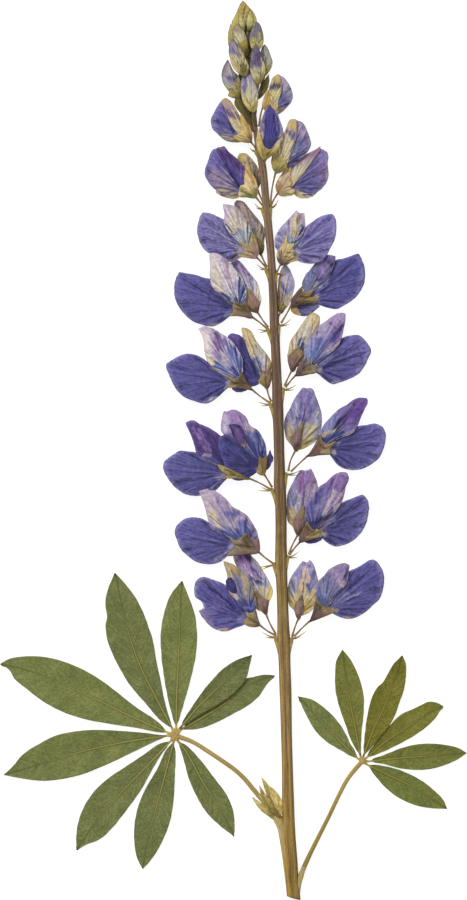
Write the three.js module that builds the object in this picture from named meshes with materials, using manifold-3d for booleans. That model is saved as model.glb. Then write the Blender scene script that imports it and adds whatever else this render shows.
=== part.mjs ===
// Lupin flower spike, pressed and dried: a flowering stem with two palmate leaves, lying on its back.
// Millimetres. +Y runs from the cut end of the stem to the tip, +X to the right leaf, +Z off the surface.
// Every stem, leaf, flower and bud is a closed solid of its own, about 0.3 mm clear of what carries it.
import * as THREE from "three";
import Module from "manifold-3d";

const wasm = await Module();
wasm.setup();

// Driving dimensions
const LAYER_PITCH = 1.4;        // height from one layer of pressed flowers to the next
const PETAL_THICK = 0.7;
const CALYX_THICK = 1.0;
const BUD_THICK = 1.1;
const PEDICEL_RADIUS = 0.25;
const CLAW_RADIUS = 0.3;        // narrow base of a petal, inside the calyx
const CLAW_REACH = 0.3;         // how far a claw runs into its petal, as a share of the petal's length
const PEDICEL_BEND = [0.5, 0.62]; // where a pedicel bends, as a share of its run across and along the stem
const FOOT_Z = 1.3;             // height at which a pedicel meets the stem
const STEM_THICK = 2.2;         // pressed thickness of the stem's lower half
const STEM_FLATNESS = 0.95;     // thickness over width, once the stem is narrow
const STEM_LIFT = 0.3;          // how far the thin upper end lies off the surface
const STUB_RADIUS = 0.3;
const STUB_Z = 0.4;
const SHEATH_RADII = [0.42, 0.3];
const SHEATH_Z = 0.45;
const PETIOLE_THICK = 0.8;
const LEAFLET_THICK = 0.15;
const MIDRIB_HEIGHT = 0.4;
const LEAFLET_BASE_WIDTH = 0.35;
const LEAFLET_TIP_WIDTH = 0.12;
const LEAFLET_GAP = 0.35;       // gap between the hub and each leaflet's base
const LEAFLET_SHAPE = 0.8;      // how full the leaflet stays toward its tip
const LEAFLET_STEPS = 9;
const PETAL_STEPS = 12;
const CALYX_STEPS = 8;
const PLATE_RIM = 0.6;          // height of a pressed piece's upright rim, as a share of its thickness
const PLATE_CROWN = 0.6;        // size of its flat crown, as a share of its outline
const PETIOLE_STEPS = 9;
const HUB_SIDES = 10;
// Sections, as shares of width across and of thickness up
const STEM_PROFILE = [
  [-0.28, 0], [0.28, 0], [0.5, 0.35], [0.5, 0.65], [0.28, 1], [-0.28, 1], [-0.5, 0.65], [-0.5, 0.35],
];
const PETIOLE_PROFILE = [[-0.5, 0], [0.5, 0], [0.5, 0.5], [0.25, 1], [-0.25, 1], [-0.5, 0.5]];
const HUB_RINGS = [[1, 0], [1, 0.6], [0.5, 1]]; // share of the hub's radius, height in mm
// Half of a stipule's outline: share of its length, half-width over length
const STIPULE_PROFILE = [[0, 0.03], [0.3, 0.13], [0.75, 0.1]];

// Stem: height up the stem, middle, width
const STEM = [
  [-94.2, 12.5, 2.9], [-92, 12.5, 3.0], [-90, 12.1, 2.6], [-85, 11.8, 2.7], [-80.5, 11.3, 2.9],
  [-77, 11.35, 2.6], [-65, 11.15, 2.2], [-50, 10.8, 2.4], [-38, 10.3, 2.4], [-20, 9.85, 2.3],
  [-5, 9.55, 2.1], [10, 9.15, 2.1], [27, 8.45, 1.9], [42, 7.7, 1.6], [50, 7.0, 1.55],
  [60, 6.0, 1.5], [66, 4.6, 0.9], [76, 3.65, 0.8], [86, 2.9, 0.7],
];
// Bract stubs left on the stem below each pedicel: root, tip
const STUBS = [
  [[9.6, -39.6], [6, -38.9]], [[11.4, -39.8], [15, -38.1]], [[9.2, -24.2], [6.6, -24.6]],
  [[10.6, -22.6], [13.6, -21.4]], [[8.9, -8.5], [5, -8.6]], [[10.2, -5.2], [14, -4.3]],
  [[8.6, 9.6], [5, 10.1]], [[9.6, 12.6], [13, 13.6]], [[8, 25.2], [4.8, 25.4]],
  [[8.8, 26], [12, 27.5]], [[7.5, 38], [4.8, 38.9]], [[8.3, 36.8], [9.6, 37.3]],
  [[6.7, 50.6], [4.3, 51.7]], [[7.3, 50.6], [8.5, 51.7]], [[5.2, 62.8], [3.3, 63.4]],
];
// Sheath of the leaf node, from the stem to just below the left petiole
const SHEATH = [[10.6, -82.8], [9.9, -80.8], [9.35, -78.7]];

// Leaves: hub and its radius, petiole width and course, and each leaflet's middle, tip and width,
// with the share of its length at which it is widest and the height it lies at
const LEFT_LEAF = {
  hub: [-12.4, -60], hubRadius: 1.3, petioleWidth: 0.95,
  petiole: [[-11.8, -60.3], [-5.6, -63.4], [0.8, -67.8], [4, -71.3], [7.6, -75.2], [9.55, -77.2]],
  leaflets: [
    { middle: [-20.8, -43], tip: [-25, -26], width: 8.7, widest: 0.55, lift: 0 },
    { middle: [-11.6, -43], tip: [-10.9, -27.7], width: 7.5, widest: 0.6, lift: 0 },
    { middle: [-3.6, -50.9], tip: [3.7, -43.2], width: 5.2, widest: 0.62, lift: 0.9 },
    { middle: [-1.4, -53.1], tip: [8.6, -47.5], width: 5.7, widest: 0.6, lift: 0 },
    { middle: [-5.7, -71.2], tip: [0, -81.2], width: 5.6, widest: 0.55, lift: 0 },
    { middle: [-16.6, -75], tip: [-19.2, -88.2], width: 7.2, widest: 0.56, lift: 0 },
    { middle: [-24.2, -71.9], tip: [-33, -84.2], width: 7, widest: 0.6, lift: 0 },
    { middle: [-31.3, -63.4], tip: [-48.4, -68.4], width: 9, widest: 0.62, lift: 0 },
    { middle: [-31.2, -51.8], tip: [-49.1, -45.1], width: 9.4, widest: 0.6, lift: 0 },
  ],
};
const RIGHT_LEAF = {
  hub: [27, -65.5], hubRadius: 0.9, petioleWidth: 0.9,
  petiole: [[26.6, -65.95], [24, -69], [22, -72.8], [18.3, -80.3], [14.4, -89]],
  leaflets: [
    { middle: [19.9, -58.4], tip: [13.5, -51.9], width: 4.7, widest: 0.5, lift: 0 },
    { middle: [24.6, -53.2], tip: [22.8, -42.1], width: 5.7, widest: 0.6, lift: 0 },
    { middle: [31.4, -53.9], tip: [35.4, -43.3], width: 5.8, widest: 0.52, lift: 0.9 },
    { middle: [35.5, -58.7], tip: [44, -53.9], width: 5, widest: 0.6, lift: 0 },
    { middle: [38.4, -64.6], tip: [48.9, -63.8], width: 5.4, widest: 0.55, lift: 0 },
    { middle: [36.3, -71], tip: [44.8, -75.5], width: 5.5, widest: 0.55, lift: 0 },
  ],
};
// Axil shoot: its base, and each stipule's tip
const SHOOT_BASE = [9.3, -77];
const SHOOT_TIPS = [[5.7, -68.7], [7.4, -70.3], [3.9, -72.8]];
const SHOOT_Z = 1.1;
const SHOOT_THICK = 1.1;

// Flowers: the layer they lie in, the foot of the pedicel at the stem, the calyx (base, upper lip and
// lower lip) and the petals, each an outline that starts at its claw
const FLOWERS = {
  left_1a: {
    layer: 1, foot: [8.5, -39.2], calyx: [[5.2, -36.6], [3, -33.9], [2.4, -37.2]],
    wings: [[3, -35.8], [0.6, -32.2], [-1.7, -28.5], [-6.8, -26.7], [-8.4, -29.5], [-6.8, -32.6],
      [-4.3, -37.5], [-0.8, -38]],
    banner: [[3.6, -34.4], [4.7, -32.3], [3.7, -28.6], [1.5, -25.4], [-1.8, -24.4], [-1.4, -27.6],
      [0.4, -31.8]],
  },
  left_1b: {
    layer: 0, foot: [8.3, -37.1], calyx: [[6.6, -34.6], [4.6, -30.4], [7, -31.2]],
    banner: [[6, -33.4], [7.9, -31.2], [7.85, -28.6], [6, -25.2], [3.5, -22.2], [0.3, -21.4],
      [0.8, -25], [4.2, -31.5]],
  },
  right_1a: {
    layer: 0, foot: [12, -38.2], calyx: [[13.4, -35.5], [13.2, -31.4], [14.9, -32.6]],
    banner: [[13.6, -34.4], [15.8, -34], [17.4, -31.7], [17.7, -28.4], [16.9, -24.6], [15.3, -23.1],
      [13.2, -25], [11.6, -28], [11.4, -31.5], [12.2, -33.6]],
  },
  right_1b: {
    layer: 1, foot: [12.5, -39.7], calyx: [[16, -35.8], [17.2, -31.4], [20.6, -34.2]],
    banner: [[18.4, -33], [20.9, -31.1], [23.5, -28.3], [24.1, -25.4], [23.3, -23.9], [20.9, -24.5],
      [17.8, -27.4], [17.2, -31]],
    wings: [[20, -33.6], [20.8, -31.5], [23.9, -27.2], [25.5, -24.9], [29.2, -23], [31.5, -27],
      [30.5, -31.4], [26.8, -34.6], [23.2, -35.4]],
  },
  left_2: {
    layer: 1, foot: [8.2, -24], calyx: [[4.9, -21.2], [2.5, -17.6], [-1.6, -22.2]],
    wings: [[0.2, -19.9], [-2.5, -17.4], [-5.7, -15], [-9.4, -14.2], [-12.4, -16.6], [-11.7, -19.8],
      [-8.5, -23.2], [-4.2, -23.8], [-1.6, -21.8]],
    banner: [[1.4, -19.8], [4.9, -19.4], [4.9, -17], [2.8, -13.9], [-0.3, -11.9], [-3.3, -10.2],
      [-5.9, -10.2], [-5.2, -15.2], [-2.4, -17.4]],
  },
  right_2a: {
    layer: 0, foot: [11.75, -21.2], calyx: [[13.2, -17.8], [13, -13.9], [15.1, -15.2]],
    banner: [[13.4, -16.6], [15.6, -15.4], [17.2, -12.2], [17.6, -8.2], [16.6, -4.6], [14.4, -3.9],
      [12.4, -6.8], [11.2, -10.4], [11.3, -14.4], [12.2, -16]],
  },
  right_2b: {
    layer: 1, foot: [11.6, -22.6], calyx: [[13.7, -19], [15, -15.2], [18, -18.8]],
    banner: [[16.4, -17], [18.8, -15], [21.4, -12.5], [23.1, -9.5], [24, -6], [22.6, -5.1],
      [19.4, -6.7], [16.3, -9.8], [14.9, -13.2], [15.2, -15.6]],
    wings: [[17.6, -17.4], [18.8, -15.3], [22.6, -11.1], [27.1, -9.4], [28.3, -12.4], [27.1, -16.8],
      [24.3, -19.5], [21.2, -20.2], [18.6, -18.8]],
  },
  left_3a: {
    layer: 1, foot: [8, -8.9], calyx: [[2.6, -5.6], [-1.8, -3.3], [-2.4, -5.9]],
    wings: [[-1.5, -5], [-4.6, -2.8], [-8.2, -0.5], [-12, -0.5], [-14.9, -3.2], [-13.7, -6.3],
      [-10.2, -9.2], [-5.4, -8.9], [-2.4, -6.8]],
    banner: [[-1.2, -4.4], [-1, -1], [-3.1, 3.2], [-7.1, 5.4], [-9.8, 6], [-9.3, 3.4], [-7.8, -0.6],
      [-4.6, -2.8]],
  },
  left_3b: {
    layer: 2, foot: [8, -7.4], calyx: [[6.7, -4.9], [6.9, -1.4], [4.8, -2]],
    wings: [[5.3, -4.2], [3.1, -5.8], [0.4, -6.4], [-1.4, -4.8], [-2.8, -0.8], [-3.4, 1.4],
      [-2.4, 3], [-0.3, 2.6], [3.1, -0.8], [5.2, -3]],
    banner: [[5.9, -3.2], [6.8, -1.2], [6.6, 1.1], [4.9, 4.2], [2.5, 6.9], [-0.3, 8.5], [-2.3, 7.9],
      [-2.6, 4.4], [-0.6, 2.2], [3.4, -1.2]],
  },
  right_3a: {
    layer: 0, foot: [11, -4.2], calyx: [[12.6, -0.2], [12.4, 4.2], [14.2, 2.2]],
    banner: [[12.9, 0.6], [15.4, 0.8], [17.8, 2.8], [18.5, 6.2], [17.4, 10.8], [15.3, 13.1],
      [13.4, 11.9], [11.2, 7.8], [10.6, 4.6], [11.3, 1.9]],
  },
  right_3b: {
    layer: 1, foot: [11.2, -5.6], calyx: [[15.5, -1.1], [17.9, 2.8], [20.3, -1.1]],
    banner: [[18.3, 0.9], [21.5, 2], [24.9, 3.7], [27.4, 8.5], [28.1, 10.5], [26.2, 11],
      [21.7, 8.3], [18.4, 4.8], [17.8, 2.6]],
    wings: [[20, 0.2], [21.8, 2.3], [26.2, 5], [30.4, 5.2], [31.9, 2.6], [30.5, -1.7],
      [26.2, -4.2], [22.6, -3.6], [20.4, -1.4]],
  },
  left_4a: {
    layer: 1, foot: [7.5, 9.2], calyx: [[3.7, 12.5], [1.5, 16.2], [-0.8, 13]],
    wings: [[-0.6, 14], [-2.8, 16.2], [-6.2, 18.9], [-9.5, 20.2], [-13, 18.9], [-14.2, 17],
      [-12, 12.5], [-8.3, 10.2], [-4.8, 9.9], [-2.2, 12.3]],
    banner: [[0.3, 14.9], [1.7, 17.2], [1.1, 20.6], [-2.8, 24.5], [-6.2, 25], [-6.8, 22.5],
      [-5.8, 18.7], [-2.8, 16.3]],
  },
  left_4b: {
    layer: 0, foot: [7.5, 10.9], calyx: [[6.8, 12.9], [7.3, 15.6], [5.3, 16.2]],
    wings: [[5, 13.8], [5.3, 15.4], [3.1, 20], [1.7, 23.7], [-0.9, 24.2], [0, 21.8], [1.6, 18],
      [2.6, 14.4]],
    banner: [[6.8, 14], [7.4, 16.4], [7.3, 18.8], [5.8, 21.5], [3.4, 25.1], [1.6, 25.6], [2.2, 22],
      [4.4, 18], [5.8, 15.5]],
  },
  right_4a: {
    layer: 0, foot: [10.5, 13.9], calyx: [[12, 16.5], [13.2, 20.4], [11.6, 19.6]],
    banner: [[12.2, 17.2], [14.4, 18.2], [16.8, 22.5], [18, 26.2], [17.4, 27.9], [15.6, 27.9],
      [13.8, 25.4], [11.5, 21.6], [11.3, 18.9]],
  },
  right_4b: {
    layer: 1, foot: [10.6, 12.5], calyx: [[13.1, 15.8], [14.8, 18.2], [17, 16.2]],
    banner: [[16.2, 17.6], [19.7, 20.6], [22.2, 22.8], [23.1, 25.8], [23.4, 28.2], [22.2, 28.6],
      [18.2, 26.3], [14.9, 22.2], [14.8, 19.2]],
    wings: [[17.3, 16.8], [20.3, 20.6], [23.3, 23.9], [26.2, 24.1], [28.6, 21.4], [27.4, 17.5],
      [24.3, 14.9], [20.8, 13.8], [18.2, 15.4]],
  },
  left_5a: {
    layer: 1, foot: [7, 24.7], calyx: [[3.7, 28], [2, 31], [-0.6, 28.3]],
    wings: [[-0.4, 29.2], [-1.5, 31.1], [-4.5, 34.2], [-6.5, 36.2], [-9.8, 37], [-12.3, 35.9],
      [-12.3, 31.6], [-9.4, 27.4], [-4.8, 26.3], [-1.8, 27.6]],
    banner: [[0.9, 29.8], [2.5, 31.9], [2.2, 34.8], [-0.9, 38.6], [-3.7, 40.2], [-5.1, 39.6],
      [-4.9, 35.2], [-2.6, 32.4]],
  },
  left_5b: {
    layer: 0, foot: [7, 26.3], calyx: [[5, 28.9], [3, 33.2], [5.4, 31]],
    banner: [[4.6, 29.6], [5.6, 31.5], [5.2, 34.5], [3.1, 37.5], [0.8, 39.5], [-0.6, 38.9],
      [1.2, 35.5], [3.4, 31.5]],
  },
  right_5a: {
    layer: 0, foot: [9.95, 28.6], calyx: [[10.3, 29.7], [10.4, 31.8], [11.2, 31.2]],
    banner: [[10.3, 30.4], [11.1, 31.2], [11.6, 33], [12.2, 36], [11.2, 38.5], [10.3, 38],
      [9.6, 35], [9.7, 31.8]],
  },
  right_5b: {
    layer: 0, foot: [9.95, 26.9], calyx: [[12.6, 30.6], [14.4, 34.2], [17.1, 31.5]],
    wings: [[17, 31.8], [18.8, 34.8], [21.4, 39.8], [24.6, 40.8], [26.4, 41.1], [27.6, 37.4],
      [26.5, 33.2], [23.4, 30.5], [20.4, 29.7], [17.6, 30.9]],
    banner: [[15.8, 33], [18.2, 35.1], [20.6, 37.8], [21.3, 40.5], [19.4, 40.9], [16, 37.8],
      [14.3, 35.2], [14.6, 33.6]],
  },
  left_6a: {
    layer: 1, foot: [6.6, 37.4], calyx: [[4.6, 40.7], [3.4, 44.2], [1.4, 41.2]],
    wings: [[1.8, 41.6], [0.9, 43.4], [-1.8, 46.5], [-2.4, 48.4], [-5.2, 49.7], [-7.1, 49.2],
      [-7.8, 46.2], [-6.6, 42.6], [-3.7, 41.3], [-0.4, 40]],
    banner: [[2.6, 42.2], [3.7, 44.9], [3.5, 46.6], [1.2, 50], [-2.2, 51.5], [-2.1, 48.6],
      [-0.9, 45.5], [0.8, 43.6]],
  },
  left_6b: {
    layer: 0, foot: [6.55, 39.1], calyx: [[5.3, 40.9], [3.9, 44], [5.6, 42.8]],
    banner: [[5.1, 41.8], [5.8, 43.2], [5.7, 46], [4.3, 49.4], [1.8, 52], [0.3, 51.9], [2.5, 48.4],
      [4, 44.5]],
  },
  right_6: {
    layer: 1, foot: [9.3, 37.2], calyx: [[9.9, 39.4], [11.2, 44.4], [12.9, 41.4]],
    banner: [[11.6, 41.6], [14.2, 44.8], [14.9, 48.4], [13.3, 50], [11.6, 48.8], [9.2, 45.8],
      [9.3, 42.4]],
    wings: [[12.6, 41], [12.9, 42.8], [15.1, 46.8], [19.4, 49.4], [21.2, 48.8], [21.4, 45.2],
      [18.8, 40.2], [15.6, 39.2], [13.4, 39.9]],
  },
  left_7a: {
    layer: 1, foot: [5.65, 50.6], calyx: [[4.5, 53.1], [2.4, 59.2], [1.2, 53.7]],
    banner: [[2.6, 56.2], [2.5, 58.6], [0.3, 61.4], [-2.5, 63.6], [-5.2, 61.6], [-6.1, 58],
      [-4.6, 55.2], [-1.5, 53.3], [1.2, 53.6]],
  },
  left_7b: {
    layer: 0, foot: [5.45, 52.3], calyx: [[4.7, 54.6], [3.2, 58], [4.9, 57.2]],
    banner: [[4.7, 55.6], [5, 57.4], [4.5, 59.8], [2.7, 62], [1.1, 62], [1.4, 60], [3, 57.5]],
  },
  right_7: {
    layer: 0, foot: [8.3, 50.9], calyx: [[9.3, 54.2], [11.6, 60], [12.6, 53.9]],
    banner: [[12, 55.2], [13.5, 53], [16.9, 53.8], [19.6, 56.6], [19.8, 61.8], [18.2, 63.6],
      [15.1, 62], [11.8, 58.9], [11.6, 56.4]],
  },
  left_8: {
    layer: 1, foot: [4.2, 62.6], calyx: [[3.5, 64.6], [1.9, 69], [0.4, 65.4]],
    banner: [[2.6, 65.2], [3.4, 67.1], [1.2, 70.2], [-1.4, 73.7], [-2.9, 73], [-4.9, 69.4],
      [-4, 66.8], [-0.6, 64.9]],
  },
  right_8: {
    layer: 1, foot: [8, 53.4], calyx: [[8.6, 58.3], [8.3, 61.4], [11, 59.9]],
    banner: [[9.2, 59.2], [11, 59.4], [15.4, 62.5], [16.2, 64.6], [14.6, 68.4], [12.6, 69.3],
      [10.6, 67], [8.6, 62.8], [8.4, 60.4]],
  },
  centre_8: {
    layer: 2, foot: [6.2, 58.6], footZ: 2.3, calyx: [[6.5, 61], [5, 65.6], [9.2, 64.8]],
    banner: [[7, 62.8], [9.2, 64], [10.2, 66.4], [8.8, 70.9], [7.4, 72.1], [6, 69.5], [5.2, 65.8],
      [5.4, 63.6]],
  },
  right_9: {
    layer: 1, foot: [5.4, 67.7], footZ: 0.8, calyx: [[6.6, 70.9], [6.3, 74.6], [8.9, 71.4]],
    banner: [[7.6, 71.6], [9.8, 70.8], [11.9, 73.2], [11.8, 76.4], [9.4, 78.9], [7.7, 77],
      [7, 74.4], [6.4, 72.6]],
  },
};

// Buds: the layer, the foot of the stalk at the stem and its height, and the outline from its base
const BUDS = {
  bud_1: {
    layer: 2, foot: [4.5, 69], footZ: 1.6,
    outline: [[3.7, 71.2], [4.9, 72.6], [5.1, 75.1], [4.3, 77.8], [2.5, 79.9], [1.5, 77.4],
      [1.7, 74.4], [2.5, 72.2]],
  },
  bud_2: {
    layer: 0, foot: [3.45, 68.3], footZ: 0.7,
    outline: [[1, 74.2], [1.5, 76.3], [0.9, 78.6], [-0.6, 80.8], [-1.5, 82], [-2.5, 79.6],
      [-2, 76.8], [-0.6, 74.8]],
  },
  bud_3: {
    layer: 1, foot: [2.7, 76.4], footZ: 1.3,
    outline: [[1.8, 79], [2.9, 79.8], [2.4, 81.6], [0.8, 84.6], [-0.3, 86], [-1.1, 83.6],
      [-0.7, 81.1], [0.6, 79.2]],
  },
  bud_4: {
    layer: 1, foot: [4.5, 74.9], footZ: 1.3,
    outline: [[5.2, 77], [6.4, 77.6], [6.9, 79.4], [6, 82.5], [4.9, 84.4], [4.1, 83.2],
      [3.6, 80.6], [4.3, 78]],
  },
  bud_5: {
    layer: 0, foot: [4.75, 73.6], footZ: 0.7,
    outline: [[6.9, 78.6], [7.7, 80], [8.1, 81.5], [7.4, 84], [6.5, 85], [5.6, 83.6], [6, 81]],
  },
  bud_6: {
    layer: 2, foot: [2.7, 82.6], footZ: 1.6,
    outline: [[1.8, 84.7], [2.5, 85.2], [2.6, 86.8], [1.8, 88.6], [0.6, 89.3], [-0.2, 88], [0.1, 86],
      [0.9, 84.9]],
  },
  bud_7: {
    layer: 2, foot: [3.3, 82.4], footZ: 1.6,
    outline: [[4.4, 84.6], [5.5, 84.8], [6.1, 86], [5.8, 88], [4.8, 89.9], [3.7, 88.2], [3.5, 86]],
  },
};
const TIP_OUTLINE = [[2.4, 84.8], [3.4, 85.8], [4.4, 88.5], [4.4, 91.1], [3.2, 93.2], [1.85, 94.3],
  [0.8, 92.7], [-0.3, 89.6], [0.2, 87.4], [1.4, 85.4]];

const material = (color, roughness) => new THREE.MeshStandardMaterial({ color, roughness, metalness: 0 });
const MATERIALS = {
  stem: material(0x8a7a48, 0.75),
  leaf: material(0x66703f, 0.85),
  violet: material(0x5a5590, 0.8),
  bud: material(0x9a935c, 0.8),
};

// Signed volume of a triangle list, positive where its faces point out
function signedVolume(points, triangles) {
  let six = 0;
  for (const [a, b, c] of triangles) {
    six += points[a].dot(new THREE.Vector3().crossVectors(points[b], points[c]));
  }
  return six / 6;
}

// Solid from points and triangles, turned so that its faces point out
function solid(points, triangles) {
  const outward = signedVolume(points, triangles) > 0;
  const faces = triangles.map(([a, b, c]) => (outward ? [a, b, c] : [a, c, b]));
  const mesh = new wasm.Mesh({
    numProp: 3,
    vertProperties: new Float32Array(points.flatMap((p) => [p.x, p.y, p.z])),
    triVerts: new Uint32Array(faces.flat()),
  });
  return new wasm.Manifold(mesh);
}

// Closed skin over rings of equal length, each end closed by the same triangles
function loft(rings, cap) {
  const count = rings[0].length;
  const triangles = [];
  for (let r = 0; r + 1 < rings.length; r += 1) {
    for (let i = 0; i < count; i += 1) {
      const a = r * count + i;
      const b = r * count + ((i + 1) % count);
      triangles.push([a, b, b + count], [a, b + count, a + count]);
    }
  }
  const last = (rings.length - 1) * count;
  for (const [a, b, c] of cap) {
    triangles.push([a, c, b], [last + a, last + b, last + c]);
  }
  return solid(rings.flat(), triangles);
}

// Cap of a convex ring: a fan from its first point
function fanCap(count) {
  return Array.from({ length: count - 2 }, (_, i) => [0, i + 1, i + 2]);
}

const at = ([x, y], z) => new THREE.Vector3(x, y, z);

// Evenly spaced points, counterclockwise, on a smooth closed outline through the given ones
function smoothOutline(points, steps) {
  const curve = new THREE.CatmullRomCurve3(points.map((p) => at(p, 0)), true, "centripetal");
  const outline = curve.getSpacedPoints(steps).slice(0, steps);
  return THREE.ShapeUtils.area(outline) < 0 ? outline.reverse() : outline;
}

// Thin pressed piece: a flat back, an upright rim and a shallow crown
function pressedPlate(points, steps, z, thick) {
  const outline = smoothOutline(points, steps);
  const middle = outline.reduce((sum, p) => sum.add(p), new THREE.Vector3()).divideScalar(steps);
  const ring = (scale, height) => outline.map((p) => {
    const q = p.clone().lerp(middle, 1 - scale);
    return q.setZ(height);
  });
  const cap = THREE.ShapeUtils.triangulateShape(outline.map((p) => new THREE.Vector2(p.x, p.y)), []);
  return loft([ring(1, z), ring(1, z + PLATE_RIM * thick), ring(PLATE_CROWN, z + thick)], cap);
}

// Round stalk through points with a radius at each end
function stalk(points, startRadius, endRadius, sides = 6, steps = 4) {
  const curve = new THREE.CatmullRomCurve3(points, false, "centripetal");
  const up = new THREE.Vector3(0, 0, 1);
  const rings = [];
  for (let s = 0; s <= steps; s += 1) {
    const centre = curve.getPoint(s / steps);
    const across = new THREE.Vector3().crossVectors(curve.getTangent(s / steps), up).normalize();
    const over = new THREE.Vector3().crossVectors(across, curve.getTangent(s / steps)).normalize();
    const radius = THREE.MathUtils.lerp(startRadius, endRadius, s / steps);
    rings.push(Array.from({ length: sides }, (_, i) => {
      const turn = (2 * Math.PI * i) / sides;
      return centre.clone()
        .addScaledVector(across, radius * Math.cos(turn))
        .addScaledVector(over, radius * Math.sin(turn));
    }));
  }
  return loft(rings, fanCap(sides));
}

// Two-lipped calyx: outline from its base round both lips
function calyx([base, upper, lower], z) {
  const b = at(base, 0);
  const middle = at(upper, 0).add(at(lower, 0)).multiplyScalar(0.5);
  const notch = b.clone().lerp(middle, 0.7);
  const side = (tip) => b.clone().lerp(at(tip, 0), 0.5).addScaledVector(at(tip, 0).sub(middle), 0.35);
  const outline = [b, side(upper), at(upper, 0), notch, at(lower, 0), side(lower)];
  return pressedPlate(outline.map((p) => [p.x, p.y]), CALYX_STEPS, z, CALYX_THICK);
}

function join(solids) {
  return solids.reduce((whole, next) => whole.add(next));
}

function flower({ layer, foot, footZ = FOOT_Z, calyx: cup, wings, banner }) {
  const z = layer * LAYER_PITCH;
  const mid = z + PETAL_THICK / 2;
  const [base] = cup;
  const inner = base.map((value, i) => value + 0.3 * ((cup[1][i] + cup[2][i]) / 2 - value));
  const bend = base.map((value, i) => value + PEDICEL_BEND[i] * (foot[i] - value));
  const pedicel = stalk([at(inner, mid), at(base, mid), at(bend, (mid + footZ) / 2), at(foot, footZ)],
    PEDICEL_RADIUS, PEDICEL_RADIUS, 5, 5);
  const petals = [wings, banner].filter(Boolean).flatMap((outline) => {
    const far = outline[Math.floor(outline.length / 2)];
    const start = at(outline[0], mid);
    const claw = [at(inner, mid), start, start.clone().lerp(at(far, mid), CLAW_REACH)];
    const plate = pressedPlate(outline, PETAL_STEPS, z, PETAL_THICK);
    return [plate, stalk(claw, CLAW_RADIUS, CLAW_RADIUS, 5, 2)];
  });
  return join([...petals, calyx(cup, z), pedicel]);
}

function bud({ layer, foot, footZ, outline }) {
  const z = layer * LAYER_PITCH;
  const mid = z + PETAL_THICK / 2;
  const body = pressedPlate(outline, PETAL_STEPS, z, BUD_THICK);
  const start = at(outline[0], mid);
  const heart = start.clone().lerp(at(outline[Math.floor(outline.length / 2)], mid), 0.25);
  const pedicel = stalk([heart, start, at(foot, footZ)], PEDICEL_RADIUS, PEDICEL_RADIUS, 5, 3);
  return join([body, pedicel]);
}

// Flattened stem section, flat on its underside
function stemRing([y, x, width]) {
  const thick = Math.min(STEM_THICK, width * STEM_FLATNESS);
  const rise = STEM_LIFT * THREE.MathUtils.smoothstep(y, -40, 70);
  return STEM_PROFILE.map(([across, up]) => at([x + across * width, y], rise + up * thick));
}

function stem() {
  const rings = STEM.map(stemRing);
  const shaft = loft(rings, fanCap(rings[0].length));
  const stubs = STUBS.map((ends) => (
    stalk(ends.map((p) => at(p, STUB_Z)), STUB_RADIUS, STUB_RADIUS / 2, 5, 1)));
  const sheath = stalk(SHEATH.map((p) => at(p, SHEATH_Z)), ...SHEATH_RADII, 6, 3);
  return join([shaft, ...stubs, sheath]);
}

// Petiole with a flat back, and the hub that carries the leaflets
function petiole({ hub, hubRadius, petioleWidth, petiole: course }) {
  const curve = new THREE.CatmullRomCurve3(course.map((p) => at(p, 0)), false, "centripetal");
  const rings = [];
  for (let s = 0; s <= PETIOLE_STEPS; s += 1) {
    const centre = curve.getPoint(s / PETIOLE_STEPS);
    const across = new THREE.Vector3(0, 0, 1).cross(curve.getTangent(s / PETIOLE_STEPS)).normalize();
    rings.push(PETIOLE_PROFILE.map(([side, up]) => (
      centre.clone().addScaledVector(across, side * petioleWidth).setZ(up * PETIOLE_THICK))));
  }
  const disc = ([scale, z]) => Array.from({ length: HUB_SIDES }, (_, i) => {
    const turn = (2 * Math.PI * i) / HUB_SIDES;
    const reach = scale * hubRadius;
    return at([hub[0] + reach * Math.cos(turn), hub[1] + reach * Math.sin(turn)], z);
  });
  const boss = loft(HUB_RINGS.map(disc), fanCap(HUB_SIDES));
  return join([loft(rings, fanCap(PETIOLE_PROFILE.length)), boss]);
}

// Leaflet: flat back and a raised midrib, widest at a share of its length
function leaflet({ hub, hubRadius }, { middle, tip, width, widest, lift }) {
  const centre = at(hub, 0);
  const outward = at(middle, 0).sub(centre).normalize();
  const base = centre.clone().addScaledVector(outward, hubRadius + LEAFLET_GAP);
  const bend = at(middle, 0).multiplyScalar(2).sub(base.clone().add(at(tip, 0)).multiplyScalar(0.5));
  const midrib = new THREE.QuadraticBezierCurve3(base, bend, at(tip, 0));
  const rise = (LEAFLET_SHAPE * widest) / (1 - widest);
  const rings = [];
  for (let s = 0; s <= LEAFLET_STEPS; s += 1) {
    const t = s / LEAFLET_STEPS;
    const fullness = (t / widest) ** rise * ((1 - t) / (1 - widest)) ** LEAFLET_SHAPE;
    const ends = THREE.MathUtils.lerp(LEAFLET_BASE_WIDTH, LEAFLET_TIP_WIDTH, t);
    const half = Math.max(width * fullness, ends) / 2;
    const point = midrib.getPoint(t);
    const across = new THREE.Vector3(0, 0, 1).cross(midrib.getTangent(t)).normalize();
    const place = (side, z) => point.clone().addScaledVector(across, side * half).setZ(lift + z);
    rings.push([place(-1, 0), place(1, 0), place(1, LEAFLET_THICK), place(0, LEAFLET_THICK + MIDRIB_HEIGHT),
      place(-1, LEAFLET_THICK)]);
  }
  return loft(rings, fanCap(5));
}

function axilShoot() {
  const [baseX, baseY] = SHOOT_BASE;
  const stipules = SHOOT_TIPS.map(([tipX, tipY]) => {
    const [alongX, alongY] = [tipX - baseX, tipY - baseY];
    const place = ([t, side]) => [baseX + t * alongX - side * alongY, baseY + t * alongY + side * alongX];
    const mirrored = STIPULE_PROFILE.map(([t, side]) => [t, -side]).reverse();
    const outline = [...STIPULE_PROFILE, [1, 0], ...mirrored].map(place);
    return pressedPlate(outline, PETAL_STEPS, SHOOT_Z, SHOOT_THICK);
  });
  return join(stipules);
}

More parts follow.
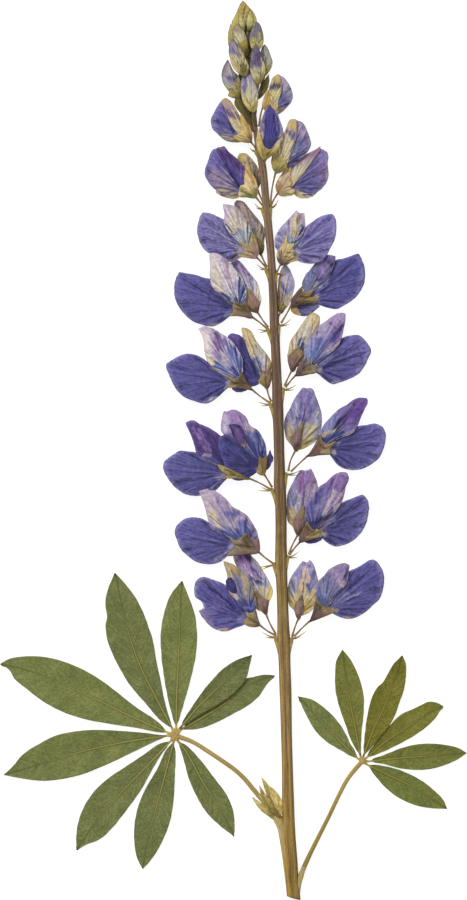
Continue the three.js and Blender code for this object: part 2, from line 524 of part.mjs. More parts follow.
function geometryOf(manifold) {
  const { vertProperties, triVerts } = manifold.getMesh();
  const geometry = new THREE.BufferGeometry();
  geometry.setAttribute("position", new THREE.BufferAttribute(vertProperties, 3));
  geometry.setIndex(new THREE.BufferAttribute(triVerts, 1));
  geometry.computeVertexNormals();
  return geometry;
}

function named(name, manifold, finish) {
  const mesh = new THREE.Mesh(geometryOf(manifold), finish);
  mesh.name = name;
  return mesh;
}

const spike = new THREE.Group();
spike.add(named("stem", stem(), MATERIALS.stem));
for (const [side, leaf] of Object.entries({ left: LEFT_LEAF, right: RIGHT_LEAF })) {
  spike.add(named(`${side}_petiole`, petiole(leaf), MATERIALS.stem));
  leaf.leaflets.forEach((blade, i) => {
    spike.add(named(`${side}_leaflet_${i + 1}`, leaflet(leaf, blade), MATERIALS.leaf));
  });
}
spike.add(named("axil_shoot", axilShoot(), MATERIALS.bud));
for (const [name, parts] of Object.entries(FLOWERS)) {
  spike.add(named(`flower_${name}`, flower(parts), MATERIALS.violet));
}
for (const [name, parts] of Object.entries(BUDS)) {
  spike.add(named(name, bud(parts), MATERIALS.bud));
}
spike.add(named("tip_buds", pressedPlate(TIP_OUTLINE, PETAL_STEPS, LAYER_PITCH, BUD_THICK), MATERIALS.bud));

export default spike;
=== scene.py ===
"""A pressed lupin flower spike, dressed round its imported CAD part.

Outlines and courses are in millimetres in the part's own frame: +Y runs up the stem, +X to the
right leaf, +Z up off the surface. Heights come from the CAD nodes' boxes. Colours are sRGB hex codes.
"""
import math
import zlib

import bpy
import numpy as np
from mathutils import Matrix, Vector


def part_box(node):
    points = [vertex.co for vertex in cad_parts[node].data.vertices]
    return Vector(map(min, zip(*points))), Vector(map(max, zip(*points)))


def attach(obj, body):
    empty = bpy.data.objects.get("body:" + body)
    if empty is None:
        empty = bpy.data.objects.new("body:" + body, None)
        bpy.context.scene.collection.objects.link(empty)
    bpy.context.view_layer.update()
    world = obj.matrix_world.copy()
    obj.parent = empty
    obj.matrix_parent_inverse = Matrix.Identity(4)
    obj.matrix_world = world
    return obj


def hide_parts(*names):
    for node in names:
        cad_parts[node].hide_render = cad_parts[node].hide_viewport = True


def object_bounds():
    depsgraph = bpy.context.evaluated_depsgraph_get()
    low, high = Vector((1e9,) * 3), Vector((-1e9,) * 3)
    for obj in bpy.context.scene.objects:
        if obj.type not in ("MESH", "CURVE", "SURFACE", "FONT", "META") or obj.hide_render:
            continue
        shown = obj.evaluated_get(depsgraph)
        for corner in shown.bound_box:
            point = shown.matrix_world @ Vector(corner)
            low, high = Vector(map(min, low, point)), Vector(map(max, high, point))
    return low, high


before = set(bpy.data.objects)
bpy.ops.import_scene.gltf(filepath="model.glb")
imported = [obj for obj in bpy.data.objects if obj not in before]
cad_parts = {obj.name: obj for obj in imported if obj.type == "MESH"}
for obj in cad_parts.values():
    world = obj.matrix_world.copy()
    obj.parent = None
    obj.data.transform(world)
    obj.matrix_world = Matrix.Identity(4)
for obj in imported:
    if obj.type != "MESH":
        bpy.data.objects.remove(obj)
cad_low, cad_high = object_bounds()

MM = 0.001
LOWEST = 0.06              # nothing lies closer to the surface than this

# Petals: rays from the claw to the rim, steps along each ray, and the same for small pieces
PETAL_RAYS = 64
PETAL_RINGS = 22
PETAL_THICK = 0.1
SMALL_FAN = {"dome": 0.42, "pleat": 0.04, "rays": 44, "rings": 15, "wave": 0.05, "frill": 0.03}
PLEATS = 9                 # pleats across a petal
RIM_ROUNDING = 0.66        # how straight the rays run out, less bends them more along the petal
STREAKS_ACROSS = 26.0      # fibre streaks across a petal, and along it
STREAKS_ALONG = 1.6
SPOT_OUTER = 1.9           # where a spot has faded out, over its radius
SPOT_INNER = 0.2           # where a spot is at its full strength
WANDER = 0.8               # how far the spots' edges wander, in mm
FRAY = 2.6                 # how strongly the fibres break up a spot's edge
PETAL_BUMP = 0.12
PETAL_VEINS = {"wings": 0.8, "wing": 0.7, "banner": 0.38}
OTHER_VEINS = 0.45
CALYX_LOOK = {"vein_tone": "43321f", "edge": "937f5c", "vein": 0.35, "grain": 0.75}
# Buds' edge colour is a dark olive: painted shade round each bud's rounded rim
BUD_LOOK = {"vein": 0.25, "grain": 0.6, "edge": "5f5430"}
SMALL_VEINS = 6            # veins across a small piece

# Pedicels of flowers and stalks of buds: colours, dark and pale fibres, heights over the layer and at
# the stem, and radii
PEDICEL_COLOURS = ("8a6c48", "94764c", "9c8250"), "5f4530", "bba274"
PEDICEL_TOP = 0.7
PEDICEL_FOOT = 1.35
PEDICEL_RADII = (0.22, 0.15, 0.24)
STALK_COLOURS = ("6a5c38", "5c4c34"), "3f3420", "8a7a50"
STALK_TOP = 0.4
STALK_FOOT = 1.2
STALK_RADIUS = 0.3

# Leaflets
LEAF_ROWS = 56
LEAF_COLUMNS = 28
LEAF_THICK = 0.22
LEAF_LIFT = 0.12           # how far a leaflet's lowest line is off its layer
LEAF_JAG = 0.05            # how far its margin, its quilting, its keel and its waves move it, in mm
LEAF_QUILT = 0.035
LEAF_KEEL = 0.16
LEAF_WAVE = 0.14
LEAF_BUMP = 0.1
VEIN_SLANT = 1.15          # how far a side vein climbs for each mm from the midrib
VEIN_PITCH = 1.7           # distance between side veins, in mm, and between finer ones
FINE_PITCH = 0.57
STIPULE_WIDEST = 0.42      # where a stipule is widest, as a share of its length
RIB_AT_BASE = 0.19         # half the midrib's width at the leaflet's base and at its tip
RIB_AT_TIP = 0.09

# Stem and stalks
STEM_SIDES = 40
STEM_ROWS = 230
STEM_SQUARE = 2.6          # 2 is an oval, more is squarer
STEM_THICK = 2.1
STEM_RISE = 0.3            # how far its upper part is off the surface
STEM_HIDDEN = (72, 80)     # where it thins out under the tip's buds
STEM_RIBS = (11, 0.045), (17, 0.02)    # coarse and fine ribs: how many, and how deep over its radius
CUT_ROWS = 3               # rows of its cut foot, and their slant
CUT_SLANT = 0.28
HUB_POINTS = 9             # points round the knob where the leaflets meet, and its size over its radius
HUB_SIZE = 0.74
FIBRE_STRETCH = 0.045      # how long fibres are: less is longer
FIBRE_BUMP = 0.12

# Light and camera
SKY = 0.5
SUN = 2.0
SUN_SOFTNESS = 22          # angles in degrees
SUN_TURN = (-34, -30, 0)
FLOOR_GREY = 0.34
FLOOR_GLOW = 0.84
LENS = 100.0
SENSOR = 36.0
VIEW_LENGTH = 189.0        # what the long side of the picture shows, in mm
VIEW_PLANE = 1.2           # height at which it does, in mm

# Colours that several flowers share: dark violets, a dark brown painted as shade in the creases where calyx
# lobes meet, and calyces from foot to lobes
DEEP, NAVY, VIOLET, PLUM, LOBE_SHADE = "45427c", "34325f", "5d5990", "4a3a68", "4a3a2a"
OLIVE_CALYX = ("6a5c34", "8b7b46", "a5945a")
ROSY_CALYX = ("6f564c", "8a6d66", "8d7c58")
GOLD_CALYX = ("97844e", "c4a96c", "cdb888")


# ---------------------------------------------------------------- curves and meshes

def seeded(name):
    """Random numbers that are the same each run for a piece of this name."""
    return np.random.default_rng(zlib.crc32(name.encode()))


def smooth_curve(points, closed, steps=10):
    """Smooth curve through points. A point with a third value is a sharp corner."""
    spots = np.array([p[:2] for p in points], float)
    sharp = [len(p) > 2 for p in points]
    count = len(spots)

    def slope(i, outward):
        before = spots[i] - spots[i - 1]
        after = spots[(i + 1) % count] - spots[i]
        gap_before = np.hypot(*before) + 1e-9
        gap_after = np.hypot(*after) + 1e-9
        if sharp[i] or (not closed and i in (0, count - 1)):
            return after / gap_after if outward else before / gap_before
        return (before / gap_before * gap_after + after / gap_after * gap_before) / (gap_before + gap_after)

    made = []
    for i in range(count if closed else count - 1):
        j = (i + 1) % count
        chord = np.hypot(*(spots[j] - spots[i]))
        start, end = slope(i, True) * chord, slope(j, False) * chord
        for t in np.arange(steps) / steps:
            made.append((2 * t**3 - 3 * t**2 + 1) * spots[i] + (t**3 - 2 * t**2 + t) * start
                        + (3 * t**2 - 2 * t**3) * spots[j] + (t**3 - t**2) * end)
    made.append(spots[0] if closed else spots[-1])
    return np.array(made)


def even_points(curve, count):
    """That many points, evenly spaced along a curve, its ends included."""
    run = running_length(curve)
    wanted = np.linspace(0, run[-1], count)
    return np.stack([np.interp(wanted, run, curve[:, k]) for k in range(curve.shape[1])], 1)


def running_length(curve):
    """How far along a curve each of its points is."""
    return np.concatenate([[0], np.cumsum(np.linalg.norm(np.diff(curve, axis=0), axis=1))])


def ripple(x, y, rng, wavelength, count=5):
    """Smooth noise, about -1 to 1: a few waves in random directions."""
    total = np.zeros_like(x)
    for _ in range(count):
        turn, phase = rng.uniform(0, math.tau, 2)
        size = wavelength * rng.uniform(0.6, 1.5)
        total += np.sin(math.tau * (x * math.cos(turn) + y * math.sin(turn)) / size + phase)
    return total / math.sqrt(2 * count)


def smooth_step(value, low, high):
    """Eased way of a value from low, 0, to high, 1."""
    t = np.clip((value - low) / (high - low), 0, 1)
    return t * t * (3 - 2 * t)


def segment_distance(x, y, start, end):
    """Distance from each point to the line from start to end."""
    (ax, ay), (bx, by) = start, end
    dx, dy = bx - ax, by - ay
    t = np.clip(((x - ax) * dx + (y - ay) * dy) / max(dx * dx + dy * dy, 1e-9), 0, 1)
    return np.hypot(x - ax - t * dx, y - ay - t * dy)


def grid_faces(rows, columns, wrap=False):
    """Quads over a grid of rows × columns points."""
    faces = []
    for r in range(rows - 1):
        for c in range(columns if wrap else columns - 1):
            d = (c + 1) % columns
            faces.append((r * columns + c, r * columns + d, (r + 1) * columns + d, (r + 1) * columns + c))
    return faces


def tube_faces(rows, sides):
    """Quads round a tube of rows × sides points, and a cap on each end."""
    faces = [face[::-1] for face in grid_faces(rows, sides, wrap=True)]
    last = (rows - 1) * sides
    return faces + [tuple(range(sides)), tuple(range(last, last + sides))[::-1]]


def add_mesh(name, points, faces, material, marks, thick=0.0):
    """Smooth-shaded mesh object from millimetre points, each with three marks that its material reads."""
    mesh = bpy.data.meshes.new(name)
    mesh.from_pydata([tuple(p) for p in np.asarray(points) * MM], [], [tuple(f) for f in faces])
    mesh.validate()
    mesh.polygons.foreach_set("use_smooth", [True] * len(mesh.polygons))
    layer = mesh.attributes.new("marks", "FLOAT_VECTOR", "POINT")
    layer.data.foreach_set("vector", np.asarray(marks, np.float32).ravel())
    mesh.materials.append(material)
    made = bpy.data.objects.new(name, mesh)
    bpy.context.scene.collection.objects.link(made)
    if thick:
        shell = made.modifiers.new("shell", "SOLIDIFY")
        shell.thickness = thick * MM
        shell.offset = -1
    return made


def settle(piece, node):
    """The piece rides on the part's one body and stands for a CAD node, whose own part is hidden."""
    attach(piece, "root")
    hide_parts(node)


def node_floor(node):
    """Height of a CAD node's underside, in millimetres."""
    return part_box(node)[0].z / MM


# ---------------------------------------------------------------- shader nodes

def linear(code):
    """A colour written as an sRGB hex code, in linear light."""
    parts = [int(code[i:i + 2], 16) / 255 for i in (0, 2, 4)]
    return (*[c / 12.92 if c <= 0.04045 else ((c + 0.055) / 1.055) ** 2.4 for c in parts], 1.0)


def put(tree, kind, inputs=(), **settings):
    """Adds a node. An input is a socket to link or a value to set."""
    node = tree.nodes.new(kind)
    for key, value in settings.items():
        setattr(node, key, value)
    for key, value in dict(inputs).items():
        if isinstance(value, bpy.types.NodeSocket):
            tree.links.new(value, node.inputs[key])
        else:
            node.inputs[key].default_value = value
    return node


def maths(operation, a, b=0.0, c=None, clamp=False):
    """Maths on numbers, the first or second of which is a socket."""
    tree = (a if isinstance(a, bpy.types.NodeSocket) else b).id_data
    inputs = {0: a, 1: b} if c is None else {0: a, 1: b, 2: c}
    return put(tree, "ShaderNodeMath", inputs, operation=operation, use_clamp=clamp).outputs[0]


def times(a, b):
    return maths("MULTIPLY", a, b)


def plus(a, b):
    return maths("ADD", a, b)


def minus(a, b):
    return maths("SUBTRACT", a, b)


def vector(operation, a, b, output=0):
    """Maths on two vectors, the first of which is a socket."""
    return put(a.id_data, "ShaderNodeVectorMath", {0: a, 1: b}, operation=operation).outputs[output]


def scaled(a, scale):
    """A vector or colour times a number."""
    return put(a.id_data, "ShaderNodeVectorMath", {0: a, "Scale": scale}, operation="SCALE").outputs[0]


def joined(x, y, z=0.0):
    """A vector made of numbers, the first of which is a socket."""
    return put(x.id_data, "ShaderNodeCombineXYZ", {0: x, 1: y, 2: z}).outputs[0]


def ranged(value, low, high, start=0.0, end=1.0):
    """Value's way from low to high, eased, as start to end."""
    return put(value.id_data, "ShaderNodeMapRange", {0: value, 1: low, 2: high, 3: start, 4: end},
               interpolation_type="SMOOTHSTEP").outputs[0]


def mixed(amount, colour, code, blend="MIX"):
    """A colour with another laid over it, as a hex code or a socket, by an amount."""
    over = linear(code) if isinstance(code, str) else code
    return put(colour.id_data, "ShaderNodeMix", {0: amount, 6: colour, 7: over},
               data_type="RGBA", blend_type=blend).outputs[2]


def noise(place, scale, detail=3.0, roughness=0.55, output="Fac"):
    return put(place.id_data, "ShaderNodeTexNoise",
               {"Vector": place, "Scale": scale, "Detail": detail, "Roughness": roughness},
               noise_dimensions="3D").outputs[output]


def ramp(value, stops):
    """Colour at a value, between stops of (position, hex code)."""
    made = put(value.id_data, "ShaderNodeValToRGB", {0: value})
    band = made.color_ramp
    band.interpolation = "EASE"
    while len(band.elements) < len(stops):
        band.elements.new(0.5)
    for element, (position, code) in zip(band.elements, stops):
        element.position = position
        element.color = linear(code)
    return made.outputs[0]


def lines_at(phase, spacing, half_width):
    """Fine lines wherever a phase passes a half, a spacing apart in mm."""
    offset = maths("ABSOLUTE", minus(maths("FRACT", phase), 0.5))
    return ranged(times(offset, spacing), half_width, 0.02)


def blank_material(name, roughness, specular):
    """A new material: itself, its tree and its shader node."""
    material = bpy.data.materials.new(name)
    material.use_nodes = True
    tree = material.node_tree
    shader = tree.nodes["Principled BSDF"]
    shader.inputs["Roughness"].default_value = roughness
    shader.inputs["Specular IOR Level"].default_value = specular
    return material, tree, shader


def place_in_mm(tree):
    """Place on the object, in millimetres."""
    return scaled(put(tree, "ShaderNodeTexCoord").outputs["Object"], 1 / MM)


def marks_of(tree):
    """The three numbers that a mesh carries at each point."""
    carried = put(tree, "ShaderNodeAttribute", attribute_name="marks").outputs["Vector"]
    return put(tree, "ShaderNodeSeparateXYZ", {0: carried}).outputs


def finish(shader, colour, height, depth):
    """Gives the shader its colour and its bump, as deep as that many millimetres."""
    tree = shader.id_data
    tree.links.new(colour, shader.inputs["Base Color"])
    bump = put(tree, "ShaderNodeBump", {"Height": height, "Distance": depth * MM, "Strength": 0.6})
    tree.links.new(bump.outputs[0], shader.inputs["Normal"])


# ---------------------------------------------------------------- materials

def make_spot_group():
    """Node group: 1 near the line from start to end, easing to 0 and breaking up along the fibres."""
    group = bpy.data.node_groups.new("spot", "ShaderNodeTree")
    for name in ("Place", "Start", "End"):
        group.interface.new_socket(name, in_out="INPUT", socket_type="NodeSocketVector")
    for name in ("Outer", "Inner", "Strength", "Fibre"):
        group.interface.new_socket(name, in_out="INPUT", socket_type="NodeSocketFloat")
    group.interface.new_socket("Mask", in_out="OUTPUT", socket_type="NodeSocketFloat")
    given = group.nodes.new("NodeGroupInput").outputs
    line = vector("SUBTRACT", given["End"], given["Start"])
    reach = vector("SUBTRACT", given["Place"], given["Start"])
    length = maths("MAXIMUM", vector("DOT_PRODUCT", line, line, "Value"), 1e-4)
    share = maths("DIVIDE", vector("DOT_PRODUCT", reach, line, "Value"), length, clamp=True)
    distance = vector("LENGTH", vector("SUBTRACT", reach, scaled(line, share)), (0, 0, 0), "Value")
    frayed = maths("MULTIPLY_ADD", given["Fibre"], given["Outer"], distance)
    near = ranged(frayed, given["Outer"], given["Inner"])
    out = group.nodes.new("NodeGroupOutput")
    group.links.new(times(near, given["Strength"]), out.inputs["Mask"])
    return group


SPOT_GROUP = make_spot_group()


def painted_spots(colour, place, fibre, spots):
    """Lays soft spots and streaks over a colour: (x, y, x, y, radius, colour, strength)."""
    for x0, y0, x1, y1, radius, code, strength in spots:
        given = {"Place": place, "Fibre": fibre, "Start": (x0, y0, 0), "End": (x1, y1, 0),
                 "Outer": radius * SPOT_OUTER, "Inner": radius * SPOT_INNER, "Strength": strength}
        mask = put(colour.id_data, "ShaderNodeGroup", given, node_tree=SPOT_GROUP)
        colour = mixed(mask.outputs[0], colour, code)
    return colour


def petal_material(name, stops, spots, veins=11, width=8.0, vein_tone="34305f", vein=0.6, edge=None,
                   roughness=0.62, grain=1.0, claw=0.42, streaks=0.5):
    """Dried petal: colour from claw to rim, soft spots, a fan of veins, mottling and a margin in its edge
    colour, which is wear on petals and painted shade round buds.
    """
    material, tree, shader = blank_material(name, roughness, 0.25)
    across, out, rim = marks_of(tree)
    flat = vector("MULTIPLY", place_in_mm(tree), (1, 1, 0))
    streak = noise(joined(times(across, STREAKS_ACROSS), times(out, STREAKS_ALONG)), 1.0)
    cloud = vector("SUBTRACT", noise(flat, 0.55, output="Color"), (0.5, 0.5, 0.5))
    moved = vector("MULTIPLY", vector("ADD", flat, scaled(cloud, WANDER * 2)), (1, 1, 0))
    fibre = minus(streak, 0.5)
    colour = ramp(plus(out, times(fibre, streaks)), list(zip((claw * 0.15, claw, 0.95), stops)))
    colour = painted_spots(colour, moved, times(fibre, FRAY), spots)

    # veins that fan out from the claw, and finer ones between them from further out
    phase = plus(times(across, float(veins)), minus(noise(flat, 0.3, 2.0), 0.5))
    lines = []
    for parts, half_width, start in ((1.0, 0.14, 0.03), (3.0, 0.08, 0.3)):
        spacing = times(out, width * 1.7 / (veins * parts))
        line = lines_at(times(phase, parts), spacing, half_width)
        lines.append(times(line, ranged(out, start, start + 0.2)))
    uneven = ranged(noise(flat, 1.1, 2.0), 0.3, 0.65, 0.25, 1.0)
    network = times(maths("MAXIMUM", lines[0], times(lines[1], 0.45)), uneven)
    colour = mixed(times(network, vein), colour, vein_tone)

    # broken darker and lighter fibres between the veins, and mottling
    colour = mixed(ranged(streak, 0.46, 0.3, 0.0, 0.6 * grain), colour, "8c8698", "MULTIPLY")
    colour = mixed(ranged(streak, 0.54, 0.76, 0.0, 0.4 * grain), colour, "c9c1d2", "SOFT_LIGHT")
    mottle = noise(flat, 1.4, 5.0, 0.65)
    level = times(ranged(mottle, 0.3, 0.7, 1 - 0.2 * grain, 1 + 0.2 * grain),
                  ranged(streak, 0.3, 0.7, 1 - 0.18 * grain, 1 + 0.2 * grain))
    colour = scaled(colour, level)
    # margin in the edge colour, broken by mottling: wear on petals, painted shade round buds
    if edge:
        rim_wear_and_shade = times(ranged(rim, 0.9, 1.0), ranged(mottle, 0.35, 0.6, 0.1, 0.85))
        colour = mixed(rim_wear_and_shade, colour, edge)
    finish(shader, colour, plus(minus(times(streak, 0.8), network), mottle), PETAL_BUMP)
    return material


def leaf_material(name, green, rib_tone, rib_reach, yellow):
    """Dried leaflet: matt green with a golden midrib, fine side veins, short hairs and mottling."""
    material, tree, shader = blank_material(name, 0.78, 0.2)
    side, along, share = marks_of(tree)
    place = place_in_mm(tree)
    distance = maths("ABSOLUTE", side)
    cloud = noise(place, 0.22, 4.0)
    mottle = noise(place, 1.6, 5.0, 0.7)
    colour = ramp(cloud, list(zip((0.22, 0.5, 0.78), green)))
    colour = mixed(ranged(noise(place, 0.11, 2.0), 0.4, 0.7, 0.0, yellow), colour, "7d7530")

    # side veins leave the midrib at a slant
    warped = plus(minus(along, times(distance, VEIN_SLANT)), times(cloud, 2.2))
    coarse, fine = [lines_at(times(warped, 1 / pitch), pitch, half_width)
                    for pitch, half_width in ((VEIN_PITCH, 0.16), (FINE_PITCH, 0.09))]
    veins = times(maths("MAXIMUM", coarse, times(fine, 0.5)), ranged(mottle, 0.3, 0.7, 0.2, 1.0))
    colour = mixed(times(veins, 0.34), colour, "8d925c")
    hairs = noise(joined(warped, times(distance, 0.18), times(side, 0.02)), 2.2, 3.0, 0.7)
    level = times(ranged(mottle, 0.3, 0.7, 0.87, 1.13), ranged(hairs, 0.32, 0.68, 0.84, 1.18))
    specks = ranged(noise(place, 2.6, 3.0, 0.7), 0.34, 0.66, 0.82, 1.2)
    colour = scaled(colour, times(level, specks))

    # the midrib: painted shade in the hollow each side of a golden line that thins out toward the tip
    half = ranged(share, 0.0, 0.9, RIB_AT_BASE, RIB_AT_TIP)
    rib_groove_shade = ranged(distance, times(half, 3.2), half)
    colour = mixed(times(rib_groove_shade, 0.5), colour, "454a22")
    line = ranged(distance, half, times(half, 0.35))
    reach = times(ranged(share, rib_reach, rib_reach - 0.45), 0.85)
    colour = mixed(times(line, reach), colour, rib_tone)
    finish(shader, colour, plus(times(veins, 0.5), mottle), LEAF_BUMP)
    return material


def fibre_material(name, colours, dark, pale, stripes, low, high, bands_and_shading=None):
    """Dried stem or stalk: long fibres, and colours that change from low to high along it.

    The mesh's marks are its turn, its place along and its share of the whole length.
    """
    material, tree, shader = blank_material(name, 0.6, 0.3)
    turn, along, _ = marks_of(tree)
    place = place_in_mm(tree)
    fibre = noise(joined(times(turn, stripes), times(along, FIBRE_STRETCH)), 2.4, 4.0, 0.6)
    cloud = times(minus(noise(place, 0.35), 0.5), 0.25)
    grain = noise(place, 2.6, 4.0, 0.7)
    if isinstance(colours[0], str):
        colours = [(i / (len(colours) - 1), code) for i, code in enumerate(colours)]
    colour = ramp(plus(ranged(along, low, high), cloud), colours)
    # tone across a stalk; for the stem this adds a painted highlight on its left side and painted shade on
    # its right edge to its own stripes
    if bands_and_shading:
        wobble = times(minus(fibre, 0.5), 0.35)
        colour = mixed(1.0, colour, ramp(plus(turn, wobble), bands_and_shading), "MULTIPLY")
    colour = mixed(ranged(fibre, 0.5, 0.34, 0.0, 0.75), colour, dark)
    colour = mixed(ranged(fibre, 0.54, 0.7, 0.0, 0.6), colour, pale)
    colour = scaled(colour, ranged(grain, 0.3, 0.7, 0.86, 1.14))
    finish(shader, colour, plus(times(fibre, 2.0), grain), FIBRE_BUMP)
    return material


# ---------------------------------------------------------------- kinds of piece

def fan_mesh(name, outline, height, material, dome=0.35, pleat=0.09, folds=(), droop=0.0,
             rays=PETAL_RAYS, rings=PETAL_RINGS, wave=0.12, frill=0.06):
    """Petal: rays fan out from its claw, the outline's first point, and the blade domes and pleats."""
    rim = even_points(smooth_curve([(*outline[0][:2], 1), *outline[1:]], True), rays + 2)
    claw = rim[0].copy()
    rim = rim[1:-1]
    reach = rim - claw
    gaps = np.hypot(reach[:, 0], reach[:, 1])
    far = reach[np.argmax(gaps)]
    length = np.hypot(*far)
    axis = far / length
    turn = np.arange(rays) / (rays - 1)
    jag = ripple(rim[:, 0], rim[:, 1], seeded(name), 1.3) * frill * smooth_step(gaps, 1, 3)
    rim = rim + reach / (gaps[:, None] + 1e-9) * jag[:, None]
    reach = rim - claw
    bent = 0.5 * (1 - RIM_ROUNDING) * axis * np.maximum(reach @ axis, 0)[:, None]
    control = 0.5 * reach * RIM_ROUNDING + bent
    points, marks = [[claw[0], claw[1], height]], [[0.5, 0.0, 0.0]]
    for step in (np.arange(rings) + 1) / rings:
        flat = claw + 2 * (1 - step) * step * control + step * step * reach
        x, y = flat[:, 0], flat[:, 1]
        out = np.hypot(x - claw[0], y - claw[1]) / length
        lift = dome * (1 - step**2.2) * np.minimum(1, out * 4) * np.sin(math.pi * turn) ** 0.6
        pleats = pleat * np.sin(math.tau * (turn * PLEATS + ripple(x, y, seeded(name + "p"), 9) * 0.35))
        pleats *= smooth_step(out, 0.12, 0.5) * (1 - 0.4 * step)
        waves = wave * ripple(x, y, seeded(name + "w"), 4.0) * smooth_step(out, 0.1, 0.5)
        z = height + lift + pleats + waves - droop * out**1.5
        for start, end, rise, spread in folds:
            z += rise * np.exp(-(segment_distance(x, y, start, end) / spread) ** 2)
        z = np.maximum(z, LOWEST + PETAL_THICK)
        points.extend(np.stack([x, y, z], 1))
        marks.extend(np.stack([turn, out, np.full(rays, step)], 1))
    faces = [(0, 1 + i, 2 + i) for i in range(rays - 1)]
    faces += [tuple(1 + v for v in face) for face in grid_faces(rings, rays)]
    area = sum(rim[i - 1][0] * rim[i][1] - rim[i][0] * rim[i - 1][1] for i in range(rays))
    if area < 0:
        faces = [face[::-1] for face in faces]
    return add_mesh(name, points, faces, material, marks, PETAL_THICK)


def tube_mesh(name, course, radii, material, sides, flat=0.9, ribs=0, rib_depth=0.0, steps=8):
    """Stalk along a course of (x, y, z), with a radius at each point, closed at both ends."""
    course = np.array(course, float)
    known = running_length(course)
    line = smooth_curve([tuple(p) for p in course[:, :2]], False, steps)
    run = running_length(line)
    share = run / run[-1]
    heights = np.interp(share, known / known[-1], course[:, 2])
    radius = np.interp(share, known / known[-1], radii)
    heading = np.gradient(line, axis=0)
    heading /= np.linalg.norm(heading, axis=1)[:, None] + 1e-9
    across = np.stack([heading[:, 1], -heading[:, 0]], 1)
    turns = math.tau * np.arange(sides) / sides
    bulge = 1 + rib_depth * np.cos(ribs * turns)
    points, marks = [], []
    for i, spot in enumerate(line):
        reach = radius[i] * bulge
        xy = spot + across[i] * (reach * np.cos(turns))[:, None]
        z = heights[i] + flat * reach * np.sin(turns)
        points.extend(np.stack([xy[:, 0], xy[:, 1], np.maximum(z, LOWEST)], 1))
        marks.extend((turn * 0.5 + 0.5, run[i], share[i]) for turn in np.cos(turns))
    return add_mesh(name, points, tube_faces(len(line), sides), material, marks)


# ---------------------------------------------------------------- leaves and stem

def leaflet_mesh(name, node, base, tip, edge_a, edge_b, fold, material, rib):
    """Leaflet between two edges, each given from base to tip, with a shallow fold along its midrib."""
    rng = seeded(name)
    height = node_floor(node) * 0.5 + LEAF_THICK
    sides = [even_points(smooth_curve([base, *edge, tip], False), LEAF_ROWS) for edge in (edge_a, edge_b)]
    if rib:
        middle = even_points(smooth_curve([base, *rib, tip], False), LEAF_ROWS)
    else:
        middle = (sides[0] + sides[1]) / 2
    length = running_length(middle)[-1]
    across = np.linspace(-1, 1, LEAF_COLUMNS + 1)
    points, marks = [], []
    for i, share in enumerate(np.arange(LEAF_ROWS) / (LEAF_ROWS - 1)):
        for u in across:
            reach = sides[0 if u < 0 else 1][i] - middle[i]
            points.append([*(middle[i] + reach * abs(u)), 0.0])
            marks.append([np.hypot(*reach) * u, share * length, share])
    points, marks = np.array(points), np.array(marks)
    x, y, _ = points.T
    gap, along, share = marks.T
    u = np.abs(np.tile(across, LEAF_ROWS))
    x += ripple(x, y, rng, 2.2) * LEAF_JAG * (u > 0.98)
    rise = fold * u**1.3 * np.sin(math.pi * np.clip(share, 0, 1)) ** 0.5
    quilt = LEAF_QUILT * np.sin(math.tau * (along - VEIN_SLANT * np.abs(gap)) / VEIN_PITCH)
    quilt = quilt * smooth_step(u, 0.05, 0.3) * (1 - smooth_step(u, 0.8, 1))
    keel = LEAF_KEEL * np.exp(-(gap / 0.22) ** 2) * (1 - 0.8 * share)
    waves = LEAF_WAVE * ripple(x, y, rng, 7.0) * smooth_step(u, 0, 0.6)
    points[:, 2] = np.maximum(height + LEAF_LIFT + rise + quilt + keel + waves, LOWEST + LEAF_THICK)
    faces = grid_faces(LEAF_ROWS, LEAF_COLUMNS + 1)
    quad = points[list(faces[len(faces) // 2])]
    if np.cross(quad[1] - quad[0], quad[2] - quad[0])[2] < 0:
        faces = [face[::-1] for face in faces]
    settle(add_mesh(name, points, faces, material, marks, LEAF_THICK), node)


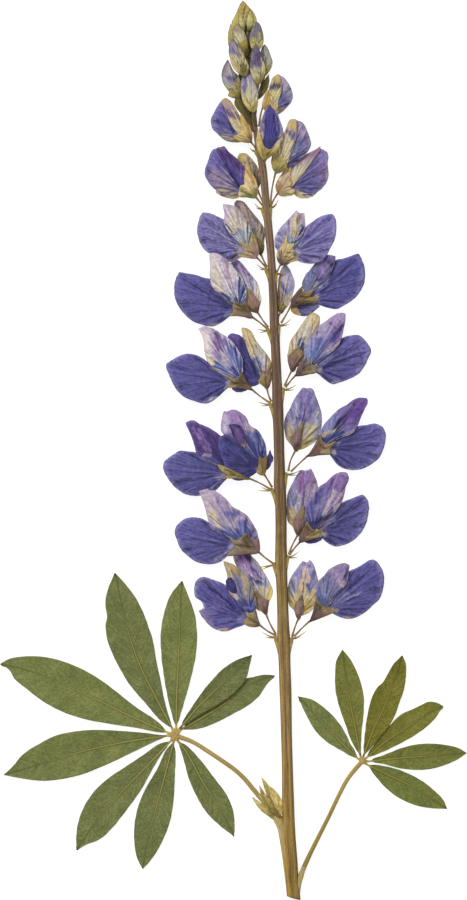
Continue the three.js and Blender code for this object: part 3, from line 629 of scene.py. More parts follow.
# Leaflets: base, tip, the two edges from base to tip, how far the halves rise, and the midrib's course
LEFT_LEAFLETS = [
    ((-13, -58.6), (-25, -26),
     [(-14.9, -57.4), (-18.7, -53.2), (-21.6, -49.8), (-24, -46), (-25.7, -42.6), (-26.7, -39.7),
      (-27, -36.8), (-26.7, -35.2), (-27.05, -32.8), (-26.5, -29.3)],
     [(-14.2, -54.5), (-15.5, -48.5), (-16.4, -43.9), (-17.2, -39.7), (-18.5, -35.8), (-20.4, -31.6),
      (-22.9, -28.2)], 0.3, [(-16.6, -51.8), (-20.4, -43.9), (-23.1, -35)]),
    ((-12.2, -58.5), (-10.9, -27.7),
     [(-13.6, -53.6), (-14.7, -47.7), (-15.3, -42.6), (-15.4, -38.4), (-14.7, -34.2), (-13.2, -30.3)],
     [(-10.4, -52.8), (-9, -47.7), (-8, -43), (-7.8, -38.8), (-8.3, -34.6), (-9.6, -30.8)], 0.35,
     [(-12, -50), (-11.6, -42), (-11.3, -34)]),
    ((-11.4, -58.6), (3.7, -43.2),
     [(-9.8, -55.7), (-7.7, -52.4), (-5.1, -49), (-2.2, -46), (0.8, -44.1)],
     [(-7.7, -56), (-3.4, -53.5), (0, -51.1), (2.5, -48.1), (3.3, -45.2)], 0.3,
     [(-8, -54.5), (-3.4, -50), (0, -46.9)]),
    ((-11.2, -58.9), (8.6, -47.5),
     [(-8, -55.9), (-5, -52.9), (-2.2, -50.3), (0.8, -48.5), (3.7, -47.9), (6.3, -47.35)],
     [(-7.7, -58.7), (-3, -57), (0, -55.4), (3, -53.7), (5.1, -52), (7, -49.2)], 0.28,
     [(-6.5, -56.2), (-1.5, -53), (1.6, -50.2), (5, -48.6)]),
    ((-11.8, -61.2), (0, -81.2),
     [(-10.6, -65), (-9.4, -69.3), (-7.7, -73.1), (-5.6, -76.5), (-3, -79)],
     [(-10.2, -62.1), (-7.3, -65), (-4.3, -68.9), (-1.8, -72.2), (-0.3, -75.6), (0.1, -78.6)], 0.3, None),
    ((-12.7, -61.4), (-19.2, -88.2),
     [(-14.2, -63.1), (-16.0, -66.9), (-18.5, -71.1), (-20.2, -75.2), (-20.9, -78.6), (-21, -82),
      (-20.4, -85.8)],
     [(-12.4, -63.4), (-12.5, -68.9), (-12.8, -74.4), (-13.6, -78.6), (-15.3, -82.8), (-17.4, -86.2)], 0.34,
     [(-14.4, -68), (-16.4, -75.4), (-18, -81)]),
    ((-13.3, -61.2), (-33, -84.2),
     [(-15.3, -61.7), (-19.1, -64.2), (-22.9, -66.7), (-26.7, -69.3), (-29.7, -72.2), (-31.8, -75.6),
      (-32.9, -79), (-33.2, -82)],
     [(-14.0, -62.1), (-16.7, -66.3), (-19.5, -71.4), (-22.5, -75.6), (-25.5, -79.4), (-28.4, -82),
      (-31.4, -83.2)], 0.34, [(-18.6, -66.8), (-24.4, -72.8), (-30, -79.5)]),
    ((-13.9, -60.1), (-48.4, -68.4),
     [(-14.5, -60.1), (-19.5, -59.5), (-24.6, -59.1), (-29.7, -58.9), (-33.9, -59.3), (-37.7, -60.2),
      (-41.1, -61.9), (-44.5, -64.2), (-46.6, -66.7)],
     [(-14.6, -60.4), (-19.5, -62.7), (-23.8, -64.8), (-28, -66.7), (-31.8, -68.2), (-36, -69.2),
      (-39.8, -69.6), (-42.8, -69.4), (-45.8, -68.9)], 0.38, [(-22, -61.3), (-31, -63.2), (-40.5, -66)]),
    ((-13.9, -59.5), (-49.1, -45.1),
     [(-16.1, -57.2), (-20.4, -54.3), (-25, -50.7), (-28.8, -47.9), (-33.1, -45.6), (-37.3, -44.1),
      (-40.7, -43.5), (-44.5, -43.5), (-47.5, -44.1)],
     [(-14.5, -59.5), (-20.4, -58.5), (-26.3, -57.6), (-31, -56.7), (-36, -55.1), (-40.3, -52.8),
      (-43.7, -50.2), (-46.2, -48.1), (-47.5, -46)], 0.36,
     [(-22, -55.9), (-30, -52), (-38, -48.4), (-44, -46.2)]),
]
RIGHT_LEAFLETS = [
    ((26, -64.9), (13.5, -51.9),
     [(25.6, -64.8), (22.5, -63.2), (19.5, -61.4), (17.2, -59.1), (15.7, -56.8), (14.6, -54.5)],
     [(25.8, -64.2), (24.4, -61.7), (22.9, -58.7), (21, -56.2), (19.1, -54.4), (16.5, -52.6)], 0.25,
     [(23, -62), (18.6, -57.4)]),
    ((26.6, -64.5), (22.8, -42.1),
     [(24.8, -61.4), (23.5, -57.9), (22.2, -54.2), (21.4, -50.8), (21.3, -47.4), (21.6, -44.3)],
     [(26.7, -60.2), (27.2, -55.7), (27.3, -52.3), (26.7, -49.2), (25.6, -46.2), (24.1, -43.6)], 0.28,
     [(25.6, -59), (24.6, -54), (23.6, -48)]),
    ((27.2, -64.4), (35.4, -43.3),
     [(27.5, -59.8), (28, -56), (28.8, -52.6), (30.1, -50), (31.2, -49), (32.4, -47), (33.5, -45.1)],
     [(30.5, -60.6), (33.1, -57.2), (34.8, -53), (35.8, -50), (36.1, -47.3), (36, -44.7)], 0.28,
     [(29.2, -59), (31.4, -54.4), (33.6, -48.6)]),
    ((27.7, -64.9), (44, -53.9),
     [(28.2, -64), (31.2, -59.8), (33.5, -57.2), (35.4, -55.5), (37.3, -54.7), (39.2, -53.8), (41.1, -53),
      (42.6, -53.2)],
     [(31.6, -63.4), (35, -61.7), (37.7, -60.2), (39.9, -58.7), (42.2, -56.6), (43.3, -54.9)], 0.28,
     [(31.6, -61.6), (36.4, -58.4), (40.6, -55.6)]),
    ((28.2, -65.5), (48.9, -63.8),
     [(32, -64), (35.4, -62.7), (38.4, -62), (41.5, -61.8), (44.5, -62.1), (47.5, -62.9)],
     [(31.6, -66.1), (35, -67), (38.4, -67.3), (41.8, -67), (44.9, -66.1), (47.1, -65.1)], 0.28,
     [(34, -64.9), (41, -64.4)]),
    ((28, -66.2), (44.8, -75.5),
     [(30.5, -66.4), (33.9, -67.1), (37.3, -68.4), (39.9, -69.9), (42.2, -71.8), (44.1, -73.8)],
     [(29.7, -68.5), (31.6, -70.8), (33.9, -72.7), (36.5, -74.1), (39.2, -75), (41.8, -75.4)], 0.28,
     [(32.5, -68.4), (37.4, -70.8), (41.6, -73.5)]),
]
# Greens of each leaflet, from dark to light
LEFT_GREENS = [
    ("5f6739", "6d7343", "7b804f"), ("676f3b", "767c46", "848a52"), ("59603a", "666c40", "74784b"),
    *[("5f6739", "6d7343", "7b804f")] * 3, ("606839", "6f7544", "7d824f"), ("636b39", "717843", "80854f"),
    ("666e3b", "747b45", "838852"),
]
RIGHT_GREENS = [
    ("667040", "737b46", "82855a"), ("62672a", "727536", "828444"), ("63631c", "6b6920", "767530"),
    ("66672a", "72722c", "7d7d3c"), ("5f6530", "6f7336", "7c8044"), ("5b6430", "6b7338", "7a8046"),
]


def leaf(side, leaflets, greens, rib_tone, yellow):
    """The leaflets of one palmate leaf."""
    for i, (base, tip, edge_a, edge_b, fold, rib) in enumerate(leaflets, 1):
        name = f"{side}_leaflet_{i}"
        green = leaf_material(f"{name}_blade", greens[i - 1], rib_tone, 0.95, yellow)
        leaflet_mesh(f"{name}_blade", name, base, tip, edge_a, edge_b, fold, green, rib)


# Petioles: hub, its radius, course of (x, y, height), radius at each point, colours from the hub down
PETIOLES = {
    "left": ((-12.4, -60.0), 1.25,
             [(-12.2, -60.1, 0.5), (-8.5, -61.5, 0.5), (-5.6, -63.3, 0.5), (-2.6, -65.3, 0.5),
              (0.8, -67.8, 0.5), (2.7, -69.7, 0.5), (4, -71.3, 0.55), (6, -73.6, 0.6), (8, -75.7, 0.7),
              (9.8, -77.6, 0.9)],
             [0.52, 0.44, 0.46, 0.47, 0.47, 0.48, 0.5, 0.52, 0.58, 0.62], ("b79e5c", "a99354", "a58d4e")),
    "right": ((27.0, -65.4), 0.95,
              [(26.8, -65.7, 0.5), (25.9, -66.7, 0.5), (24, -69.1, 0.5), (22, -72.8, 0.5), (20, -77, 0.5),
               (18.3, -80.4, 0.5), (16, -85, 0.6), (14.5, -88.3, 0.9), (13.8, -90.3, 1.1)],
              [0.45, 0.48, 0.42, 0.42, 0.42, 0.42, 0.46, 0.52, 0.6], ("ab9550", "9c853a", "977f35")),
}


def petiole(side, leaflets):
    """Grooved leaf stalk, the knob where the leaflets meet and a short golden rib into each leaflet."""
    hub, radius, course, radii, colours = PETIOLES[side]
    node = f"{side}_petiole"
    fibres = fibre_material(f"{node}_fibres", colours, "75602f", "cfb77c", 4.0, 0, 35)
    settle(tube_mesh(f"{node}_stalk", course, radii, fibres, 14, 0.85, 5, 0.07), node)
    straw = fibre_material(f"{node}_straw", [(0.0, "b69c56"), (0.6, "c8b064"), (1.0, "a99248")],
                           "8a7038", "d8c48e", 3.0, 0, 3)
    middle = np.array(hub)
    width = 0.3 * radius
    for i, (base, _, edge_a, edge_b, _, _) in enumerate(leaflets, 1):
        base = np.array(base)
        toward = base - middle
        toward /= np.hypot(*toward)
        rib = (np.array(edge_a[0]) + np.array(edge_b[0])) / 2
        end = base + toward * 0.9
        course = [(*(middle + toward * 0.15), 0.72), (*(middle + toward * radius * 0.75), 0.66),
                  (*base, 0.5), (*(end * 0.7 + rib * 0.3), 0.36)]
        radii = [width, width * 1.05, width * 0.75, 0.08]
        settle(tube_mesh(f"{node}_rib_{i}", course, radii, straw, 10, 0.8, steps=5), node)
    ring = [(hub[0] + radius * HUB_SIZE * math.cos(t), hub[1] + radius * HUB_SIZE * math.sin(t))
            for t in np.arange(HUB_POINTS) * math.tau / HUB_POINTS]
    knob = fan_mesh(f"{node}_knob", ring, 0.62, straw, dome=0.45, pleat=0.05, rays=40, rings=10, wave=0.08,
                    frill=0.05)
    settle(knob, node)


# Stem edges: place up the stem, left edge, right edge
STEM_EDGES = [
    (-94.1, 11.1, 13.9), (-92.5, 11.15, 13.75), (-90.5, 10.85, 13.35), (-88, 10.65, 13.4),
    (-85, 10.4, 13.15), (-82, 10.1, 12.9), (-79.5, 10.0, 12.75), (-77, 10.15, 12.65), (-74, 10.1, 12.55),
    (-70, 10.1, 12.4), (-65, 10.05, 12.25), (-60, 9.9, 12.1), (-55, 9.75, 12.05), (-50, 9.55, 12),
    (-45.5, 9.45, 11.8), (-43, 9.3, 11.75), (-40.5, 9.05, 11.9), (-38.5, 9.1, 11.6), (-35, 9.1, 11.4),
    (-30, 9, 11.25), (-26, 8.75, 11.1), (-23, 8.6, 11.15), (-20, 8.7, 11), (-15, 8.75, 11),
    (-10, 8.6, 10.95), (-7, 8.3, 10.8), (-4, 8.45, 10.65), (0, 8.4, 10.5), (5, 8.25, 10.4), (9, 8, 10.3),
    (12, 8.05, 10.2), (14, 8, 10), (18, 7.9, 9.8), (22, 7.75, 9.6), (26, 7.5, 9.5), (30, 7.45, 9.2),
    (34, 7.3, 9), (37, 7.1, 8.9), (39, 7.1, 8.65), (42, 6.9, 8.5), (46, 6.4, 8.1), (50, 6.2, 7.75),
    (52, 5.95, 7.45), (56, 5.6, 7.15), (60, 5.1, 6.75), (62.5, 4.6, 6.1), (66, 4.1, 5.1), (70, 3.65, 4.75),
    (75, 3.3, 4.1), (80, 2.75, 3.5), (85, 2.5, 3.3), (88, 2.4, 3.1),
]
# Colours up the stem, from straw at its foot to brown among the flowers
STEM_STOPS = [(0.0, "b29646"), (0.12, "b1965d"), (0.3, "a38c57"), (0.42, "8c734d"), (0.6, "7f6757"),
              (0.78, "8a7262"), (0.87, "9a8270"), (0.94, "9a8670"), (0.968, "8f7b66"), (1.0, "6f6242")]
# Light and dark across the stem, from its left edge to its right: its own darker and paler stripes, with a
# painted highlight down its left side and painted shade along its right edge
STEM_BANDS_AND_SHADING = [(0.0, "b8ad98"), (0.14, "fff2d4"), (0.3, "dcd2c2"), (0.44, "b4a89e"), (0.56, "d4cac0"),
              (0.74, "f6ecdf"), (0.88, "c8bdb2"), (1.0, "988e86")]


def stem_shape(y):
    """Middle, width, height of the middle and thickness of the stem at places up it."""
    places, lefts, rights = np.array(STEM_EDGES).T
    left, right = np.interp(y, places, lefts), np.interp(y, places, rights)
    width = right - left
    hidden = smooth_step(y, *STEM_HIDDEN)
    thick = np.minimum(STEM_THICK, width * 0.92) * (1 - 0.45 * hidden)
    rise = STEM_RISE * smooth_step(y, -40, 70) * (1 - hidden)
    return (left + right) / 2, width, rise + thick / 2 + LOWEST, thick


def shaft():
    """Flattened, ribbed stem with a slanting cut at its foot."""
    rows = np.linspace(STEM_EDGES[0][0], STEM_EDGES[-1][0], STEM_ROWS)
    middle, width, height, thick = stem_shape(rows)
    kernel = np.hanning(9) / np.hanning(9).sum()
    for values in (middle, width):
        values[4:-4] = np.convolve(values, kernel, "valid")
    turns = math.tau * np.arange(STEM_SIDES) / STEM_SIDES
    cosine, sine = np.cos(turns), np.sin(turns)
    squared = (np.abs(cosine) ** STEM_SQUARE + np.abs(sine) ** STEM_SQUARE) ** (-1 / STEM_SQUARE)
    drift = ripple(rows, rows * 0, seeded("ribs"), 60) * 0.5
    (coarse, depth), (fine, fine_depth) = STEM_RIBS
    points, marks = [], []
    for i, y in enumerate(rows):
        ribs = 1 + depth * np.cos(coarse * turns + drift[i])
        ribs += fine_depth * np.cos(fine * turns - drift[i] * 2)
        x = middle[i] + width[i] / 2 * cosine * squared * ribs
        z = height[i] + thick[i] / 2 * sine * squared * ribs
        slant = -CUT_SLANT * (x - middle[i]) if i < CUT_ROWS else 0
        points.extend(np.stack([x, np.full(STEM_SIDES, y) + slant, np.maximum(z, LOWEST)], 1))
        share = np.clip((x - middle[i]) / width[i] + 0.5, 0, 1)
        marks.extend(np.stack([share, np.full(STEM_SIDES, y), np.full(STEM_SIDES, i / STEM_ROWS)], 1))
    fibres = fibre_material("stem_fibres", STEM_STOPS, "4f3c2c", "bfa77c", 4.5, -94, 90, STEM_BANDS_AND_SHADING)
    settle(add_mesh("stem_shaft", points, tube_faces(STEM_ROWS, STEM_SIDES), fibres, marks), "stem")


# Nodes of the stem: where the ridge joins the stem, tips of the bract stub, length of the ridge
NODES = [
    ((8.9, -39.4), [(6.0, -38.4), (6.6, -39.4)], 4.6), ((12.0, -39.7), [(15.1, -38.1), (14.0, -39.2)], 4.4),
    ((8.6, -24.1), [(5.0, -24.8), (5.8, -25.2)], 3.6), ((11.1, -22.6), [(13.6, -21.4), (13.2, -22.6)], 4.2),
    ((8.3, -8.5), [(5.0, -8.6), (5.8, -7.9)], 3.8), ((10.8, -5.2), [(14.0, -4.3), (13.3, -5.3)], 4.4),
    ((7.9, 9.5), [(5.0, 10.1), (5.6, 9.2)], 3.8), ((10.2, 12.6), [(13.0, 13.6), (12.6, 12.6)], 4.2),
    ((7.4, 25.1), [(4.8, 25.4), (5.4, 24.6)], 3.4), ((9.3, 26.0), [(12.0, 27.5), (11.6, 26.4)], 3.8),
    ((6.95, 37.9), [(4.8, 38.9), (5.2, 38.0)], 3.2), ((8.7, 36.9), [(10.7, 37.7), (10.2, 36.9)], 3.4),
    ((6.2, 50.5), [(4.3, 51.7), (4.6, 50.9)], 3.0), ((7.55, 50.7), [(9.4, 52.6), (9.0, 51.6)], 2.6),
    ((4.8, 62.7), [(3.3, 63.4), (3.6, 62.9)], 1.8),
]


def stem_nodes():
    """At each node: a pale ridge running down the stem's edge and a forked, dried bract stub."""
    ridge = fibre_material("node_ridges", ("96803f", "b09a58", "a08848"), "7d6838", "cdbb84", 3.0, 0, 4)
    stub = fibre_material("bract_stubs", ("96803f", "a98f48", "b49a5a"), "7a622e", "c9b070", 3.0, 0, 3)
    for i, ((x, y), tips, length) in enumerate(NODES, 1):
        lean = -1 if tips[0][0] < x else 1
        _, _, height, thick = stem_shape(y)
        foot_centre, foot_width, foot_height, _ = stem_shape(y - length)
        top = height + thick * 0.1
        foot = foot_centre + lean * foot_width * 0.42
        course = [(x + lean * 0.25, y + 0.5, top), (x + lean * 0.12, y - 0.25, top + 0.15),
                  ((x + foot) / 2, y - length * 0.4, top + 0.1), (foot, y - length, foot_height)]
        settle(tube_mesh(f"stem_ridge_{i}", course, [0.16, 0.42, 0.4, 0.1], ridge, 12, 0.9, 3, 0.08),
               "stem")
        for j, (tip_x, tip_y) in enumerate(tips, 1):
            bend = (x + (tip_x - x) * 0.5, y + (tip_y - y) * 0.35 - 0.1)
            course = [(x, y, top), (*bend, (top + 0.5) / 2 + 0.25), (tip_x, tip_y, 0.75 if j == 1 else 0.45)]
            settle(tube_mesh(f"stem_stub_{i}_{j}", course, [0.2, 0.14, 0.05], stub, 8, 0.8, steps=6),
                   "stem")


def leaf_node():
    """Sheath of the left petiole, and the right petiole's foot, both running into the stem."""
    pale = fibre_material("sheath_fibres", ("b8a268", "b09a68", "9a8240"), "6f5a2c", "d0bd84", 4.0, 0, 14)
    left = [(8.3, -76.6, 0.9), (9.3, -77.8, 1.0), (10.0, -79.4, 1.15), (10.35, -81.6, 1.2),
            (10.7, -84.5, 1.25), (11.15, -88.5, 1.25), (11.6, -93.4, 1.2)]
    right = [(14.75, -87.6, 0.95), (14.1, -89.3, 1.15), (13.6, -91.0, 1.2), (13.4, -92.4, 1.2),
             (13.3, -94.2, 1.2)]
    settle(tube_mesh("stem_sheath", left, [0.55, 0.92, 0.86, 0.78, 0.66, 0.6, 0.5], pale, 16, 0.95, 5, 0.07),
           "stem")
    settle(tube_mesh("stem_right_foot", right, [0.4, 0.62, 0.62, 0.6, 0.55], pale, 14, 0.9, 5, 0.07),
           "stem")


# Stipules of the axil shoot: base, tip, width, bow to one side, height over the node's floor, colours
STIPULES = [
    ((9.0, -76.6), (5.7, -68.7), 1.5, -0.04, 0.1, ("87773a", "ac994f", "c6b060")),
    ((8.6, -76.9), (5.25, -70.3), 1.2, 0.03, 0.25, ("6f5e2e", "918146", "b5a259")),
    ((8.7, -77.2), (5.0, -71.7), 1.0, 0.02, 0.4, ("817037", "a8954d", "c3ae60")),
    ((9.1, -77.3), (3.7, -72.8), 1.3, 0.05, 0.3, ("ac974f", "ceb96a", "dfcb7d")),
    ((9.3, -78.0), (4.6, -74.0), 1.7, -0.06, 0.15, ("c3ab5b", "e0c97a", "d7bf71")),
    ((9.9, -76.7), (7.3, -70.4), 1.9, -0.05, 0.5, ("c8ae5e", "e4ca7f", "d2bc73")),
    ((9.7, -77.4), (6.2, -72.2), 1.0, 0.0, 0.65, ("857137", "aa954e", "c7b465")),
]


def lens_outline(base, tip, width, bow):
    """Pointed oval from its base round its tip, bowed to one side by a share of its length."""
    base, tip = np.array(base, float), np.array(tip, float)
    run = tip - base
    side = np.array([-run[1], run[0]]) / (np.hypot(*run) + 1e-9)
    outline = [tuple(base)]
    shares = (0.12, 0.32, 0.55, 0.78, 0.93)
    for sign, order in ((-1, shares), (1, shares[::-1])):
        for t in order:
            swell = math.sin(math.pi * t ** (math.log(0.5) / math.log(STIPULE_WIDEST))) ** 0.8
            middle = base + run * t + side * bow * 4 * t * (1 - t) * np.hypot(*run)
            outline.append(tuple(middle + side * sign * width / 2 * swell))
        if sign < 0:
            outline.append((*tip, 1))
    return outline


def axil_shoot():
    """Cluster of lance-shaped stipules between the left petiole and the stem."""
    floor = node_floor("axil_shoot")
    for i, (base, tip, width, bow, over, stops) in enumerate(STIPULES, 1):
        name = f"axil_shoot_stipule_{i}"
        straw = petal_material(name, stops, [], 5, width, "55461f", 0.6, "cdbb86", 0.65)
        crease = ((base, tip, -0.14, 0.16),)
        piece = fan_mesh(name, lens_outline(base, tip, width, bow), floor + over, straw, 0.32, 0.03, crease,
                         droop=0.15, rays=36, rings=18, wave=0.06, frill=0.03)
        settle(piece, "axil_shoot")


# ---------------------------------------------------------------- flowers and buds

def petal(kind, over, stops, outline, spots=(), **extras):
    """Petal: kind, height over the flower's layer, claw to rim colours, outline from the claw, spots."""
    return kind, over, stops, outline, spots, extras


def calyx(over, stops, outline, spots=(), **extras):
    """Calyx cut into lobes: its outline starts at the pedicel."""
    return petal("calyx", over, stops, outline, spots, **{**CALYX_LOOK, **extras})


def add_petals(node, floor, pieces, slot=None):
    """Fans of one flower or bud, each at its height over the layer. A bud's pieces take the small fan shape
    and the bud look.
    """
    used = {}
    for kind, over, stops, outline, spots, extras in pieces:
        used[kind] = used.get(kind, 0) + 1
        name = f"{node}_{kind}" if used[kind] == 1 else f"{node}_{kind}_{used[kind]}"
        spread = max(math.dist(outline[0][:2], point[:2]) for point in outline)
        look = {"width": spread * 0.8, "vein": PETAL_VEINS.get(kind, OTHER_VEINS), "grain": 1.15}
        shape = {}
        if slot or kind == "calyx":
            shape.update(SMALL_FAN)
            look["veins"] = SMALL_VEINS
        for key, value in extras.items():
            (shape if key in ("folds", "dome") else look)[key] = value
        if slot:
            look.update(BUD_LOOK)
        blade = fan_mesh(name, outline, floor + over, petal_material(name, stops, spots, **look), **shape)
        settle(blade, node)


def flower(name, pedicel, *pieces, foot=PEDICEL_FOOT):
    """Petals, calyx and thread-like pedicel of one flower. The pedicel's foot is at its own height."""
    node = f"flower_{name}"
    floor = node_floor(node) + LOWEST
    add_petals(node, floor, pieces)
    fibres = fibre_material(f"{node}_pedicel", *PEDICEL_COLOURS, 3.0, 0, 5)
    top = floor + PEDICEL_TOP
    heights = (top, (top + foot) / 2 + 0.1, foot)
    course = [(*spot, height) for spot, height in zip(pedicel, heights)]
    settle(tube_mesh(f"{node}_pedicel", course, PEDICEL_RADII, fibres, 10, 0.9, 4, 0.06), node)


def bud(node, lift, stalk, *pieces):
    """Bud of overlapping petals and calyx lobes on its stalk, lifted a little from its node's layer."""
    floor = max(node_floor(node) + lift, 0) + LOWEST
    add_petals(node, floor, pieces, "bud")
    fibres = fibre_material(f"{node}_stalk", *STALK_COLOURS, 3.0, 0, 5)
    heights = np.linspace(floor + STALK_TOP, STALK_FOOT, len(stalk))
    course = [(*spot, height) for spot, height in zip(stalk, heights)]
    radii = [STALK_RADIUS] * len(stalk)
    settle(tube_mesh(f"{node}_stalk", course, radii, fibres, 10, 0.9, 4, 0.06), node)


# ---------------------------------------------------------------- the part

leaf("left", LEFT_LEAFLETS, LEFT_GREENS, "a3974f", 0.12)
leaf("right", RIGHT_LEAFLETS, RIGHT_GREENS, "9a8d3c", 0.35)
petiole("left", LEFT_LEAFLETS)
petiole("right", RIGHT_LEAFLETS)
shaft()
stem_nodes()
leaf_node()
axil_shoot()

# Flowers from the lowest whorl up, each from its pedicel's top to its foot, then its pieces. A piece's
# outline starts at its claw. Its spots are (x, y, x, y, radius, colour, strength), its folds (start, end,
# rise, spread), and a third value in an outline makes a sharp corner.
# Among the spots, the dark streaks laid along a sunken fold's line, and the thin dark lines where calyx
# lobes meet, are painted crease shade; other painted light is marked where it stands.
flower("left_1a", [(5.3, -36.7), (6.7, -37.8), (8.9, -39.1)],
    petal("wings", 0, ("7972a6", "5f5a98", "57528c"), [
        (3.2, -35.9), (2.4, -36.6), (0.3, -37.4), (-1.9, -38.15), (-4.3, -37.5), (-6.2, -35.8),
        (-7.5, -33.8, 1), (-6.5, -33.3), (-6.8, -31.9), (-8.2, -31, 1), (-8.4, -29.5), (-7.7, -27.2),
        (-6.8, -26.7), (-4.6, -27.2), (-1.7, -28.4), (-0.6, -29.2), (0.6, -30.6), (2, -32.2),
        (3.2, -34.4)], [
        (-5.4, -33.8, -3, -32.2, 1.1, "7d76a6", 0.6), (-4.8, -36.6, -6.8, -34.2, 0.8, "9882a8", 0.5),
        (-3.4, -37.9, 0.2, -37.7, 0.28, "bfa273", 0.9), (-6.7, -32.4, -6.4, -33.2, 0.2, "fff7c9", 0.9),
        (0.2, -33.2, -5.2, -28.8, 0.26, "262560", 0.85), (1.2, -34.4, -5.6, -30.2, 0.2, DEEP, 0.8),
        (1.2, -35.2, -5, -33.2, 0.18, DEEP, 0.6), (-7.4, -27.6, -3.6, -28.2, 0.6, "756fae", 0.5),
        (-1, -31.4, 1.8, -34, 0.35, "34326e", 0.7), (1.2, -35.6, 2.6, -35.6, 0.45, "9791be", 0.8),
        (-6.8, -29.2, -4, -32.4, 0.9, "4e4986", 0.4)], edge="a094b9", claw=0.2,
        folds=[((0.2, -33.2), (-5.2, -28.8), -0.25, 0.3), ((1.2, -35.2), (-5, -33), 0.12, 0.4)]),
    petal("banner", 0.35, ("434988", "827d95", "b29b79"), [
        (3.4, -34.3), (2.15, -33.5), (0.6, -31.5), (-0.3, -30.8), (-1.2, -29.5), (-1.4, -26.6),
        (-1.7, -25.3), (-2.3, -23.3, 1), (0, -24.1), (1.5, -25.4), (2.8, -26.8), (3.7, -28.6), (4.3, -30.5),
        (4.7, -32.3), (4.5, -33.7)], [
        # The pale blue streak, second on the line below, is a painted highlight
        (1.2, -32.2, 4, -33.4, 0.95, "414686", 0.9), (2, -32.9, 3.8, -33.1, 0.22, "717ab1", 0.8),
        (2.4, -26.8, 2.2, -30.2, 0.55, "bea886", 0.8), (-1, -26.6, -0.6, -29.8, 0.4, "c1ab8a", 0.75),
        (0.6, -26.4, 1.2, -30.2, 0.5, "7075a6", 0.85), (3.3, -28.6, 3.8, -31, 0.4, "918879", 0.7),
        (-0.7, -30.2, 0.5, -31.2, 0.45, "d2bcb3", 0.9), (-2, -23.8, 0.4, -25.2, 0.8, "af976e", 0.85),
        (-1.2, -29.6, 2.6, -34.6, 0.13, "ad9356", 0.9), (-0.8, -25.2, 0.9, -27.6, 0.12, "6a5a26", 0.6)],
        edge="b09870", streaks=0.8, claw=0.3, folds=[((0.4, -26), (2.6, -32.6), -0.2, 0.3)]),
    petal("keel", 0.75, (NAVY, "45407a", "3b3668"), [
        (0.4, -30), (-0.5, -29.9), (-1.5, -28.8), (-1.7, -27.5), (-1.2, -26.8), (-0.3, -27.1), (0.3, -28.2),
        (0.5, -29.2)], [
        (-0.9, -27.6, -0.4, -28.6, 0.2, "625e9a", 0.5)]),
    calyx(0.65, ("6a5148", "8a7350", "9f8a5a"), [
        (5.6, -36.9), (5, -35.5), (4.7, -34.2), (4.5, -33.4, 1), (3.7, -34.4), (2.4, -33.9, 1),
        (2.7, -35.1), (1.9, -36.4, 1), (2.7, -36.9), (4.2, -37.2)], [
        (5.2, -36.2, 4.5, -34, 0.4, "7a5c54", 0.9), (2.6, -36.4, 3.6, -36.8, 0.4, "a89264", 0.8),
        (3, -35.2, 4.6, -36.2, 0.15, LOBE_SHADE, 0.7), (3.2, -34.8, 4.8, -35.8, 0.3, "8b8058", 0.6)]))
flower("left_1b", [(6.75, -34.6), (7.4, -36.2), (8.75, -38.7)],
    petal("banner", 0, ("e4ce89", "a7a7bd", "8c72a6"), [
        (6.7, -33.8), (7.3, -32.2), (7.9, -31.1), (8.2, -30), (7.85, -28.6), (7.1, -27.1), (6, -25.2),
        (4.9, -23.5), (3.7, -22.3), (3.2, -21.2), (0.1, -20.6, 1), (-0.1, -23), (1.2, -25.6), (2.9, -28.4),
        (4, -31), (4.4, -33.2), (5.4, -34)], [
        (0.4, -21.4, 3.2, -22.6, 0.8, "44356a", 0.9), (1.2, -23.4, 4.6, -25.8, 0.6, "9170a6", 0.8),
        (3.8, -26.8, 4.4, -27.6, 0.5, "302e6a", 0.9), (5.3, -27.8, 5.7, -28.4, 0.4, "39387c", 0.8),
        (7.8, -28.8, 7.2, -31.6, 0.6, "e6cd74", 0.9), (6.8, -26.4, 5.4, -24.2, 0.24, "d5ba77", 0.8),
        (5.8, -29.2, 6.4, -31.2, 0.5, "c1b699", 0.7), (2, -24.2, 4.6, -27.2, 0.16, "e7b6c0", 0.8),
        (3.6, -24.6, 6.6, -28, 0.14, "53387c", 0.8), (4.6, -33.4, 5.2, -31.8, 0.5, "e0c465", 0.9),
        (6.6, -27.2, 6.9, -28.8, 0.4, "888cb8", 0.7)], edge="d5bf7c", vein_tone="4d2e6a", streaks=0.9,
        claw=0.5),
    calyx(0.55, ROSY_CALYX, [
        (6.8, -34.9), (5.9, -34), (4.9, -32.6), (4.5, -31), (4.7, -29.2, 1), (5.5, -30.5), (6.5, -31.3),
        (7.4, -31.6, 1), (7.15, -33), (7, -34.4)], [
        (5.4, -33.2, 5.6, -31.2, 0.4, "9a7e6c", 0.7), (4.7, -31.2, 4.8, -29.6, 0.2, "4f3d34", 0.8),
        (6.7, -34.4, 6.6, -33.2, 0.3, "5a4238", 0.7)]))
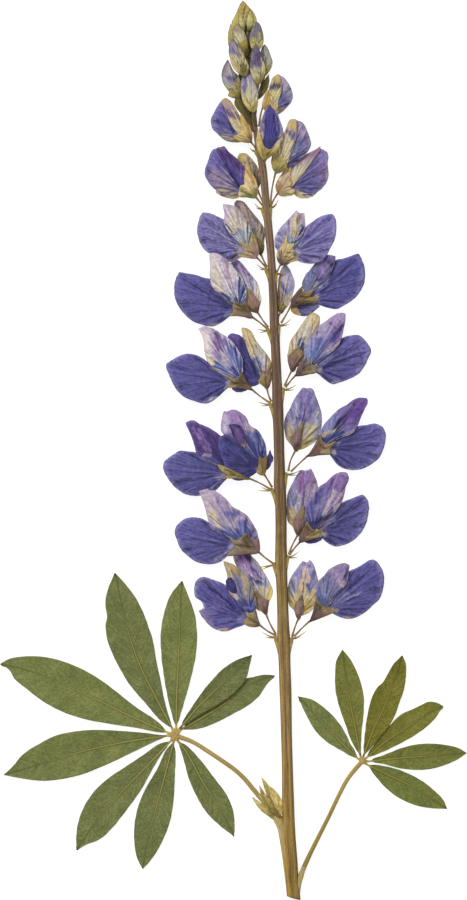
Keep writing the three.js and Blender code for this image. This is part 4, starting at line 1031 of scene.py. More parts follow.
flower("right_1a", [(13.5, -35.5), (12.9, -37), (12.2, -39.2)],
    petal("banner", 0, ("e7cc88", "c6ba9a", "a59cc4"), [
        (13.6, -35.1), (12.6, -33.8), (11.6, -32.7), (11.3, -31.1), (11.3, -29.2), (11.7, -27.4),
        (12.6, -25.8), (13.7, -24.3), (14.5, -23.3, 1), (15.3, -23.7), (16, -23.1, 1), (16.7, -24),
        (17.1, -25.2), (17.5, -26.6), (17.8, -28), (17.8, -29.8), (17.5, -31.7), (16.9, -33.2),
        (15.2, -34.6)], [
        (12.4, -29, 13.6, -25.8, 0.8, "8182b7", 0.9), (16.6, -28.8, 16.5, -26, 0.75, "817eb4", 0.9),
        (14.9, -25, 14.4, -29.6, 0.4, "ebc89c", 0.9), (15.5, -24.8, 15.7, -28.2, 0.22, "d4b18d", 0.85),
        (15.25, -24.2, 14.4, -30.4, 0.12, "4e311e", 0.9), (13, -27, 13.4, -29.4, 0.25, "cabcc4", 0.8),
        (15.6, -28.6, 15.9, -30.2, 0.45, "41468b", 0.85), (12, -31.4, 12.8, -33.4, 0.8, "d4b666", 0.9),
        (16.6, -30.6, 16.2, -33, 0.8, "e3c986", 0.9), (14.5, -23.8, 16, -24.2, 0.45, "6c5e80", 0.85),
        (15.2, -32, 15.2, -33.8, 0.5, "d1b054", 0.8), (12, -29.6, 12.4, -31, 0.25, "7979aa", 0.7)],
        edge="a699aa", streaks=1.0, claw=0.45, width=7, folds=[((15.25, -24), (14.4, -31), -0.3, 0.25)]),
    calyx(0.6, ROSY_CALYX, [
        (13.5, -35.9), (13, -34.8), (12.7, -33.6), (12.8, -32.3, 1), (13.4, -31.6), (14.2, -30.2, 1),
        (14.5, -31.8), (14.5, -33.4), (14.1, -34.8), (13.8, -35.7)], [
        (13.4, -34.6, 13.6, -32.6, 0.3, "a08680", 0.7), (14, -31.6, 14.2, -30.6, 0.2, "51403a", 0.8)],
        edge="8d7464"))
flower("right_1b", [(15.9, -35.9), (14.4, -37.3), (12.6, -39.2)],
    petal("wings", 0, ("7c78ac", "5e5a94", "56528c"), [
        (19.6, -33.8), (19.9, -32.4), (20.8, -31.3), (22.5, -29.5), (24, -27.1), (24.2, -25.5),
        (25.5, -24.9), (27.1, -24), (28.3, -23.2), (29.2, -23), (30.2, -23.7), (30.9, -24.8), (31.5, -26.3),
        (31.5, -28), (31.2, -29.8), (30.5, -31.4), (29.2, -32.6), (28, -33.8), (26.8, -34.6), (25.2, -35.4),
        (23.7, -35.5), (22.2, -35.1), (20.9, -34.4)], [
        (21.4, -33, 27, -26.4, 0.24, "35336a", 0.85), (21.6, -33.3, 29.6, -28.6, 0.2, NAVY, 0.75),
        (22, -33.8, 28.4, -32.2, 0.16, DEEP, 0.6), (20.2, -33.7, 21.2, -33.9, 0.4, "c0aa74", 0.9),
        (21.6, -32.4, 23.6, -30.2, 0.5, "8583b0", 0.75), (24.6, -26, 28.6, -24, 0.5, "4b4883", 0.5),
        (24.2, -26.4, 24.4, -29, 0.3, "3e3a70", 0.7), (30.9, -26, 30.4, -30.4, 0.4, "736da8", 0.5),
        (23.6, -31.6, 26.6, -29.8, 0.14, "9a8fb8", 0.8), (23, -35.1, 25.6, -35.2, 0.16, "b59c9a", 0.8),
        (27, -30, 29.6, -32, 0.8, "69649e", 0.5)], edge="8b84b2", claw=0.22,
        folds=[((21.4, -33), (27, -26), -0.22, 0.3), ((22, -33.6), (30, -29), 0.15, 0.5)]),
    petal("banner", 0.4, ("50587f", "7a789f", "87789c"), [
        (18.5, -33.6), (17.3, -31.4), (17.3, -29.4), (17.8, -27.4), (18.8, -26.5), (19.8, -25.2),
        (20.9, -24.5), (22.2, -23.9), (23.5, -23.8), (24.3, -24.3, 1), (24.1, -25.4), (24, -26.9),
        (23.5, -28.3), (22.3, -29.7), (20.9, -31.4), (19.8, -33)], [
        (20.8, -25.6, 22.6, -27.8, 0.8, "a48eae", 0.9), (23.8, -24.6, 23.6, -27.4, 0.32, "4a3f74", 0.9),
        (18.2, -27.8, 19.6, -26.2, 0.4, "66648f", 0.7), (18.8, -28.6, 19.4, -30.6, 0.5, "8d95b6", 0.75),
        (20.4, -31.4, 22.6, -29.2, 0.22, "3b3a62", 0.85), (19.4, -32.9, 22.6, -29.7, 0.1, "9a8748", 0.9),
        (22.4, -28, 23.2, -28.6, 0.25, "cbb6a8", 0.8), (22.6, -24.1, 23.8, -24.3, 0.2, "9a8458", 0.85),
        (17.7, -29.4, 18.4, -32, 0.5, "5d6690", 0.7), (20.2, -26.4, 19.4, -30, 0.12, "5a5480", 0.8)],
        edge="9b8fae", streaks=0.7),
    calyx(0.75, ("4f3d39", "634f49", "7b6a50"), [
        (15.7, -36.2), (16.5, -34.8), (17, -33.4), (17.2, -31, 1), (18.1, -32.2), (19, -32.9),
        (20.1, -33.1), (21.2, -34, 1), (20.2, -34.4), (18.6, -35), (17.2, -35.6)], [
        (16.4, -35.6, 17.2, -32.6, 0.45, "604849", 0.85), (17.4, -32, 18.4, -33.8, 0.2, LOBE_SHADE, 0.8),
        (19, -33.8, 20.6, -34, 0.45, "968359", 0.9), (17.2, -35, 18.4, -34.4, 0.3, "7d6354", 0.7)]))
flower("left_2", [(5, -21.3), (6.5, -22.6), (8.4, -24)],
    petal("wings", 0, ("8b86b2", "5b5791", "5f5b95"), [
        (0.9, -20.4), (-0.4, -19.1), (-2.5, -17.2), (-4, -16.4), (-5.7, -15), (-6.8, -14.4), (-8.6, -14.2),
        (-10.2, -14.4), (-11.4, -15.2), (-12.2, -16.2), (-12.5, -17.3), (-12.2, -18.4), (-11.7, -19.8),
        (-10.9, -21.2), (-9.8, -22.2), (-8.5, -23.2), (-6.8, -23.9), (-4.6, -24), (-2.8, -23.5),
        (-1.7, -22.5), (-0.3, -21.4)], [
        (-3.8, -23.3, -2, -22.6, 0.5, "a097b8", 0.75), (-5.8, -15.4, -10, -14.8, 0.4, "4f4b86", 0.5),
        (-1.4, -19.4, -10.2, -16, 0.18, DEEP, 0.75), (-1.4, -20, -11, -18.6, 0.18, "3c396f", 0.75),
        (-1.4, -20.6, -8.6, -22.2, 0.18, DEEP, 0.7), (-1.2, -18.9, -6.4, -15.2, 0.22, NAVY, 0.6),
        (-1.4, -21.6, -0.2, -20.2, 0.45, "b2abc6", 0.85), (-2.6, -17.6, -5.4, -15.8, 0.14, "8f86b8", 0.8),
        (-0.8, -22.2, -0.2, -20.8, 0.12, "93843e", 0.85), (-9.8, -17, -6, -18.8, 1.2, "655fa0", 0.4)],
        edge="8a83b2", claw=0.2),
    petal("banner", 0.4, ("4a548c", "9d90b0", "b3a2b6"), [
        (2.6, -20.3), (0.3, -19.5), (-1.5, -18.1), (-3.4, -16.7), (-4.5, -16.2), (-5.4, -15), (-5.7, -13.8),
        (-6.2, -11.9), (-6.8, -10.1), (-7.4, -8.7, 1), (-5.8, -8.2), (-4.2, -8.5), (-2.8, -9.3),
        (-1.5, -10.5), (-0.3, -11.9), (1.2, -12.7), (2.8, -13.9), (4, -15.6), (4.9, -17.2), (5.1, -18.6),
        (4.8, -20.2)], [
        (-6.1, -9.8, -4.8, -13, 0.9, "c6b4be", 0.85), (-4.9, -13.2, -3.2, -16.2, 0.7, "d0c1a6", 0.9),
        (-3.4, -10.2, -1.4, -12.4, 0.7, "a08cb0", 0.8), (-0.9, -11.3, -0.4, -12, 0.2, "d6c8b0", 0.9),
        (0.6, -13, 4.3, -17.8, 0.85, "64588f", 0.92), (-1.6, -13.4, 0.2, -13.6, 0.45, "5d629c", 0.85),
        (0.4, -14.6, 1.9, -14.2, 0.45, "bba4b8", 0.85), (-2.4, -15.2, 0.2, -16, 0.5, "c3bac4", 0.7),
        (-3.2, -16.9, 0.6, -18.2, 0.8, "46518a", 0.92), (1.4, -15.4, 1.6, -18.6, 0.6, "5262a0", 0.9),
        (2.2, -14.4, 4.2, -18, 0.1, "a99fc6", 0.8), (3.2, -15.4, 4.7, -18, 0.1, "a99fc6", 0.8),
        (-6.9, -9, -5.4, -8.6, 0.4, "866c94", 0.7), (-3.8, -10.4, -2, -14, 0.13, "7b5f90", 0.7),
        (-3.6, -16.6, -0.2, -19.2, 0.12, "a08f52", 0.85)], edge="b7a8ba", streaks=0.9, claw=0.35,
        folds=[((0.4, -13), (1.4, -18), -0.3, 0.5)]),
    calyx(0.85, ("715c57", "6b594c", "887763"), [
        (5.3, -21.6), (5.4, -20.2), (5.1, -18.3, 1), (4.1, -18.9), (3.4, -18.4), (2.5, -17.3, 1),
        (1.7, -18.1), (0.4, -19), (-0.9, -18.5, 1), (-0.3, -19.6), (0.3, -20.2), (-0.9, -21.5),
        (-1.5, -22.3, 1), (0.4, -21.2), (1.6, -21.5), (3.2, -21.9), (4.6, -21.8)], [
        (4.9, -20.8, 4.7, -18.8, 0.45, "896772", 0.9), (4, -20.8, 3.7, -19, 0.35, "77595a", 0.8),
        (2.2, -18.4, 2.7, -19.6, 0.5, "514523", 0.85), (0.4, -20.6, 4.4, -21.4, 0.35, "927d5e", 0.9),
        (0.4, -19.9, 4.2, -20.4, 0.14, "3d301f", 0.85), (-0.4, -18.9, 1.2, -19.4, 0.2, "9a8667", 0.85),
        (-1.2, -22, 0.2, -20.9, 0.2, "9a8667", 0.85)]))
flower("right_2a", [(13.4, -17.9), (12.4, -19.7), (11.5, -21.9)],
    petal("banner", 0, ("dfc77c", "a39cb4", "8f76a7"), [
        (13.4, -17.2), (12.2, -16.1), (11.3, -15.1), (11.1, -13.8), (11.1, -11.6), (11.2, -9.5), (12, -7.6),
        (13.1, -5.5), (14, -4.1, 1), (15, -4.4), (16.2, -3.9, 1), (16.9, -5.2), (17.5, -7), (17.9, -9.8),
        (17.4, -13), (15.8, -15.9)], [
        (14.6, -5, 14.4, -8.4, 0.7, "8b6396", 0.9), (16, -5.4, 16.2, -8, 0.5, "8f6d99", 0.85),
        (12.2, -8.6, 12, -12.6, 0.6, "9491b4", 0.85), (13.4, -8.6, 13, -12.4, 0.22, "d0c4c0", 0.8),
        (14.8, -5, 14.5, -12.2, 0.14, PLUM, 0.8), (15.6, -8.4, 15.8, -11.4, 0.5, "b1a1b4", 0.8),
        (11.9, -13, 12.4, -15.6, 0.7, "d2b66d", 0.9), (15, -4.3, 15.2, -5.2, 0.35, "34275e", 0.85),
        (12.6, -11.6, 13.3, -9, 0.16, "5f5e96", 0.8), (16.8, -7.6, 17, -9.6, 0.3, "d6c7be", 0.7)],
        edge="a091ac", streaks=1.0, claw=0.38, width=7, folds=[((15, -4.5), (14.4, -12), -0.25, 0.25)]),
    calyx(0.6, ROSY_CALYX, [
        (13.3, -18.3), (12.8, -17.2), (12.4, -15.9), (12.5, -14.7), (13.2, -13.6), (14.6, -11.5, 1),
        (15, -13), (14.9, -15), (14.5, -16.9), (13.9, -18.1)], [
        (13.4, -16.8, 13.4, -14.4, 0.35, "8d716c", 0.7), (14.7, -12.2, 14.7, -15.6, 0.16, "8f8244", 0.9),
        (13.4, -17.8, 13.8, -16.6, 0.3, "54403a", 0.7)], edge="84705a"))
flower("right_2b", [(13.9, -19.3), (12.8, -20.5), (11.6, -22.1)],
    petal("keel", 0, ("5a5590", "56508a", "6c6498"), [
        (14.2, -18.8), (15.6, -17.8), (18.2, -18), (18.5, -18.6), (17.2, -19.5), (15.4, -19.6)], [
        (14.8, -19, 17.4, -19, 0.2, "3d3a6e", 0.6)]),
    petal("wings", 0.1, ("807bac", "524e86", "5c5790"), [
        (17.3, -17.2), (18, -16), (19.2, -15), (20.9, -13.2), (22.6, -11.1), (24.3, -10.4), (25.8, -9.8),
        (27.1, -9.4), (27.8, -10.1), (28.3, -11.3), (28.2, -13.5), (27.8, -15.3), (27.1, -16.8),
        (25.8, -18.4), (24.3, -19.5), (22.8, -20.1), (21.4, -20.3), (20.2, -19.9), (19, -19),
        (18.2, -18.2)], [
        (19.6, -16.4, 27, -10.4, 0.26, "312f60", 0.85), (27.8, -13.8, 25.4, -18.6, 0.5, "857eb0", 0.75),
        (18, -17.2, 19, -17.6, 0.4, "cdc0ae", 0.9), (19.8, -17.4, 26.6, -16, 0.18, NAVY, 0.55),
        (19.8, -17, 27.2, -13, 0.22, NAVY, 0.7), (19.4, -18, 22.8, -19.4, 0.18, DEEP, 0.6),
        (20.8, -13.8, 23, -11.4, 0.35, "3f3b74", 0.7), (19.2, -15.6, 21, -14.6, 0.5, "8b8ab2", 0.75),
        (22, -18.6, 25, -17.6, 0.9, "69639f", 0.5), (20.2, -20, 23, -20.1, 0.16, "a49a9c", 0.75)],
        edge="8a83b2", claw=0.2, folds=[((19.6, -16.4), (27, -10.4), -0.25, 0.3)]),
    petal("banner", 0.45, ("313364", "70679a", "7f669a"), [
        (16.3, -17.4), (15.4, -16.4), (14.9, -15.2), (14.9, -13.5), (15.1, -11.6), (16.3, -9.8),
        (17.8, -7.8), (19.4, -6.7), (20.9, -5.3), (22.3, -4.7), (23.7, -4.9), (24.1, -5.8), (23.5, -7.6),
        (23.1, -9.5), (22.6, -11), (21.4, -12.9), (19.8, -14.8), (18, -16.3)], [
        (15.8, -12.4, 17.4, -9.6, 0.8, "59568f", 0.9), (16.8, -11.4, 18.4, -8.2, 0.3, "413e7b", 0.85),
        (19, -13, 21, -8.8, 0.5, "ccbcc7", 0.92), (21, -11.8, 22.4, -8.8, 0.4, "bea9ba", 0.8),
        (21.6, -6, 22.8, -8.4, 0.75, "86679a", 0.85), (16.2, -15.6, 20.6, -13.8, 0.5, "2b2e5a", 0.92),
        (17.4, -12.4, 18.8, -10, 0.35, "908cae", 0.75), (20.9, -5.8, 20.2, -9.8, 0.16, "533971", 0.85),
        (22.6, -5.4, 23.6, -6, 0.35, "644b85", 0.75), (16.4, -17.2, 21.6, -13.1, 0.12, "8f7948", 0.9),
        (21.2, -12.6, 22.2, -11.6, 0.25, "c8b39c", 0.85), (19.4, -7.2, 18.2, -9.6, 0.3, "756ba0", 0.7)],
        edge="9b8aaa", streaks=0.9, claw=0.35, folds=[((17, -15), (21.5, -7), 0.3, 0.4)]),
    calyx(0.85, ("5a443e", "7a6148", "98845a"), [
        (13.6, -19.6), (13.7, -18.2), (14.5, -16.9), (15.4, -14.9, 1), (16, -16.1), (16.9, -16.9),
        (18.9, -16.3, 1), (18, -17.3), (18.6, -18.2, 1), (17.2, -18.3), (15.8, -18.5), (14.9, -19.2)], [
        (14.2, -19, 14.9, -16.6, 0.45, "6d5352", 0.85), (15.2, -18.4, 18.2, -17.8, 0.25, "a38f60", 0.9),
        (15.6, -16.4, 16.6, -17.2, 0.25, LOBE_SHADE, 0.8), (16.4, -17.4, 18.4, -16.8, 0.2, "8e7c44", 0.8)]))
flower("left_3a", [(3.2, -6), (5.2, -6.9), (7.9, -8.4)],
    petal("banner", 0, ("333664", "523c7a", "4d3c75"), [
        (-0.9, -4.6), (-2.5, -3.8), (-4.6, -2.9), (-6.8, -2), (-7.9, -0.8), (-8.3, 0.8), (-8.9, 2.6),
        (-9.7, 4.5), (-10.3, 5.7, 1), (-8.6, 6.2), (-7.1, 5.4), (-5.2, 4.6), (-3.1, 3.2), (-1.2, 1),
        (-0.4, -2)], [
        (-8.8, 4.8, -5.6, 0, 0.34, "a584b7", 0.9), (-7.4, 4.4, -4.8, 0, 0.22, "886aa5", 0.85),
        # The dark plum streak first on the line below is painted shade along a fold in the banner
        (-5.2, 4, -3.2, 0.2, 0.45, "3d3163", 0.9), (-5.8, -1.8, -2.6, -3.6, 0.6, "4b568d", 0.85),
        (-9.8, 5.6, -8.2, 5.8, 0.35, "523c70", 0.8), (-8, 3.6, -5.2, -0.6, 0.13, "463675", 0.8),
        (-4, 0.4, -2, -2.4, 0.5, "3e3875", 0.7), (-6.6, -1.4, -5, -1, 0.3, "b2a2af", 0.7),
        (-6.8, 5, -3.8, 3.4, 0.3, "584385", 0.8)], edge="816fa0", streaks=0.8),
    petal("wings", 0.35, ("8782ae", "545089", "59558f"), [
        (-0.6, -5.3), (-2.2, -3.9), (-4.6, -2.6), (-6.8, -1.4), (-8.2, -0.5), (-9.8, -0.3), (-11.4, -0.2),
        (-12.9, -1.1), (-14.2, -2), (-14.9, -3.2), (-14.6, -4.8), (-13.7, -6.3), (-12.3, -7.9),
        (-10.2, -9.3), (-7.5, -9.7), (-5.4, -9.2), (-3.8, -8.5), (-2.8, -7.3), (-1.8, -6)], [
        (-2.6, -4.8, -13.5, -2.6, 0.18, DEEP, 0.75), (-2.6, -5.4, -12.6, -6.6, 0.18, "3c396f", 0.7),
        (-2.4, -6, -9.2, -8.6, 0.17, DEEP, 0.65), (-3.4, -3.8, -9, -1, 0.2, NAVY, 0.6),
        (-2.2, -5.4, -3.4, -5.8, 0.5, "9b95ba", 0.75), (-3.4, -3.2, -6.6, -1.6, 0.12, "a08f56", 0.8),
        (-11.6, -3, -8, -4.6, 1.3, "625d9a", 0.45), (-3, -7, -4.6, -8.2, 0.4, "9088b0", 0.5)],
        edge="8a84b4", claw=0.18),
    calyx(0.75, OLIVE_CALYX, [
        (3.6, -6.2), (1.8, -5), (-0.6, -4.2), (-1.8, -3.6), (-3.6, -3, 1), (-2.9, -4.2), (-2.1, -4.9),
        (-1.4, -5.2), (-2.7, -6.1, 1), (-1, -5.8), (1.2, -6.1), (2.8, -6.3)], [
        (-3, -3.6, -1.2, -4.6, 0.35, "a89264", 0.9), (-2, -5.9, 0, -5.6, 0.25, "a08c5e", 0.9),
        (-1.8, -4.4, 0, -5, 0.15, LOBE_SHADE, 0.8)]))
flower("left_3b", [(6.3, -5.1), (7, -6.2), (8, -7.9)],
    petal("banner", 0, ("3f4379", "7572a2", "9b82ac"), [
        (6, -3.6), (4.8, -2.2), (2.2, 0.4), (-0.8, 2.6), (-2.5, 3.6), (-2.8, 5.1), (-2.5, 6.9),
        (-2.2, 8.2, 1), (-1.5, 8), (-0.3, 8.5), (1.2, 8), (2.5, 6.9), (3.4, 5.1), (4.3, 4.6), (4.9, 4.2),
        (6, 2.6), (6.6, 1.1), (6.8, -0.2), (6.8, -2.2)], [
        (-2, 7.2, -1.8, 4.2, 0.75, "cabed6", 0.92), (-0.6, 7.4, 1.2, 6.4, 0.7, "9a78ac", 0.9),
        (2.2, 6.6, 2.8, 4.8, 0.5, "b9a8c2", 0.85), (3.4, 5, 4, 4, 0.42, "c8aca4", 0.92),
        (4.8, 3, 6.2, -0.6, 1.1, "454d86", 0.92), (3, 2.6, 4.6, -0.6, 0.7, "3c427a", 0.9),
        (-2.2, 8.2, -1.2, 7.9, 0.3, "45356a", 0.9), (3.6, 3.4, 4.2, 2.2, 0.35, "8d8cb4", 0.75),
        (5.6, 2.6, 6.4, 0.2, 0.14, "8d90bc", 0.8), (4.9, 2.2, 5.6, -0.2, 0.12, "7f86b6", 0.8),
        (0.2, 8, 1.6, 5.8, 0.13, "6a4d84", 0.8), (1.8, 6.2, 2.6, 3.6, 0.13, "7a6494", 0.7)], edge="9c8cb0",
        streaks=0.9, claw=0.4),
    petal("keel", 0.5, ("a48878", "6f5288", "5a447c"), [
        (2.3, 0.4), (1, 1.2), (0.1, 2.2), (-0.5, 3.8), (-1.1, 5.2, 1), (0.2, 5.4), (1.3, 5), (2, 3.8),
        (2.5, 2)], [
        (-0.9, 5.1, 1.2, 5, 0.25, "2c2850", 0.95), (-0.8, 4.9, 0.6, 1.6, 0.2, "2c2850", 0.9),
        (1.4, 4.6, 2.2, 2.2, 0.22, "35305c", 0.9), (0.8, 4.2, 1.2, 2.4, 0.3, "7f609a", 0.7)], edge="2c2850",
        claw=0.3),
    petal("wings", 0.75, ("38356a", "3c3870", "47427e"), [
        (5.5, -4.2), (4.3, -5), (3.1, -5.8), (1.2, -6.5), (-0.3, -6.2), (-1.2, -4.8), (-2, -3.2),
        (-2.8, -0.8), (-3.4, 1.4), (-2.9, 2.8), (-1.7, 3.2), (-0.3, 2.6), (1.5, 0.8), (3.1, -0.8),
        (4.6, -2.3), (5.5, -3.4)], [
        # The two violet streaks first on the line below are painted highlights on the glossy dark wings
        (-0.2, 0.8, 2.8, -2.2, 0.2, "625ea0", 0.6), (-2, 1.4, -0.8, -2.6, 0.22, "55519a", 0.55),
        (0.2, -1.4, 3.4, -3.6, 0.18, "2c2956", 0.8), (-1.2, 2.2, 0.8, 0.6, 0.22, "312e5c", 0.6),
        (-1.8, 2.2, -0.6, -3.8, 0.18, "2c2956", 0.7), (-0.4, -4.8, 2.6, -5.4, 0.3, "35316a", 0.6),
        (4.6, -3.8, 5.2, -3.6, 0.35, "5d6c98", 0.7), (2.2, -0.4, 4.6, -2.6, 0.2, "2f3058", 0.8)],
        edge="5d5894", roughness=0.5, claw=0.3),
    petal("sliver", 0.3, ("4a4274", "564a80", "4e427a"), [
        (6.6, -4.4), (7, -2.8), (7.1, -1.3), (7.6, 0, 1), (7.9, -0.9), (8.3, -1.8), (7.9, -2.7),
        (7.4, -3.7)]),
    calyx(1, ("8f7c40", "84683c", "7a6238"), [
        (6.4, -5.4), (5.4, -5.2), (4.7, -4.7), (5.1, -3.4), (5.2, -1.3, 1), (6, -1.9), (6.9, -0.9, 1),
        (6.9, -2.4), (6.7, -4.2)], [
        (5.2, -4.8, 5.6, -3.2, 0.4, "a08c5e", 0.9), (6, -2, 5.9, -4.6, 0.13, LOBE_SHADE, 0.8),
        (6.6, -1.6, 6.5, -3.4, 0.25, "8a6a44", 0.8)]))
flower("right_3a", [(12.9, -0.2), (11.9, -2.2), (11.4, -4.5)],
    petal("banner", 0, ("bba25f", "938caf", "8880ad"), [
        (13, -0.1), (11.9, 1.1), (11, 2.3), (10.7, 3.6), (10.5, 5.1), (10.8, 6.9), (11.8, 8.8),
        (12.6, 10.6), (13.7, 12.2), (14.5, 13.2, 1), (15.2, 12.9), (16, 13.1, 1), (16.7, 12.6),
        (17.1, 11.5), (17.7, 10), (18.3, 8.2), (18.5, 6.3), (18.2, 3.8), (17.2, 1.8), (15.7, 0.8),
        (14.4, 0.1)], [
        (12.6, 9.6, 11.8, 6.2, 0.9, "8e8bb5", 0.85), (14.2, 12.2, 14.4, 8.6, 0.4, "7e70a5", 0.8),
        (15.1, 12.4, 14.6, 5.6, 0.22, "6b3674", 0.9), (15.8, 12.2, 16, 8, 0.5, "5e5292", 0.85),
        (16.8, 10, 17, 7, 0.6, "908ab3", 0.8), (13.6, 6.8, 15.4, 6, 0.6, "57558f", 0.85),
        (11.3, 2.4, 11.8, 4.8, 0.75, "c5b383", 0.92), (15.6, 1.2, 16.2, 4.6, 1, "ccbf8f", 0.92),
        (16.9, 5, 17.7, 8, 0.22, "c9c1af", 0.85), (14, 2, 14.8, 4.6, 0.5, "bbaa8d", 0.8),
        (14.2, 0.6, 15.4, 1.2, 0.5, "b39b4a", 0.85), (15, 12.9, 15.4, 12.2, 0.3, "392961", 0.9),
        (12.8, 10.4, 13.4, 7, 0.13, "c5bfd1", 0.8), (12.2, 5.2, 13, 7.6, 0.16, "b8b1b8", 0.75)],
        edge="9b8dad", streaks=1.0, claw=0.42, width=8, folds=[((15.1, 12.6), (14.4, 5), -0.28, 0.25)]),
    calyx(0.6, ("6a5148", "806360", "84704c"), [
        (12.8, -0.5), (12.3, 0.8), (11.9, 2.4), (12.3, 3.2), (13.4, 4.2), (14.8, 6.5, 1), (14.4, 4.6),
        (14.2, 2.6), (13.8, 1), (13.3, -0.4)], [
        (12.6, 1.4, 13.2, 3, 0.35, "8f7474", 0.7), (13.6, 4.4, 14.6, 6, 0.18, "8f8040", 0.9),
        (12.8, 0.2, 13.2, 1, 0.3, "54403a", 0.7)], edge="7c6656"))
flower("right_3b", [(15.5, -1.2), (13.9, -2.7), (11.9, -4.6)],
    petal("wings", 0, ("837eac", "504b82", "615b96"), [
        (19.2, 0.1), (20.2, 1.4), (21.8, 2.3), (24, 3.4), (26.2, 5), (27.7, 5.2), (29.2, 5.5), (30.8, 5.1),
        (31.7, 4), (31.9, 2.3), (31.5, 0.5), (30.5, -1.7), (28.6, -3.2), (26.2, -4.2), (23.7, -4.1),
        (21.8, -3.2), (20.6, -1.4), (19.8, -0.5)], [
        (31.4, 2.4, 28.8, -2.4, 0.45, "7f78b2", 0.75), (21.6, 0.6, 30, 4.2, 0.2, DEEP, 0.75),
        (21.8, 0, 30.6, 1, 0.2, "35336a", 0.7), (21.6, -0.8, 28.6, -2.6, 0.18, DEEP, 0.65),
        (20.4, -0.2, 21, -0.6, 0.4, "cfc8ce", 0.85), (22.2, -2.4, 25.6, -3.6, 0.3, "6f699f", 0.5),
        (23.4, 2.6, 28.4, 4.6, 0.35, "46427e", 0.7), (20.8, 1, 22.2, 1.4, 0.35, "8f92b6", 0.75),
        (24, -4, 26.4, -4.1, 0.15, "a89c9c", 0.8), (24, -1.6, 27, -1, 1, "5f5b98", 0.5)], edge="8a82b4",
        claw=0.18),
    petal("banner", 0.45, ("232a5e", "7776a4", "654a85"), [
        (18.3, 0.5), (18, 2.2), (18.2, 3.8), (18.8, 5.2), (20.2, 6.8), (21.7, 8.3), (23.7, 9.5),
        (25.2, 10.6), (26.6, 11), (28, 10.8, 1), (28.1, 10), (27.4, 8.5), (26.6, 6.8), (26, 5.1),
        (25.1, 3.6), (23.4, 2.9), (21.5, 2), (19.8, 1)], [
        (19.2, 4.4, 21.2, 6.6, 0.9, "8887b8", 0.88), (19, 3.1, 21.8, 4.7, 0.4, "c3b896", 0.92),
        (21.4, 4.6, 25.2, 8.8, 0.6, "322459", 0.95), (24.4, 6.2, 27, 10, 0.75, "684494", 0.92),
        (18.9, 1.9, 22.8, 3.6, 0.55, "293069", 0.92), (18.9, 0.9, 22.2, 2.3, 0.14, "8b7843", 0.92),
        (27.6, 10.6, 26, 10.9, 0.4, "4c3579", 0.85), (22.2, 7.6, 24.8, 9.6, 0.4, "8172ab", 0.8),
        (23.4, 3.1, 25, 3.7, 0.28, "c4aead", 0.9), (23.2, 4.4, 24.6, 6.2, 0.4, "876ca8", 0.8),
        (19.4, 5.8, 21.6, 8, 0.13, "bdbbd8", 0.8), (24.8, 9.6, 26.6, 8.4, 0.13, "3e2a62", 0.8)],
        edge="816b9f", streaks=0.9, claw=0.3, folds=[((20, 3), (25.6, 9.6), -0.35, 0.4)]),
    calyx(0.85, ("614b44", "725d54", "93805e"), [
        (15.2, -1.5), (16.4, -0.2), (17.3, 1.1), (18.1, 3.4, 1), (18.6, 1.8), (19.6, 1.2), (21.6, 1.9, 1),
        (20.5, 0.7), (20.1, 0.1), (20.5, -1, 1), (18.6, -0.9), (17, -1.3)], [
        (16, -1, 17.6, 0.4, 0.5, "775a54", 0.85), (18.6, -0.3, 20, -0.3, 0.4, "ab9562", 0.92),
        (18, 0.8, 18.8, 0.4, 0.2, LOBE_SHADE, 0.8), (19.2, 0.8, 21, 1.5, 0.2, "9f8b5c", 0.9),
        (17.8, 1.2, 18, 2.6, 0.25, "6d5a34", 0.8)]))
